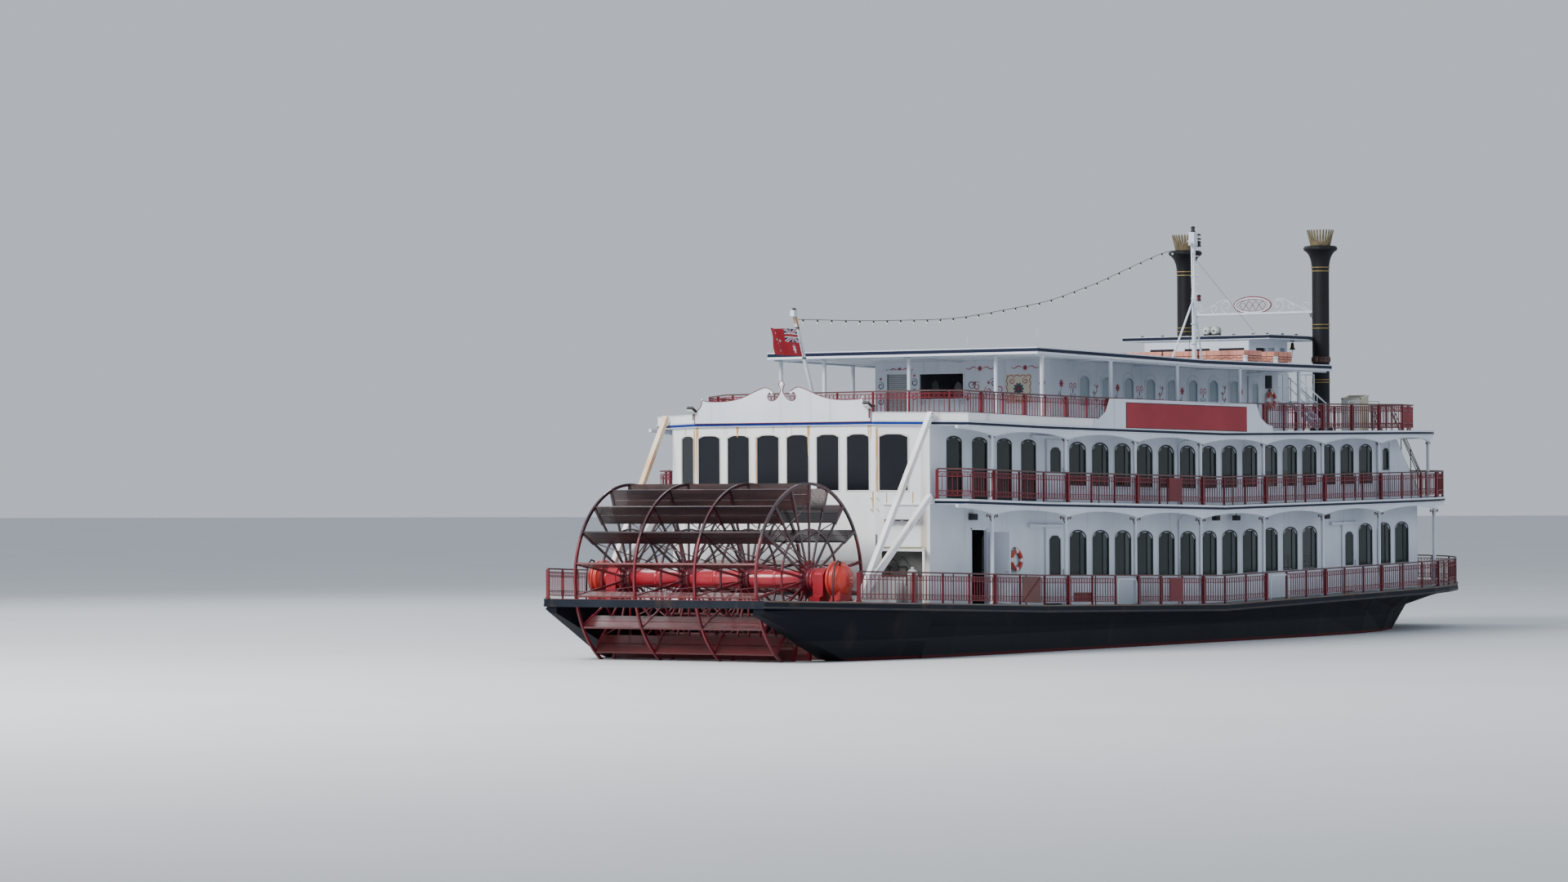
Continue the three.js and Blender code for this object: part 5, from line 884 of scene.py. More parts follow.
# ---------------------------------------------------------------- paddle wheel: round rims, slender arms, planked floats, rods between the frames
IRON = mat("wheel_iron_paint", srgb(118, 26, 40), 0.38, second=srgb(78, 18, 28), amount=0.8, scale=2.5, streak=srgb(52, 22, 26), streak_amount=0.7, streak_scale=(4, 4, 4), bump=0.4, coat=0.25)
# darker iron and boards for the upper part of the wheel
IRON_UPPER_DARK = mat("wheel_iron_dark_upper", srgb(46, 28, 34), 0.3, second=srgb(70, 26, 34), amount=0.8, scale=2.5, bump=0.4, coat=0.4)
BOARD_UPPER_DARK = mat("dark_upper_boards", srgb(44, 34, 36), 0.3, second=srgb(70, 50, 48), amount=0.9, scale=2.0, stretch=(3, 0.3, 3), bump=0.7, bump_scale=26, grime=srgb(24, 20, 22), coat=0.35)
BOARD_RED = mat("worn_red_boards", srgb(112, 52, 54), 0.34, second=srgb(78, 44, 44), amount=0.9, scale=2.0, stretch=(3, 0.3, 3), bump=0.7, bump_scale=26, grime=srgb(60, 36, 34), coat=0.35)


def at_wheel(r, a, y=0.0, t=0.0):
    s, c = math.sin(math.radians(a)), math.cos(math.radians(a))
    return (r * s + t * c, y, WHEEL_Z + r * c - t * s)


# the upper part of the wheel, which takes the darker iron and board materials
def high(a):
    return math.cos(math.radians(a)) > 0.42


def annulus(b, r0, r1, y0, y1, n, mat_of):
    for k in range(n):
        a0, a1 = 360 * k / n, 360 * (k + 1) / n
        v = [at_wheel(r, a, y) for a in (a0, a1) for r, y in ((r0, y0), (r1, y0), (r1, y1), (r0, y1))]
        b.put(v, [(i, (i + 1) % 4, 4 + (i + 1) % 4, 4 + i) for i in range(4)], mat_of((a0 + a1) / 2))


def wheel_bar(b, a, r0, r1, y, wy, wt, m):
    b.loops([[at_wheel(r, a, y + wy / 2 * i, wt / 2 * j) for i, j in ((-1, -1), (1, -1), (1, 1), (-1, 1))] for r in (r0, r1)], m)


b = Bag(sheared=False)
for y in FRAME_Y:
    annulus(b, 2.962, 3.056, y - 0.034, y + 0.034, 90, lambda a: 1 if high(a) else 0)
    annulus(b, 1.545, 1.605, y - 0.028, y + 0.028, 60, lambda a: 1 if high(a) else 0)
    b.turned([(0.292, y - 0.21), (0.335, y - 0.20), (0.385, y - 0.17), (0.385, y - 0.09), (0.36, y - 0.06), (0.47, y - 0.05), (0.50, y - 0.03), (0.50, y + 0.03), (0.47, y + 0.05), (0.36, y + 0.06), (0.385, y + 0.09), (0.385, y + 0.17), (0.335, y + 0.20), (0.292, y + 0.21)], 0, WHEEL_Z, 36, 0, "y")
    for k in range(18):
        a = 20 * k
        m = 1 if high(a) else 0
        wheel_bar(b, a, 0.40, 0.60, y, 0.115, 0.085, 0)
        wheel_bar(b, a, 0.55, 2.96, y, 0.05, 0.07, m)
        wheel_bar(b, a, 2.28, 2.96, y, 0.09, 0.10, m)
        for r in (0.50, 0.565):
            c = at_wheel(r, a, y)
            b.ball((c[0], y + 0.058, c[2]), 0.014, 0, 5, 3)
            b.ball((c[0], y - 0.058, c[2]), 0.014, 0, 5, 3)
for i in range(3):
    ya, yb = FRAME_Y[i], FRAME_Y[i + 1]
    for k in range(18):
        a = 20 * k
        p, q = (ya, yb) if k % 2 else (yb, ya)
        b.tube([at_wheel(0.46, a, p + (0.1 if p < q else -0.1), 0.0), at_wheel(2.33, a, q + (-0.03 if p < q else 0.03), 0.0)], 0.021, 6, 1 if high(a) else 0)
for k in range(18):
    a = 20 * k
    m = 3 if high(a) else 2
    for r0, r1 in ((2.33, 2.672), (2.688, 3.03)):
        b.loops([[at_wheel(r, a, y, t) for r, t in ((r0, -0.03), (r0 + 0.008, 0.03), (r1 - 0.008, 0.03), (r1, -0.03))] for y in (-3.49, 3.49)], m)
    for y in FRAME_Y:
        for r in (2.45, 2.56, 2.80, 2.91):
            for t in (-0.052, 0.052):
                c = at_wheel(r, a, y, t)
                b.ball(c, 0.017, 0, 5, 3)
wheel = b.make("wheel_detail", [IRON, IRON_UPPER_DARK, BOARD_RED, BOARD_UPPER_DARK], body="wheel", slot="maroon_paint")
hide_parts("paddle_wheel")

b = Bag(sheared=False)
b.turned([(0, -4.32), (0.255, -4.32), (0.27, -4.305), (0.27, -4.255), (0.255, -4.24), (0.2, -4.24), (0.2, -3.76), (0.272, -3.76), (0.29, -3.745), (0.29, 3.745), (0.272, 3.76), (0.2, 3.76), (0.2, 4.24), (0.255, 4.24), (0.27, 4.255), (0.27, 4.305), (0.255, 4.32), (0, 4.32)], 0, WHEEL_Z, 48, 0, "y")
for e in (-1, 1):
    for k in range(8):
        a = 45 * k
        c = at_wheel(0.19, a)
        b.ball((c[0], e * 4.322, c[2]), 0.022, 0, 6, 4)
    b.turned([(0.288, e * 3.64), (0.335, e * 3.645), (0.335, e * 3.725), (0.288, e * 3.73)], 0, WHEEL_Z, 40, 0, "y")
for y in (-2.3, 0.0, 2.3):
    b.turned([(0.288, y - 0.05), (0.304, y - 0.045), (0.304, y + 0.045), (0.288, y + 0.05)], 0, WHEEL_Z, 40, 0, "y")
shaft = b.make("wheel_shaft_detail", [mat("shaft_red_paint", srgb(172, 34, 48), 0.28, second=srgb(128, 26, 38), amount=0.8, scale=1.2, streak=srgb(94, 34, 36), streak_amount=0.5, streak_scale=(4, 4, 4), coat=0.45)], body="wheel", slot="red_paint")
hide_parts("wheel_shaft")

MOTOR_RED = mat("motor_red_paint", srgb(166, 26, 34), 0.4, second=srgb(124, 22, 30), amount=0.8, scale=3, coat=0.25)
for s, name in SIDES:
    b = Bag(sheared=False)
    prof = [(0, 4.362), (0.43, 4.362), (0.44, 4.37), (0.44, 4.41), (0.575, 4.41), (0.585, 4.42), (0.585, 4.475), (0.575, 4.485), (0.52, 4.485), (0.515, 4.54), (0.52, 4.59), (0.56, 4.59), (0.57, 4.60), (0.57, 4.645), (0.56, 4.655), (0.50, 4.655), (0.485, 4.75), (0.45, 4.83), (0.38, 4.88), (0.25, 4.905), (0.24, 4.93), (0, 4.935)]
    b.turned([(r, s * y) for r, y in prof], 0, WHEEL_Z, 48, 0, "y")
    for k in range(16):
        c = at_wheel(0.545, 22.5 * k)
        b.ball((c[0], s * 4.49, c[2]), 0.019, 0, 6, 4)
    for k in range(8):
        c = at_wheel(0.17, 45 * k)
        b.ball((c[0], s * 4.938, c[2]), 0.02, 1, 6, 4)
    zb = Z_MAIN + lift(-0.42, Z_MAIN)
    y0, y1 = sorted((s * 4.46, s * 4.82))
    b.plate([(-0.42, zb + 0.012), (0.42, zb + 0.012), (0.42, zb + 0.06), (0.33, zb + 0.10), (0.31, WHEEL_Z - 0.2), (-0.31, WHEEL_Z - 0.2), (-0.33, zb + 0.10), (-0.42, zb + 0.06)], "y", y0, y1, 1)
    b.tube([(-0.2, s * 4.72, WHEEL_Z + 0.42), (-0.2, s * 4.74, WHEEL_Z + 0.56), (-0.34, s * 4.75, WHEEL_Z + 0.60), (-0.56, s * 4.75, WHEEL_Z + 0.42), (-0.62, s * 4.75, WHEEL_Z - 0.2), (-0.62, s * 4.75, zb + 0.02)], 0.03, 8, 2)
    ob = b.make("drive_motor_detail_" + name, [ORANGE, MOTOR_RED, DARK], slot="orange_paint")
    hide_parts("drive_motor_" + name)
    b = Bag(sheared=False)
    y0, y1 = sorted((s * 3.83, s * 4.15))
    for xx in (-0.36, 0.36):
        b.box(xx - 0.07, xx + 0.07, y0 - 0.02, y1 + 0.02, zb + 0.13, zb + 0.165)
        for yy in (s * 3.88, s * 4.10):
            b.ball((xx, yy, zb + 0.175), 0.03, 0, 6, 4)
    b.turned([(0.215, s * 3.79), (0.31, s * 3.79), (0.32, s * 3.775), (0.22, s * 3.775), (0.215, s * 3.79)], 0, WHEEL_Z, 32, 0, "y")
    b.turned([(0.0, WHEEL_Z + 0.36), (0.03, WHEEL_Z + 0.36), (0.03, WHEEL_Z + 0.43), (0.0, WHEEL_Z + 0.44)], 0, s * 3.99, 10)
    for xx in (-0.27, 0.27):
        b.box(xx - 0.05, xx + 0.05, y0 + 0.03, y1 - 0.03, WHEEL_Z + 0.16, WHEEL_Z + 0.215)
        b.ball((xx, s * 3.99, WHEEL_Z + 0.225), 0.026, 0, 6, 4)
    b.make("bearing_detail_" + name, [mat("bearing_pink_red_" + name, srgb(206, 66, 84), 0.4, second=srgb(168, 44, 60), amount=0.8, scale=4)], slot="red_paint")

# ---------------------------------------------------------------- stern: board edging, volutes, floodlights, vent box, shelf and streaks
EDGE_RED = mat("board_edge_paint", srgb(120, 42, 52), 0.5, second=srgb(90, 36, 44), amount=0.7)
LAMP = mat("lamp_glass", srgb(226, 230, 222), 0.25, bump=0.0, spec=0.7)
BOARD = [(3.43, 0.04), (3.43, 0.42), (3.34, 0.47), (3.23, 0.57), (3.16, 0.69), (3.13, 0.79), (3.12, 0.875), (3.03, 0.81), (2.85, 0.785), (2.45, 0.775), (2.12, 0.79), (1.88, 0.825), (1.60, 0.885), (1.35, 0.97), (1.10, 1.075), (0.84, 1.175), (0.66, 1.22), (0.52, 1.195), (0.40, 1.125), (0.32, 1.05)]
SCROLL = [(0.35, 1.015), (0.41, 1.055), (0.49, 1.04), (0.55, 0.91), (0.50, 0.81), (0.38, 0.775), (0.23, 0.83), (0.125, 0.945), (0.055, 1.07), (0.045, 1.17), (0.095, 1.28), (0.085, 1.38), (0.0, 1.44)]
b = Bag()
for s, _ in SIDES:
    at = lambda p, s=s: (3.644, s * p[0], 7.26 + p[1])
    b.tube([at(p) for p in BOARD[:2]], 0.013, 6, 0)
    b.tube(smooth_line([at(p) for p in BOARD[1:7]], 3), 0.013, 6, 0)
    b.tube(smooth_line([at(p) for p in BOARD[6:]], 3), 0.013, 6, 0)
    b.tube(smooth_line([at(p) for p in SCROLL[2:]], 3), 0.013, 6, 0)
    b.ball(at((0.375, 1.03)), 0.052, 1, 10, 8)                       # bead at the arm's end
    b.tube(smooth_line([at(p) for p in BOARD[-1:] + SCROLL[:3]], 3), 0.010, 6, 0)
    b.ball(at((3.12, 0.855)), 0.035, 1, 8, 6)
b.loops([[(3.647 + 0.02 * t, 0.075 * math.cos(a) * r, 7.26 + 1.33 + 0.10 * math.sin(a) * r) for a in [2 * math.pi * k / 16 for k in range(16)]] for t, r in ((0, 1), (-1, 0.8), (-1.6, 0.3))], 1)
b.box(3.636, 3.650, -3.43, 3.43, 7.292, 7.312, 0)
b.make("stern_board_edging", [EDGE_RED, WHITE_STERN], slot="maroon_paint")
b = Bag()
for y, z in ((3.47, 7.74), (-3.38, 7.82)):
    b.beam((3.62, y, 7.42), (3.62, y, z - 0.04), 0.03, 0.03, 2)
    b.beam((3.66, y, z - 0.03), (3.42, y, z + 0.10), 0.24, 0.07, 0)
    b.beam((3.60, y, z - 0.085), (3.40, y, z + 0.022), 0.21, 0.03, 1)
    for k in range(5):
        b.beam((3.64 - 0.045 * k, y - 0.10, z + 0.02 + 0.024 * k), (3.64 - 0.045 * k, y + 0.10, z + 0.02 + 0.024 * k), 0.008, 0.05, 0)
b.make("stern_floodlights", [DARK, LAMP, EDGE_RED], slot="grey_steel")

UC, NC = (0.87 / 1.76, -1.53 / 1.76), (-1.53 / 1.76, -0.87 / 1.76)
def chamfer(u, out, z, s=-1):
    """u along the corner from its aft end, out away from the wall"""
    return (3.78 + UC[0] * u + NC[0] * out, s * (3.49 + 1.53 / 1.76 * u + 0.87 / 1.76 * out), z)


def chamfer_box(b, u0, u1, o0, o1, z0, z1, m=0, s=-1, z1b=None):
    zt = z1 if z1b is None else z1b
    b.loops([[chamfer(u, o0, z0, s), chamfer(u, o1, z0, s), chamfer(u, o1, zt, s), chamfer(u, o0, z1, s)] for u in (u0, u1)], m)


b = Bag()
chamfer_box(b, 0.30, 1.42, -0.01, 0.16, 4.09, 4.56, 0)
chamfer_box(b, 0.27, 1.45, -0.01, 0.20, 4.56, 4.60, 0, z1b=4.585)
chamfer_box(b, 0.30, 1.42, 0.01, 0.165, 4.055, 4.09, 1)
for k in range(4):
    chamfer_box(b, 0.40 + 0.26 * k, 0.56 + 0.26 * k, 0.155, 0.165, 4.03, 4.06, 2)
chamfer_box(b, 0.12, 1.60, -0.01, 0.30, 3.04, 3.12, 0)
chamfer_box(b, 0.12, 1.60, -0.01, 0.02, 3.12, 3.19, 3)
chamfer_box(b, 1.52, 1.60, 0.22, 0.30, 1.34, 3.16, 0)
chamfer_box(b, 0.14, 0.22, 0.22, 0.30, 1.34, 3.06, 0)
chamfer_box(b, 0.16, 1.56, 0.0, 0.012, 2.2, 3.04, 1)
for u, r, h in ((1.20, 0.17, 2.44), (0.80, 0.12, 2.1)):
    cx, cy, _ = chamfer(u, 0.22, 0)
    b.turned([(0, 1.34), (r, 1.34), (r, h - 0.12), (r * 0.92, h - 0.05), (r * 0.6, h), (0.05, h + 0.02), (0.05, h + 0.09), (0, h + 0.09)], cx, cy, 20, 4)
b.tube(smooth_line([chamfer(0.3, 0.06, 2.75), chamfer(0.55, 0.08, 2.80), chamfer(0.7, 0.08, 2.72), chamfer(0.9, 0.08, 2.86), chamfer(1.05, 0.10, 2.62), chamfer(1.2, 0.2, 2.54)], 5), 0.014, 6, 2)
b.tube([chamfer(0.25, 0.05, 2.55), chamfer(1.0, 0.05, 2.55), chamfer(1.0, 0.05, 1.9)], 0.02, 6, 2)
b.tube([chamfer(0.45, 0.05, 2.55), chamfer(0.45, 0.05, 2.30), chamfer(0.45, 0.12, 2.30)], 0.02, 6, 2)
chamfer_box(b, 0.55, 0.72, 0.012, 0.09, 2.42, 2.66, 2)
chamfer_box(b, 0.02, 0.05, 0.012, 0.03, 2.4, 3.6, 2)
# bolts of the chain plates beside the vent box
for u in (-0.14, 0.08):
    for z in (4.42, 4.78):
        p = (3.772, -3.49 + 0.14, z) if u < 0 else chamfer(u, 0.0, z)
        q = (p[0] - 0.07, p[1] - 0.02, z - 0.01)
        b.tube([p, q], 0.018, 6, 4)
b.make("stern_corner_fittings", [WHITE_STERN, mat("recess_shade_paint", srgb(92, 92, 88), 0.7, second=srgb(64, 62, 58), amount=0.8, scale=3), DARK, mat("dull_green_brown_trim", srgb(142, 138, 108), 0.6), GREY], slot="white_paint")

# heads of the long struts, bolted to the bulwark
b = Bag()
for s, _ in SIDES:
    b.beam((4.47, s * 5.185, 7.50), (4.62, s * 5.10, 7.50), 0.15, 0.19, 0)
    for z in (7.44, 7.56):
        b.tube([(4.44, s * 5.28, z), (4.44, s * 5.255, z)], 0.016, 6, 1)
    b.beam((4.44, s * 5.12, 4.80), (4.64, s * 5.04, 4.80), 0.14, 0.16, 0)
b.make("strut_heads", [WHITE_STERN, DARK], slot="white_paint")

# rust that has run down from the stripe and the window heads
RUN = bpy.data.materials.new("rust_runs")
RUN.use_nodes = True
nt = RUN.node_tree
sh = nt.nodes["Principled BSDF"]
tc = nt.nodes.new("ShaderNodeTexCoord")
mp = nt.nodes.new("ShaderNodeMapping")
mp.inputs["Scale"].default_value = (40, 40, 2.2)
nz = nt.nodes.new("ShaderNodeTexNoise")
nz.inputs["Scale"].default_value = 1.0
nz.inputs["Detail"].default_value = 6
mr = nt.nodes.new("ShaderNodeMapRange")
mr.inputs["From Min"].default_value, mr.inputs["From Max"].default_value = 0.36, 0.66
mr.inputs["To Max"].default_value = 0.88
cr = nt.nodes.new("ShaderNodeValToRGB")
cr.color_ramp.elements[0].color, cr.color_ramp.elements[1].color = srgb(222, 190, 112), srgb(196, 124, 44)
nt.links.new(tc.outputs["Object"], mp.inputs["Vector"])
nt.links.new(mp.outputs["Vector"], nz.inputs["Vector"])
nt.links.new(nz.outputs["Fac"], mr.inputs["Value"])
nt.links.new(nz.outputs["Fac"], cr.inputs["Fac"])
nt.links.new(cr.outputs["Color"], sh.inputs["Base Color"])
nt.links.new(mr.outputs["Result"], sh.inputs["Alpha"])
sh.inputs["Roughness"].default_value = 0.8
STRIP_RUST = mat("orange_frame_rust", srgb(206, 134, 60), 0.75, second=srgb(226, 176, 116), amount=0.9, scale=5)
b = Bag()
for y, w, z0, z1 in ((3.42, 0.11, 5.0, 7.18), (1.82, 0.10, 6.84, 7.18), (1.50, 0.04, 6.9, 7.18), (-0.95, 0.10, 6.2, 7.18), (0.42, 0.05, 6.95, 7.18), (-3.30, 0.16, 6.6, 7.18), (2.35, 0.05, 6.6, 7.18), (-3.42, 0.05, 4.3, 5.0), (-0.3, 0.05, 6.9, 7.18)):
    n = 5
    pts = [(y - w / 2, z1), (y + w / 2, z1), (y + w * 0.42, (z0 + z1) / 2), (y + w * 0.12, z0), (y - w * 0.14, z0), (y - w * 0.40, (z0 * 0.4 + z1 * 0.6))]
    b.plate(pts[::-1], "x", 3.768, 3.776, 0)
b.box(3.752, 3.762, 1.063, 1.105, 5.0, 6.86, 1)
for u0, u1, z0, z1, s in ((0.03, 0.10, 5.0, 7.1, -1), (0.30, 0.36, 3.4, 4.05, -1), (1.30, 1.38, 2.4, 3.0, -1), (0.36, 0.39, 4.62, 4.98, -1), (1.20, 1.23, 4.62, 5.0, -1), (0.02, 0.15, 5.0, 7.1, 1), (0.72, 0.76, 6.95, 7.15, 1)):
    b.loops([[chamfer(u0, 0.001, z, s), chamfer(u1, 0.001, z, s), chamfer(u1, 0.007, z, s), chamfer(u0, 0.007, z, s)] for z in (z0, (z0 + z1) / 2, z1)], 0)
for s in (-1, 1):   # chafed spots where the long struts meet the bulwark
    b.loops([[chamfer(1.50, 0.016, z, s), chamfer(1.60, 0.016, z, s), chamfer(1.60, 0.020, z, s), chamfer(1.50, 0.020, z, s)] for z in (7.38, 7.50)], 1)
b.make("stern_rust_runs", [RUN, STRIP_RUST], slot="white_paint")

# ---------------------------------------------------------------- fittings on the house sides
b = Bag()
s = -1
b.box(7.0, 7.36, -5.16, -5.01, 4.12, 4.33, 0)
b.box(7.04, 7.32, -5.17, -5.155, 4.15, 4.30, 1)
for x, y, z in ((23.14, -5.3, 4.33), (24.63, -5.3, 4.30), (31.1, -5.5, 4.22)):
    b.box(x - 0.14, x + 0.14, y - 0.09, y + 0.09, z - 0.10, z + 0.08, 0)
    b.box(x - 0.11, x + 0.11, y - 0.097, y - 0.088, z - 0.08, z + 0.05, 1)
    b.tube([(x, y, z + 0.07), (x, y, 4.585)], 0.02, 6, 0)
b.box(30.2, 30.7, -3.515, -3.495, 8.94, 9.42, 1)
for k in range(9):
    z = 8.965 + 0.05 * k
    b.loops([[(x, -3.512, z + 0.03), (x, -3.535, z), (x, -3.535, z + 0.008), (x, -3.512, z + 0.038)] for x in (30.22, 30.68)], 0)
b.make("wall_boxes_and_louvre", [DARK, mat("grille_shade", srgb(34, 36, 40), 0.7)], slot="grey_steel")
b = Bag()
for z0, z1 in ((Z_MAIN + 0.02, 4.58), (Z_UPPER + 0.02, 7.17)):
    top = z1 - 0.02
    b.tube([(20.92, -5.06, z0), (20.92, -5.06, top - 0.42)] + [(20.92, -5.06 - 0.30 * (1 - math.cos(math.radians(a))), top - 0.42 + 0.30 * math.sin(math.radians(a))) for a in (15, 30, 45, 60, 75, 90)] + [(20.92, -5.75, top - 0.12)], 0.032, 10, 0)
    for z in (z0 + 0.5, (z0 + z1) / 2, top - 0.5):
        b.box(20.87, 20.97, -5.075, -5.015, z - 0.02, z + 0.02)
b.make("conduits", [WHITE], slot="white_paint")


def ring_buoy(b, cx, y, cz, R, r, s):
    n, m = 28, 8
    v = [(cx + (R + r * math.cos(q)) * math.cos(p), y + r * 0.8 * math.sin(q), cz + (R + r * math.cos(q)) * math.sin(p)) for p in [2 * math.pi * i / n for i in range(n)] for q in [2 * math.pi * j / m for j in range(m)]]
    for i in range(n):
        b.put([v[i * m + j] for j in range(m)] + [v[((i + 1) % n) * m + j] for j in range(m)], [(j, (j + 1) % m, m + (j + 1) % m, m + j) for j in range(m)], 1 if i % 7 in (0, 6) else 0, True)
    rope = [(cx + (R + r + 0.02 + 0.02 * math.cos(4 * p)) * math.cos(p), y + s * 0.01, cz + (R + r + 0.02 + 0.02 * math.cos(4 * p)) * math.sin(p)) for p in [2 * math.pi * i / 32 for i in range(32)]]
    b.tube(rope, 0.009, 5, 2, closed=True)


b = Bag()
ring_buoy(b, 9.87, -5.10, 2.83, 0.30, 0.075, -1)
ring_buoy(b, 30.5, -3.60, 8.52, 0.27, 0.07, -1)
for x, y0, y1, z in ((9.87, -5.06, -5.01, 3.24), (30.5, -3.56, -3.49, 8.90)):
    b.box(x - 0.05, x + 0.05, y0, y1, z - 0.06, z + 0.02, 3)
b.make("life_rings", [RING, FLAG_WHITE, mat("ring_rope", srgb(186, 170, 140), 0.9, bump=0.5), DARK], slot="float_fabric")

# ---------------------------------------------------------------- stacks, crowns and the bar between them
STACK_RUST = mat("rusty_bracket_paint", srgb(116, 84, 66), 0.8, second=srgb(70, 50, 46), amount=0.9, scale=9)
STACK_BOX = mat("brown_box_paint", srgb(92, 62, 56), 0.7, second=srgb(64, 46, 44), amount=0.8, scale=6)
for s, name in SIDES:
    cx, cy = STACK_X, s * STACK_Y
    b = Bag()
    prof = [(0, 7.362), (0.44, 7.362), (0.44, 7.47), (0.40, 7.485), (0.34, 7.50), (0.32, 7.53), (0.32, 9.0), (0.32, 11.0), (0.32, 13.45), (0.33, 13.66), (0.355, 13.84), (0.395, 13.98), (0.44, 14.08), (0.50, 14.165), (0.56, 14.22), (0.61, 14.25), (0.632, 14.285), (0.636, 14.325), (0.625, 14.365), (0.60, 14.40), (0.555, 14.418), (0.40, 14.421), (0.29, 14.421), (0.27, 14.0), (0, 13.9)]
    b.turned(prof, cx, cy, 56, 0)
    for z in (9.22, 9.32, 11.28, 11.42, 13.46, 13.60):
        w = 0.345 if z > 13.5 else 0.335
        b.turned([(0.318, z - 0.022), (w, z - 0.020), (w + 0.012, z), (w, z + 0.020), (0.318, z + 0.022)], cx, cy, 56, 1)
    for z in (8.3, 10.4, 12.5):
        b.turned([(0.319, z - 0.004), (0.3225, z - 0.003), (0.3225, z + 0.003), (0.319, z + 0.004)], cx, cy, 40, 0)
    for k in range(10):
        a = 2 * math.pi * k / 10
        b.ball((cx + 0.405 * math.cos(a), cy + 0.405 * math.sin(a), 7.485), 0.018, 0, 6, 3)
    # a dark collar a little above the canopy's height
    b.turned([(0.318, 9.99), (0.352, 9.99), (0.358, 10.0), (0.358, 10.03), (0.346, 10.04), (0.346, 10.14), (0.358, 10.15), (0.358, 10.18), (0.352, 10.19), (0.318, 10.19)], cx, cy, 48, 3)
    for k in range(12):
        a = 2 * math.pi * (k + 0.5) / 12
        b.box(cx + 0.352 * math.cos(a) - 0.010, cx + 0.352 * math.cos(a) + 0.010, cy + 0.352 * math.sin(a) - 0.010, cy + 0.352 * math.sin(a) + 0.010, 10.02, 10.16, 2)
    b.box(cx - 0.375, cx - 0.335, cy - 0.06, cy + 0.06, 9.99, 10.22, 4)
    ob = b.make("stack_detail_" + name, [BLACK, GOLD, DARK, STACK_BOX, STACK_RUST], slot="black_paint")
    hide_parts("stack_" + name)
    b = Bag()
    b.turned([(0.335, 14.424), (0.372, 14.424), (0.384, 14.47), (0.395, 14.56), (0.37, 14.56), (0.352, 14.47), (0.335, 14.424)], cx, cy, 48, 0)
    for k in range(26):
        a = 2 * math.pi * k / 26
        c, q = math.cos(a), math.sin(a)
        rings = []
        for r, z, w, t in ((0.362, 14.43, 0.086, 0.014), (0.40, 14.60, 0.080, 0.013), (0.455, 14.83, 0.070, 0.011), (0.505, 15.03, 0.060, 0.008)):
            rings.append([(cx + (r + t * i) * c - w / 2 * j * q, cy + (r + t * i) * q + w / 2 * j * c, z) for i, j in ((-1, -1), (1, -1), (1, 1), (-1, 1))])
        b.loops(rings, 0)
    ob = b.make("crown_detail_" + name, [mat("aged_gilt_" + name, srgb(128, 114, 84), 0.5, metal=0.25, second=srgb(84, 76, 58), amount=0.9, scale=9)], slot="gilt")
    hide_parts("crown_" + name)


def spiral(cy, cz, r0, r1, a0, a1, x, n=22):
    return [(x, cy + (r0 + (r1 - r0) * i / n) * math.cos(math.radians(a0 + (a1 - a0) * i / n)), cz + (r0 + (r1 - r0) * i / n) * math.sin(math.radians(a0 + (a1 - a0) * i / n))) for i in range(n + 1)]


b = Bag()
zb, x = 11.96, STACK_X
for e in (-1, 1):
    for c, r, up in ((1.10, 0.27, 1), (1.62, 0.17, 1), (2.28, 0.20, 1)):
        pts = [(px, e * (c + (py - c)), pz) for px, py, pz in spiral(c, zb + r, r, r * 0.28, -90 if up else 90, 300, x)]
        b.tube(pts, 0.019, 6, 0)
    b.tube(smooth_line([(x, e * 2.54, zb - 0.02), (x, e * 2.1, zb + 0.12), (x, e * 1.6, zb + 0.36), (x, e * 1.25, zb + 0.50), (x, e * 0.98, zb + 0.47)], 5), 0.017, 6, 0)
    b.plate([(e * 2.56, 11.87), (e * 2.56, 11.62), (e * 2.32, 11.87)], "x", x - 0.02, x + 0.02, 0)
ov = [(x, 0.79 * math.cos(2 * math.pi * k / 48), 12.24 + 0.32 * math.sin(2 * math.pi * k / 48)) for k in range(48)]
b.tube(ov, 0.026, 8, 1, closed=True)
ov = [(x, 0.70 * math.cos(2 * math.pi * k / 48), 12.24 + 0.23 * math.sin(2 * math.pi * k / 48)) for k in range(48)]
b.tube(ov, 0.010, 6, 1, closed=True)
for k in range(4):  # a plain lozenge lattice inside the oval, in place of the lettering
    y = -0.42 + 0.28 * k
    b.tube([(x, y, 12.06), (x, y + 0.14, 12.24), (x, y, 12.42), (x, y - 0.14, 12.24)], 0.012, 6, 1, closed=True)
b.tube([(x, -2.56, 11.90), (x, 2.56, 11.90)], 0.040, 10, 0)
b.make("stack_bar_scrolls", [WHITE, mat("oval_dark_red_paint", srgb(116, 22, 46), 0.5)], slot="white_paint")

# ---------------------------------------------------------------- mast lamps and stays
b = Bag()
mx, my = 24.4, -3.78


def lantern(b, x, y, z, r=0.085, h=0.2, m=0, g=1):
    b.turned([(0, z - h / 2), (r, z - h / 2), (r, z - h * 0.3), (r * 0.8, z - h * 0.26)], x, y, 14, m)
    b.turned([(r * 0.78, z - h * 0.28), (r * 0.78, z + h * 0.24)], x, y, 14, g)
    b.turned([(r * 0.8, z + h * 0.22), (r, z + h * 0.26), (r, z + h * 0.36), (r * 0.5, z + h * 0.52), (0, z + h * 0.56)], x, y, 14, m)


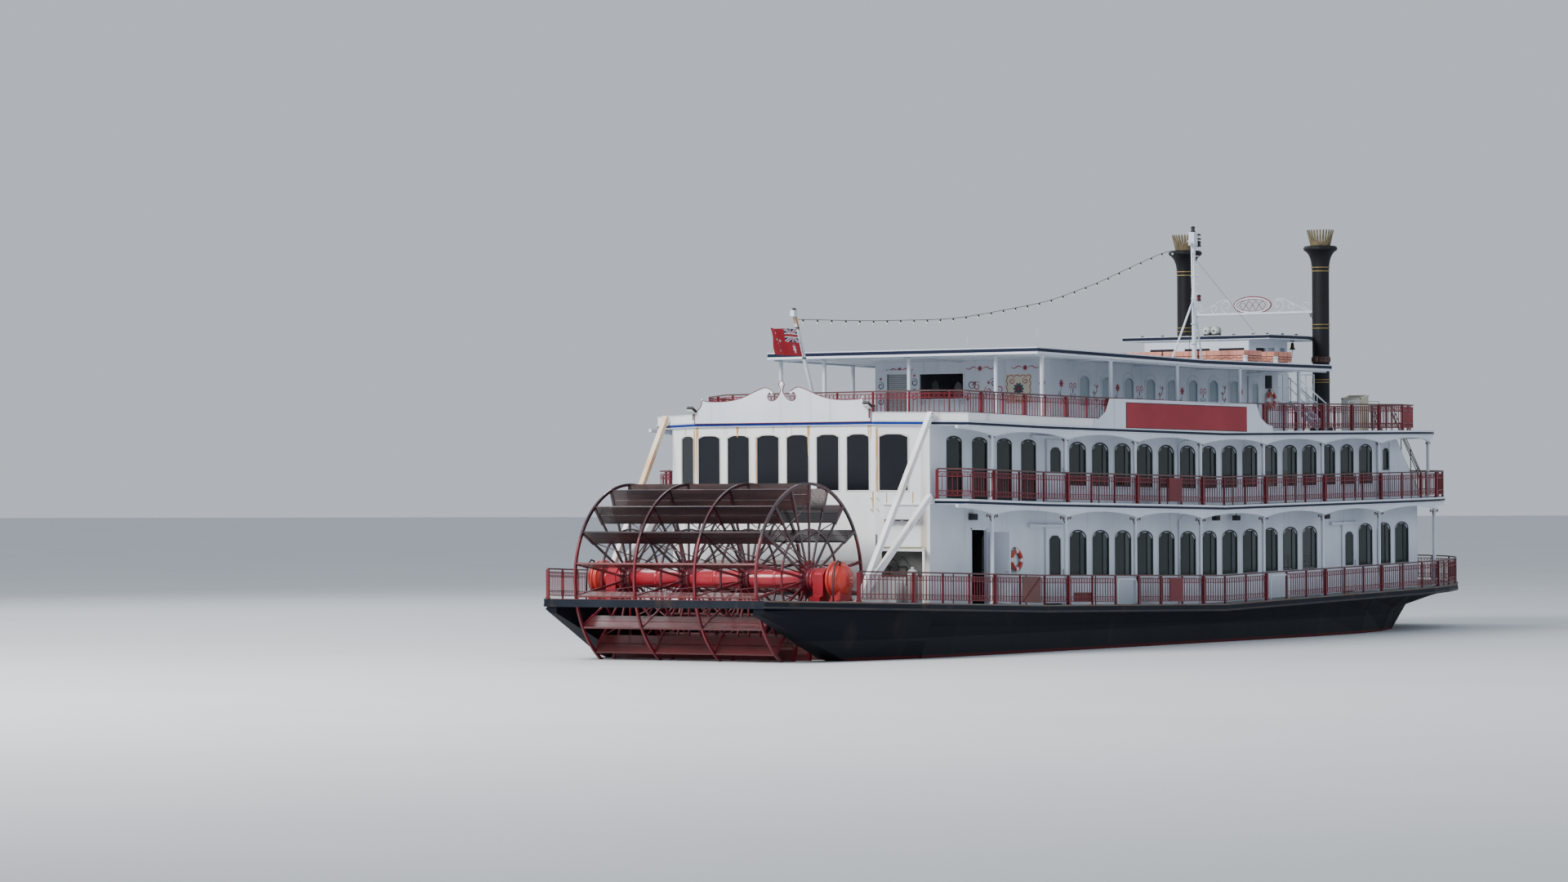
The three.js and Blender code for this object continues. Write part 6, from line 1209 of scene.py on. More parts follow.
lantern(b, mx - 0.07, my, 14.57, 0.085, 0.20, 0, 0)
lantern(b, mx + 0.30, my - 0.02, 14.31, 0.095, 0.20)
lantern(b, mx + 0.30, my - 0.02, 14.06, 0.095, 0.20, 0, 0)
lantern(b, mx + 0.34, my, 12.13, 0.085, 0.22, 0, 2)
b.beam((mx - 0.05, my, 12.02), (mx + 0.34, my, 12.02), 0.03, 0.03, 3)
for z in (13.95, 14.20):
    b.beam((mx - 0.05, my, z), (mx + 0.30, my - 0.02, z), 0.03, 0.03, 3)
b.ball((mx - 0.36, my, 14.12), 0.055, 1, 8, 6)
top_of = lambda x: 9.845 + canopy_fall(x)
for p in ((mx - 0.16, my - 0.14), (mx + 0.14, my + 0.12)):
    b.tube([(mx - 0.05, my, 14.0), (p[0], p[1], 12.0), (p[0], p[1], top_of(p[0]))], 0.007, 4, 3)
b.tube([(mx - 0.06, my, 13.9), (mx - 1.9, -4.6, top_of(mx - 1.9))], 0.008, 4, 4)
b.tube([(mx - 0.06, my, 13.6), (31.4, -2.5, 10.98)], 0.007, 4, 4)
for z in (12.9, 12.1, 11.2, 10.5):
    b.turned([(0.08, z - 0.02), (0.105, z - 0.02), (0.105, z + 0.02), (0.08, z + 0.02)], mx - 0.035, my, 12, 3)
for k in range(11):   # steps up one side
    z = 10.3 + 0.33 * k
    b.box(mx - 0.05, mx + 0.0, my - 0.20, my - 0.07, z, z + 0.018, 3)
b.turned([(0, 9.85), (0.18, 9.85), (0.18, 9.875), (0.11, 9.90), (0.095, 10.0)], mx, my, 16, 3)
b.make("mast_fittings", [DARK, LAMP, mat("port_lamp_red", srgb(128, 24, 34), 0.3, coat=0.3), WHITE, CORD], slot="grey_steel")

# ---------------------------------------------------------------- bell under the roof's forward edge
BELL_AT = (34.9, -2.15, 10.808)
b = Bag()
bx, by, bz = BELL_AT
b.turned([(0.0, bz - 0.07), (0.035, bz - 0.08), (0.055, bz - 0.11), (0.062, bz - 0.17), (0.070, bz - 0.24), (0.088, bz - 0.29), (0.112, bz - 0.325), (0.114, bz - 0.34), (0.096, bz - 0.335), (0.074, bz - 0.29), (0.055, bz - 0.2), (0, bz - 0.13)], bx, by, 28, 0)
b.tube([(bx, by, bz - 0.15), (bx, by, bz - 0.37)], 0.008, 6, 0)
b.ball((bx, by, bz - 0.375), 0.022, 0, 8, 6)
b.tube([(bx, by, bz - 0.39), (bx + 0.01, by, bz - 0.58)], 0.007, 5, 1)
b.ball((bx + 0.01, by, bz - 0.60), 0.018, 1, 6, 4)
b.tube([(bx, by - 0.04, bz + 0.0), (bx, by - 0.04, bz - 0.04), (bx, by, bz - 0.07), (bx, by + 0.04, bz - 0.04), (bx, by + 0.04, bz + 0.0)], 0.010, 6, 0)
b.box(bx - 0.06, bx + 0.06, by - 0.08, by + 0.08, bz - 0.01, bz, 0)
b.make("bell_detail", [BRONZE, CORD], slot="bronze")

# ---------------------------------------------------------------- canopy posts, roof fittings
b = Bag()
for x, y in [(11.4, 0), (11.4, 3.42), (11.4, -3.42)] + [(x, e * 5.2) for x in (11.4, 15.95, 20.55, 25.1, 29.6) for e in (-1, 1)]:
    f = canopy_fall(x)
    b.turned([(0.0, 7.364), (0.10, 7.364), (0.10, 7.39), (0.074, 7.40), (0.070, 7.44), (0.070, 9.52 + f), (0.095, 9.56 + f), (0.095, 9.617 + f), (0.0, 9.617 + f)], x, y, 12)
b.rise = canopy_fall
for y in (-5.2, 0.0, 5.2):
    b.box(11.0, 31.7, y - 0.035, y + 0.035, 9.56, 9.618)
for x in (11.4, 15.95, 20.55, 25.1, 29.6):
    b.box(x - 0.03, x + 0.03, -5.25, 5.25, 9.57, 9.618)
b.make("canopy_posts_and_beams", [WHITE], slot="white_paint")

b = Bag()
for yc in (-0.25, -0.58):
    xa, c, n = 31.65, 11.165, 24
    prof = [(xa, 0.0), (xa, 0.05), (xa + 0.005, 0.11), (xa + 0.03, 0.138), (xa + 0.08, 0.155), (xa + 0.21, 0.158), (xa + 0.34, 0.155), (xa + 0.39, 0.138), (xa + 0.415, 0.11), (xa + 0.42, 0.05), (xa + 0.42, 0.0)]
    rings = [[(x, yc + max(r, 0.001) * math.cos(2 * math.pi * k / n), c + max(r, 0.001) * math.sin(2 * math.pi * k / n)) for k in range(n)] for x, r in prof]
    b.loops(rings, 0, True)
    rings = [[(x, yc + r * math.cos(2 * math.pi * k / n), c + r * math.sin(2 * math.pi * k / n)) for k in range(n)] for x, r in ((xa + 0.2, 0.15), (xa + 0.2, 0.168), (xa + 0.225, 0.168), (xa + 0.225, 0.15))]
    b.loops(rings, 1, True)
    for e in (-1, 1):
        b.box(xa + 0.06, xa + 0.36, yc + e * 0.10 - 0.02, yc + e * 0.10 + 0.02, 10.972, 11.06, 1)
    b.box(xa - 0.006, xa + 0.01, yc - 0.032, yc + 0.032, c - 0.032, c + 0.032, 1)
b.box(31.60, 32.12, -0.76, -0.08, 10.971, 10.99, 1)
for y in (2.26, 1.40, 0.33, -0.94, -1.60, -2.40, -3.0):   # small lamps along the roof's aft edge
    b.box(31.29, 31.37, y - 0.035, y + 0.035, 10.97, 11.02, 1)
for x, y in ((32.4, -3.06), (33.5, -3.05), (33.0, -1.7)):
    b.box(x - 0.04, x + 0.04, y - 0.035, y + 0.035, 10.97, 11.03, 1)
b.tube([(32.2, -1.75, 10.975), (32.5, -2.25, 11.42)], 0.009, 4, 0)
for x, y, h in ((12.1, -4.6, 0.75), (13.2, -1.2, 0.5)):
    b.tube([(x, y, 9.84 + canopy_fall(x)), (x + 0.02, y, 9.84 + canopy_fall(x) + h)], 0.009, 4, 0)
b.make("roof_canisters", [mat("canister_shell", srgb(196, 206, 198), 0.45, second=srgb(168, 178, 170), amount=0.8, scale=4), DARK], slot="white_paint")

b = Bag(rise=canopy_fall)
for s, _ in SIDES:
    for x0, x1, ya, yb in ((25.92, 27.23, 3.13, 4.95), (25.92, 27.23, 1.66, 3.05), (25.92, 27.23, 0.12, 1.58), (28.18, 29.54, 3.13, 4.95)):
        lo, hi = sorted((s * ya, s * yb))
        z0, z1 = 9.90, 10.27
        zm = (z0 + z1) / 2
        n = max(3, round((hi - lo) / 0.30))
        for k in range(1, n):     # seams between the foam blocks, and webbing over every other one
            y = lo + (hi - lo) * k / n
            for x, o in ((x0, -0.006), (x1, 0.006)):
                b.box(*sorted((x, x + o)), y - 0.008, y + 0.008, z0 + 0.01, z1, 1)
            b.box(x0, x1, y - 0.008, y + 0.008, z1, z1 + 0.006, 1)
        m = 4
        for k in range(1, m):
            x = x0 + (x1 - x0) * k / m
            for y, o in ((lo, -0.006), (hi, 0.006)):
                b.box(x - 0.008, x + 0.008, *sorted((y, y + o)), z0 + 0.01, z1, 1)
            b.box(x - 0.008, x + 0.008, lo, hi, z1, z1 + 0.006, 1)
        # the gap between the two tiers, and the looped grab line
        path = [(x0, lo), (x1, lo), (x1, hi), (x0, hi)]
        b.strip(path, 0.016, zm - 0.012, zm + 0.012, 3, closed=True)
        loop = []
        for (xa_, ya_), (xb_, yb_) in zip(path, path[1:] + path[:1]):
            c = max(4, 2 * round(math.dist((xa_, ya_), (xb_, yb_)) / 0.34))
            loop += [(xa_ + (xb_ - xa_) * k / c + (0.014 if xa_ == xb_ == x1 else -0.014 if xa_ == xb_ else 0), ya_ + (yb_ - ya_) * k / c + (0.014 if ya_ == yb_ == hi else -0.014 if ya_ == yb_ else 0), z0 + 0.13 - (0.05 if k % 2 else 0)) for k in range(c)]
        b.tube(loop, 0.010, 5, 2, closed=True)
    for x in (25.70, 27.98):
        b.turned([(0, 9.842), (0.11, 9.842), (0.11, 9.87), (0.085, 9.88), (0.085, 10.02), (0.105, 10.03), (0.10, 10.07), (0, 10.08)], x, s * 5.12, 14, 0)
b.make("float_straps_and_bollards", [WHITE, mat("strap_salmon", srgb(184, 108, 88), 0.8, second=srgb(150, 84, 68), amount=0.7), mat("grab_line", srgb(150, 82, 70), 0.9), mat("float_shade", srgb(96, 52, 44), 0.9)], slot="float_fabric")

# ---------------------------------------------------------------- side boards: blank red field in a pale border
b = Bag()
for s, _ in SIDES:
    y = s * 6.0955
    pts = lambda e: sorted((y, y + s * e))
    # the dark red plate, a little larger than the field, is a painted shadow round the field's edge
    b.plate([(15.42, 7.335), (23.96, 7.335), (23.96, 8.215), (15.42, 8.215)][::1], "y", *pts(0.010), 0)
    b.plate([(15.445, 7.36), (23.935, 7.36), (23.935, 8.19), (15.445, 8.19)], "y", *pts(0.013), 1)
    out = [(13.3, 7.60), (13.6, 7.60), (14.1, 7.86), (14.35, 8.30), (24.7, 8.30), (24.95, 7.86), (25.45, 7.60), (25.9, 7.52)]
    b.tube([(x, s * 6.086, z) for x, z in smooth_line(out[:3], 4) + out[3:5] + smooth_line(out[5:], 4)], 0.018, 6, 2)
b.make("side_board_panels", [mat("board_edge_painted_shadow", srgb(70, 16, 28), 0.6, second=srgb(58, 16, 26), amount=0.5), SIGN_RED, WHITE], slot="red_paint")

# ---------------------------------------------------------------- flagpole lamp, string lights
b = Bag()
px_, pz_ = 4.42, 10.9
b.beam((px_ - 0.02, 0, pz_), (px_ - 0.02, 0, pz_ + 0.06), 0.11, 0.11, 0)
lantern(b, px_ - 0.02, 0, pz_ + 0.15, 0.075, 0.2, 0, 0)
b.beam((4.62, 0, 10.42), (4.44, 0, 10.86), 0.098, 0.098, 1)
for z in (9.5, 10.5):
    x = 5.85 + (4.42 - 5.85) * (z - 7.36) / (10.9 - 7.36)
    b.turned([(0.045, z - 0.02), (0.075, z - 0.02), (0.075, z + 0.02), (0.045, z + 0.02)], x, 0, 10, 0)
b.make("flagpole_fittings", [DARK, mat("rusty_pole_head", srgb(148, 96, 62), 0.8, second=srgb(196, 176, 150), amount=0.9, scale=6)], slot="grey_steel")
STRING = [(4.42, 0.0, 10.778), (6.38, 0.18, 10.838), (8.34, 0.36, 10.897), (10.3, 0.54, 10.972), (12.26, 0.72, 11.061), (14.23, 0.9, 11.15), (16.19, 1.08, 11.28), (18.15, 1.26, 11.481), (20.11, 1.44, 11.715), (22.07, 1.63, 11.949), (24.03, 1.81, 12.215), (25.99, 1.99, 12.579), (27.96, 2.17, 12.963), (29.92, 2.35, 13.414), (31.88, 2.53, 13.867), (33.84, 2.71, 14.28), (35.2, 2.84, 14.42)]
line = smooth_line(STRING, 5)
b = Bag()
b.tube(line, 0.011, 5, 0)
at_, point_ = [0], None
for a, c in zip(line, line[1:]):
    at_.append(at_[-1] + math.dist(a, c))
k, d = 0, 0.6
while d < at_[-1]:
    while at_[k + 1] < d:
        k += 1
    t = (d - at_[k]) / (at_[k + 1] - at_[k])
    p = [line[k][i] + (line[k + 1][i] - line[k][i]) * t for i in range(3)]
    b.turned([(0.0, p[2] + 0.005), (0.030, p[2]), (0.030, p[2] - 0.07), (0.0, p[2] - 0.07)], p[0], p[1], 7, 0)
    b.ball((p[0], p[1], p[2] - 0.115), 0.042, 1, 7, 5)
    d += 1.0
b.make("string_lights", [CORD, BULB], slot="lamp_plastic")

# ---------------------------------------------------------------- stairs to the steering house: rails, stanchions and a small roof over the landing
b = Bag()
for s, _ in SIDES:
    y = lambda v: s * v
    for x in (32.98, 33.62):
        b.tube([(x, y(4.22), 7.88), (x, y(3.02), 9.02)], 0.016, 6, 0)
        for t in (0.33, 0.66):
            yy, zz = 4.25 + (3.02 - 4.25) * t, 7.37 + (8.5 - 7.37) * t
            b.beam((x, y(yy), zz + 0.05), (x, y(yy), zz + 0.92), 0.024, 0.024, 0)
    rail_pts = [(33.66, y(3.0), 9.50), (35.0, y(3.0), 9.50)]
    b.tube(rail_pts, 0.02, 8, 0)
    b.tube([(33.66, y(3.0), 9.0), (35.0, y(3.0), 9.0)], 0.014, 6, 0)
    b.tube([(32.12, y(2.28), 9.50), (32.12, y(3.0), 9.50), (32.94, y(3.0), 9.50)], 0.02, 8, 0)
    b.tube([(32.12, y(2.28), 9.0), (32.12, y(3.0), 9.0), (32.94, y(3.0), 9.0)], 0.014, 6, 0)
    for x in (32.12, 32.53, 32.94, 33.68, 34.35, 35.0):
        b.beam((x, y(3.0), 8.50), (x, y(3.0), 9.50), 0.026, 0.026, 0)
    b.beam((32.12, y(2.3), 8.50), (32.12, y(2.3), 9.50), 0.026, 0.026, 0)
    b.box(32.0, 33.1, *sorted((y(2.21), y(3.1))), 10.66 - 1.09, 10.69 - 1.09, 0)
    for t in range(1, 5):
        q = t / 5
        yy, zz = 4.25 + (3.02 - 4.25) * q, 7.37 + (8.5 - 7.37) * q
        b.box(32.96, 33.64, *sorted((y(yy - 0.12), y(yy + 0.12))), zz + 0.021, zz + 0.027, 1)
for s, _ in SIDES:   # handrails of the bow stairs
    for y in (3.98, 4.80):
        for h in (0.92, 0.60):
            b.tube([(37.80, s * y, 7.44 + h), (40.20, s * y, 4.86 + h)], 0.018, 6, 2)
        for t in (0.0, 0.33, 0.66, 1.0):
            x, z = 37.80 + 2.40 * t, 7.44 - 2.58 * t
            b.beam((x, s * y, z - 0.06), (x, s * y, z + 0.94), 0.026, 0.026, 2)
b.make("stair_rails", [WHITE, STEEL, DARK], slot="white_paint")

# ---------------------------------------------------------------- open-topped windbreak at the head of the bow stairs
b = Bag()
for s, _ in SIDES:
    ya, yb = s * 2.80, s * 3.62
    y0, y1 = sorted((ya, yb))
    xa, xb, z0, z1 = 37.62, 38.20, 7.362, 8.74
    b.box(xa, xa + 0.03, y0, y1, z0, 8.62, 1)                                   # aft panel
    for u, v in ((y0, y0 + 0.05), (y1 - 0.05, y1)):
        b.box(xa - 0.012, xa + 0.04, u, v, z0, 8.66, 0)
    b.box(xa - 0.012, xa + 0.04, y0, y1, 8.58, 8.63, 0)
    b.box(xa - 0.012, xa + 0.04, y0, y1, 8.05, 8.09, 0)
    b.box(xb, xb + 0.03, y0, y1, z0, z1, 1)                                     # forward panel, a little higher
    b.box(xb - 0.02, xb + 0.045, y0 - 0.01, y1 + 0.01, z1 - 0.04, z1 + 0.01, 0)
    for y in (ya, yb):                                                          # cheeks whose top edge rises forward
        u, v = sorted((y - s * 0.015, y + s * 0.015))
        b.loops([[(x, u, z0), (x, v, z0), (x, v, z), (x, u, z)] for x, z in ((xa, 8.60), (xb, z1 - 0.01))], 0)
        b.loops([[(x, u - 0.012, z - 0.03), (x, v + 0.012, z - 0.03), (x, v + 0.012, z + 0.01), (x, u - 0.012, z + 0.01)] for x, z in ((xa - 0.01, 8.61), (xb + 0.03, z1 + 0.002))], 0)
    b.tube([(36.6, s * 3.62, 8.50), (37.55, s * 3.62, 8.50), (39.1, s * 3.62, 8.50)], 0.018, 6, 0)
    for x in (36.6, 39.1):
        b.tube([(x, s * 3.62, 7.362), (x, s * 3.62, 8.50)], 0.018, 6, 0)
    b.box(37.70, 37.92, *sorted((s * 3.0, s * 3.2)), z0, 7.9, 2)
b.make("bow_stair_hoods", [BEIGE, mat("windbreak_panel_paint", srgb(214, 218, 222), 0.5, second=srgb(190, 196, 202), amount=0.7), DARK], slot="white_paint")

# ---------------------------------------------------------------- painted decoration of the top house: plain scrolls and rosettes
MURAL_RED = mat("mural_red", srgb(176, 46, 60), 0.55, second=srgb(150, 44, 58), amount=0.6)
MURAL_DARK = mat("mural_charcoal", srgb(66, 70, 80), 0.55, second=srgb(92, 96, 104), amount=0.6)
# grey-blue for the arched shadows painted over the top house windows
ARCH_PAINTED_SHADOW = mat("window_arch_painted_shadow", srgb(176, 188, 200), 0.55, second=srgb(196, 204, 212), amount=0.8)
MURAL_CREAM = mat("mural_cream_panel", srgb(214, 206, 188), 0.55, second=srgb(196, 188, 168), amount=0.7, scale=2)


def ribbon(b, pts, w, place, t0, t1, m):
    n = len(pts)
    rings = []
    for i, p in enumerate(pts):
        a, c = pts[max(i - 1, 0)], pts[min(i + 1, n - 1)]
        L = math.dist(a, c) or 1
        nx, ny = -(c[1] - a[1]) / L, (c[0] - a[0]) / L
        h = (w[i] if isinstance(w, list) else w) / 2
        rings.append([place((p[0] + nx * h, p[1] + ny * h), t0), place((p[0] - nx * h, p[1] - ny * h), t0), place((p[0] - nx * h, p[1] - ny * h), t1), place((p[0] + nx * h, p[1] + ny * h), t1)])
    b.loops(rings, m)


def blot(b, c, rx, ry, turn, place, t0, t1, m, n=10):
    ct, st = math.cos(turn), math.sin(turn)
    pts = [(c[0] + rx * math.cos(2 * math.pi * k / n) * ct - ry * math.sin(2 * math.pi * k / n) * st, c[1] + rx * math.cos(2 * math.pi * k / n) * st + ry * math.sin(2 * math.pi * k / n) * ct) for k in range(n)]
    b.put([place(q, t0) for q in pts] + [place(q, t1) for q in pts], [tuple(range(n))[::-1], tuple(range(n, 2 * n))] + [(j, (j + 1) % n, n + (j + 1) % n, n + j) for j in range(n)], m)


def rosette(b, c, r, place, t0, t1, petals=8, m=0, core=1):
    for k in range(petals):
        a = 2 * math.pi * k / petals
        blot(b, (c[0] + 0.58 * r * math.cos(a), c[1] + 0.58 * r * math.sin(a)), 0.42 * r, 0.2 * r, a, place, t0, t1, m, 8)
    t2 = t1 + (t1 - t0) * 0.5
    blot(b, c, 0.24 * r, 0.24 * r, 0, place, min(t0, t2), max(t0, t2), core)


def curl(c, r, turns, start, sense=1, n=30):
    return [(c[0] + r * (1 - 0.78 * i / n) * math.cos(start + sense * turns * 2 * math.pi * i / n), c[1] + r * (1 - 0.78 * i / n) * math.sin(start + sense * turns * 2 * math.pi * i / n)) for i in range(n + 1)]


def taper(w, n):
    return [w * (0.35 + 0.65 * math.sin(math.pi * min(1, (i + 0.5) / n))) for i in range(n)]


b = Bag()
for s, _ in SIDES:
    t0, t1 = sorted((s * 3.500, s * 3.504))
    if s < 0:
        t0, t1 = -3.500, -3.504
    else:
        t0, t1 = 3.500, 3.504
    for k, x in enumerate((15.55, 16.33, 17.865, 19.395, 20.925, 22.455, 23.985, 25.515, 27.045, 28.36)):
        z = 8.62 + 0.10 * math.sin(1.9 * k)
        if k % 3 == 0:
            rosette(b, (x, z + 0.28), 0.15, side, t0, t1, 8, 0, 1)
            p = smooth_line([(x, z + 0.13), (x - 0.07, z - 0.05), (x + 0.05, z - 0.25), (x - 0.02, z - 0.46)], 5)
            ribbon(b, p, taper(0.03, len(p)), side, t0, t1, 1)
            for e, dz in ((-1, -0.08), (1, -0.28)):
                p = curl((x + e * 0.13, z + dz), 0.09, 1.2, math.pi / 2 if e > 0 else math.pi / 2, -e)
                ribbon(b, p, taper(0.026, len(p)), side, t0, t1, 1)
        elif k % 3 == 1:
            for e in (-1, 1):
                p = curl((x + e * 0.12, z + 0.12), 0.13, 1.35, -math.pi / 2, e)
                ribbon(b, p, taper(0.034, len(p)), side, t0, t1, 0)
                p = curl((x + e * 0.10, z - 0.22), 0.10, 1.2, math.pi / 2, -e)
                ribbon(b, p, taper(0.028, len(p)), side, t0, t1, 1)
            blot(b, (x, z - 0.04), 0.03, 0.11, 0, side, t0, t1, 1)
        else:
            p = smooth_line([(x - 0.1, z + 0.38), (x + 0.1, z + 0.18), (x - 0.1, z - 0.05), (x + 0.1, z - 0.26), (x, z - 0.46)], 6)
            ribbon(b, p, taper(0.04, len(p)), side, t0, t1, 1)
            for dx, dz in ((0.12, 0.30), (-0.12, 0.08), (0.12, -0.14)):
                rosette(b, (x + dx, z + dz), 0.07, side, t0, t1, 6, 0, 1)
    # arched shadows painted over the windows
    for k in range(8):
        c = 17.1 + 1.53 * k
        p = [(c + 0.45 * math.cos(math.pi * i / 16), 8.98 + 0.40 * math.sin(math.pi * i / 16)) for i in range(17)]
        ribbon(b, p, taper(0.028, len(p)), side, t0, t1, 2)
# the aft wall: a cream panel, a vine round the hatch, rosettes over both ends
t0, t1 = 14.75, 14.746
put_aft = dict(place=cross, t0=t0, t1=t1)
b.plate([(-2.80, 8.22), (-1.78, 8.22), (-1.78, 9.22), (-2.80, 9.22)], "x", 14.747, 14.7495, 3)
t1 = 14.743
for z in (8.27, 9.17):
    p = [(-2.76 + 0.94 * i / 24, z + 0.025 * math.sin(i * math.pi / 3)) for i in range(25)]
    ribbon(b, p, 0.025, cross, t0, t1, 0)
for y in (-2.75, -1.83):
    p = [(y + 0.025 * math.sin(i * math.pi / 3), 8.27 + 0.90 * i / 24) for i in range(25)]
    ribbon(b, p, 0.025, cross, t0, t1, 0)
rosette(b, (-2.29, 8.72), 0.22, cross, t0, t1, 10, 1, 0)
for e in (-1, 1):
    for f in (-1, 1):
        p = curl((-2.29 + e * 0.27, 8.72 + f * 0.27), 0.12, 1.3, math.pi / 2 * f, e * f)
        ribbon(b, p, taper(0.03, len(p)), cross, t0, t1, 0)
for y in (-2.55, 2.50, -0.75):
    rosette(b, (y, 9.44), 0.10, cross, t0, t1, 8, 0, 1)
    for e in (-1, 1):
        p = smooth_line([(y + e * 0.12, 9.44), (y + e * 0.26, 9.50), (y + e * 0.42, 9.42), (y + e * 0.56, 9.46)], 4)
        ribbon(b, p, taper(0.03, len(p)), cross, t0, t1, 0)
for k in range(7):
    y = -1.52 + 0.22 * k
    z = 8.72 + 0.22 * math.sin(1.7 * k)
    p = curl((y, z), 0.16, 1.3, 0.6 * k, 1 if k % 2 else -1)
    ribbon(b, p, taper(0.034, len(p)), cross, t0, t1, k % 2)
for k in range(5):
    rosette(b, (-1.38 + 0.28 * k, 8.40 + 0.55 * (k % 2)), 0.07, cross, t0, t1, 6, 0, 1)
for y, z in ((-3.2, 8.9), (-3.2, 8.35), (1.9, 9.0), (1.9, 8.5), (3.28, 8.9), (3.28, 8.35)):
    p = curl((y, z), 0.14, 1.4, math.pi / 3, 1)
    ribbon(b, p, taper(0.036, len(p)), cross, t0, t1, 1)
    rosette(b, (y, z + 0.24), 0.06, cross, t0, t1, 6, 0, 1)
b.make("top_house_decoration", [MURAL_RED, MURAL_DARK, ARCH_PAINTED_SHADOW, MURAL_CREAM], slot="white_paint")

# roller shutter in the aft doorway and a ledge at the hatch
b = Bag()
z = 7.40
while z < 9.26:
    b.loops([[(14.785, y, z), (14.765, y, z + 0.012), (14.765, y, z + 0.052), (14.785, y, z + 0.064)] for y in (2.11, 2.99)], 0)
    b.box(14.785, 14.80, 2.11, 2.99, z, z + 0.065, 0)
    z += 0.066
b.box(14.72, 14.80, 2.02, 2.10, 7.38, 9.34, 1)
b.box(14.72, 14.80, 3.00, 3.08, 7.38, 9.34, 1)
b.box(14.70, 14.80, 2.02, 3.08, 9.30, 9.44, 1)
b.box(14.58, 14.83, -0.16, 1.76, 8.37, 8.41, 1)
for y in (0.0, 0.8, 1.6):
    b.beam((14.74, y, 8.22), (14.60, y, 8.36), 0.03, 0.03, 1)
b.frame([(-0.14, 8.41), (1.74, 8.41), (1.74, 9.34), (-0.14, 9.34)], [(-0.08, 8.42), (1.68, 8.42), (1.68, 9.28), (-0.08, 9.28)], cross, 14.735, 14.80, 1)
b.make("shutter_and_hatch", [mat("shutter_grey", srgb(168, 172, 176), 0.5, second=srgb(146, 150, 154), amount=0.8), WHITE], slot="grey_steel")

# ---------------------------------------------------------------- flag, streaming aft
NU, NV = 96, 48


def flag_colour(u, v):
    """0 red, 1 white, 2 blue; u from the hoist 0..2, v from the top 0..1"""
    if u < 1.0 and v < 0.5:
        x, y = u / 1.0, v / 0.5          # canton, twice as wide as high
        X, Y = (x - 0.5) * 2, (y - 0.5)
        if abs(Y) < 0.10 or abs(X) < 0.10:
            return 0
        if abs(Y) < 0.165 or abs(X) < 0.165:
            return 1
        for k in (1, -1):
            d = (Y * 2 - k * X) / math.sqrt(5) * 1.0
            if abs(d) < 0.045:
                return 0
            if abs(d) < 0.115:
                return 1
        return 2

    def star(cu, cv, r, n, inner):
        a, d = math.atan2(v - cv, u - cu) + math.pi / 2, math.hypot(u - cu, v - cv)
        t = (a / (2 * math.pi) * n) % 1
        t = abs(t - 0.5) * 2          # 1 on a point, 0 between
        q = math.pi / n * (1 - t)
        p0, p1 = (r, 0.0), (r * inner * math.cos(math.pi / n), r * inner * math.sin(math.pi / n))
        # distance of the star's edge along the ray at angle q
        x0, y0, x1, y1 = p0[0], p0[1], p1[0], p1[1]
        den = math.sin(q) * (x1 - x0) - math.cos(q) * (y1 - y0)
        edge = (x1 * y0 - x0 * y1) / den * -1 if abs(den) > 1e-9 else r
        return d < abs(edge)
    if star(0.5, 0.75, 0.20, 7, 0.45):
        return 1
    for cu, cv, r in ((1.5, 0.84, 0.075), (1.25, 0.46, 0.075), (1.5, 0.17, 0.075), (1.73, 0.42, 0.075), (1.60, 0.56, 0.045)):
        if star(cu, cv, r, 7 if r > 0.05 else 5, 0.45):
            return 1
    return 0


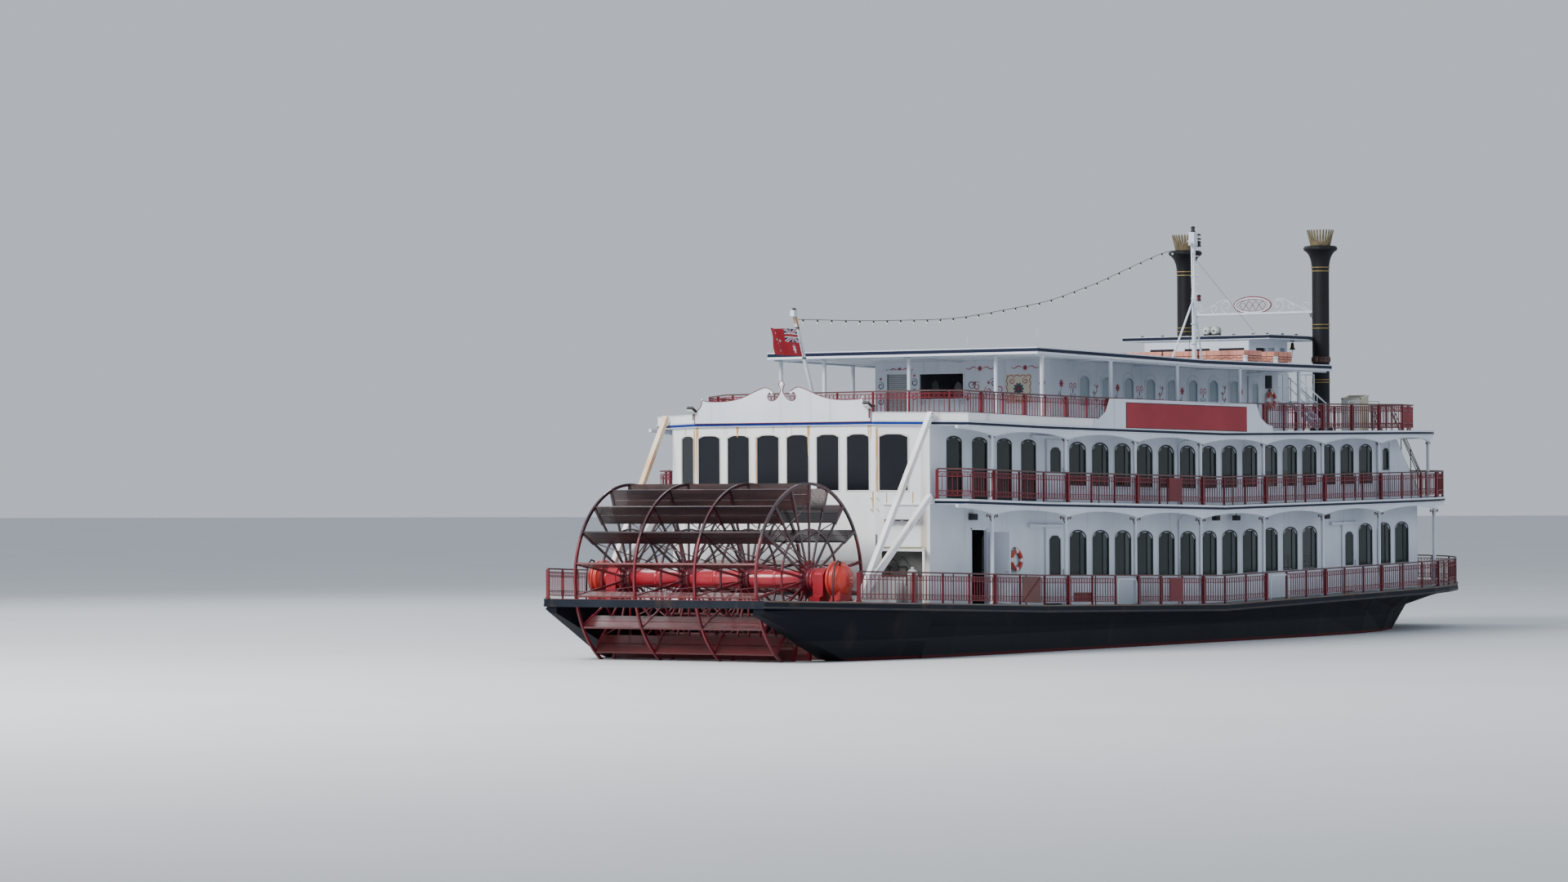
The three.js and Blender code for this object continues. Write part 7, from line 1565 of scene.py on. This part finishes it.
hoist = lambda z: 5.85 + (4.42 - 5.85) * (z - 7.36) / (10.9 - 7.36) - 0.065
rows = []
for j in range(NV + 1):
    v = j / NV
    row = []
    for i in range(NU + 1):
        u = i / NU
        amp = 0.012 + 0.066 * min(1, u * 1.8)
        y = amp * math.sin(2 * math.pi * (1.75 * u) + 1.1 * v + 0.4) + 0.012 * math.sin(9 * u + 7 * v) * u
        z = 10.45 - 0.90 * v + 0.030 * math.sin(5.2 * u + 0.8) * u - 0.03 * u * (1 - v) + 0.03 * u
        x = hoist(10.45 - 0.90 * v) - 1.63 * u + 0.02 * math.sin(6 * v) * u
        row.append((x, y, z))
    rows.append(row)
b = Bag()
verts = [p for r in rows for p in r]
for j in range(NV):
    for i in range(NU):
        pass
faces, mats_ = [], []
for j in range(NV):
    for i in range(NU):
        a = j * (NU + 1) + i
        faces.append((a, a + 1, a + NU + 2, a + NU + 1))
        mats_.append(flag_colour((i + 0.5) / NU * 2, (j + 0.5) / NV))
b.put(verts, faces, 0, True)
b.m[-len(faces):] = mats_
cloth = b.make("flag_cloth", [FLAG_RED, FLAG_WHITE, FLAG_BLUE], slot="flag_cloth", recalc=False)
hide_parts("flag")
b = Bag()
for j in (0, NV // 2, NV):
    p = rows[j][0]
    x = hoist(p[2]) + 0.065
    b.tube([(x + 0.02, 0, p[2]), (p[0] - 0.01, p[1], p[2])], 0.008, 5)
b.make("flag_ties", [CORD], slot="grey_steel")

# ---------------------------------------------------------------- floor at the waterline, light
FLOOR = mat("studio_floor", srgb(206, 209, 212), 0.8, second=srgb(198, 201, 205), amount=0.5, scale=0.2, bump=0.0)
me = bpy.data.meshes.new("floor")
S = 400.0
me.from_pydata([(-S, -S, 0), (S, -S, 0), (S, S, 0), (-S, S, 0)], [], [(0, 1, 2, 3)])
me.materials.append(FLOOR)
floor = bpy.data.objects.new("floor", me)
bpy.context.scene.collection.objects.link(floor)

world = bpy.data.worlds.new("studio")
bpy.context.scene.world = world
world.use_nodes = True
bg = world.node_tree.nodes["Background"]
bg.inputs["Color"].default_value = (0.66, 0.72, 0.80, 1)
bg.inputs["Strength"].default_value = 0.86


def area(name, loc, target, size, watts, color=(1, 1, 1)):
    d = bpy.data.lights.new(name, "AREA")
    d.shape, d.size, d.energy, d.color = "DISK", size, watts, color
    o = bpy.data.objects.new(name, d)
    o.location = loc
    o.rotation_euler = (Vector(target) - Vector(loc)).to_track_quat("-Z", "Y").to_euler()
    bpy.context.scene.collection.objects.link(o)
    return o


area("key_light", (-42, 8, 30), (-2, 0, 3), 22, 32000, (1.0, 0.98, 0.96))
area("fill_light", (14, -46, 26), (2, 0, 3), 28, 3600, (0.82, 0.90, 1.0))
area("rim_light", (10, 36, 26), (0, 0, 4), 22, 6000, (0.95, 0.97, 1.0))
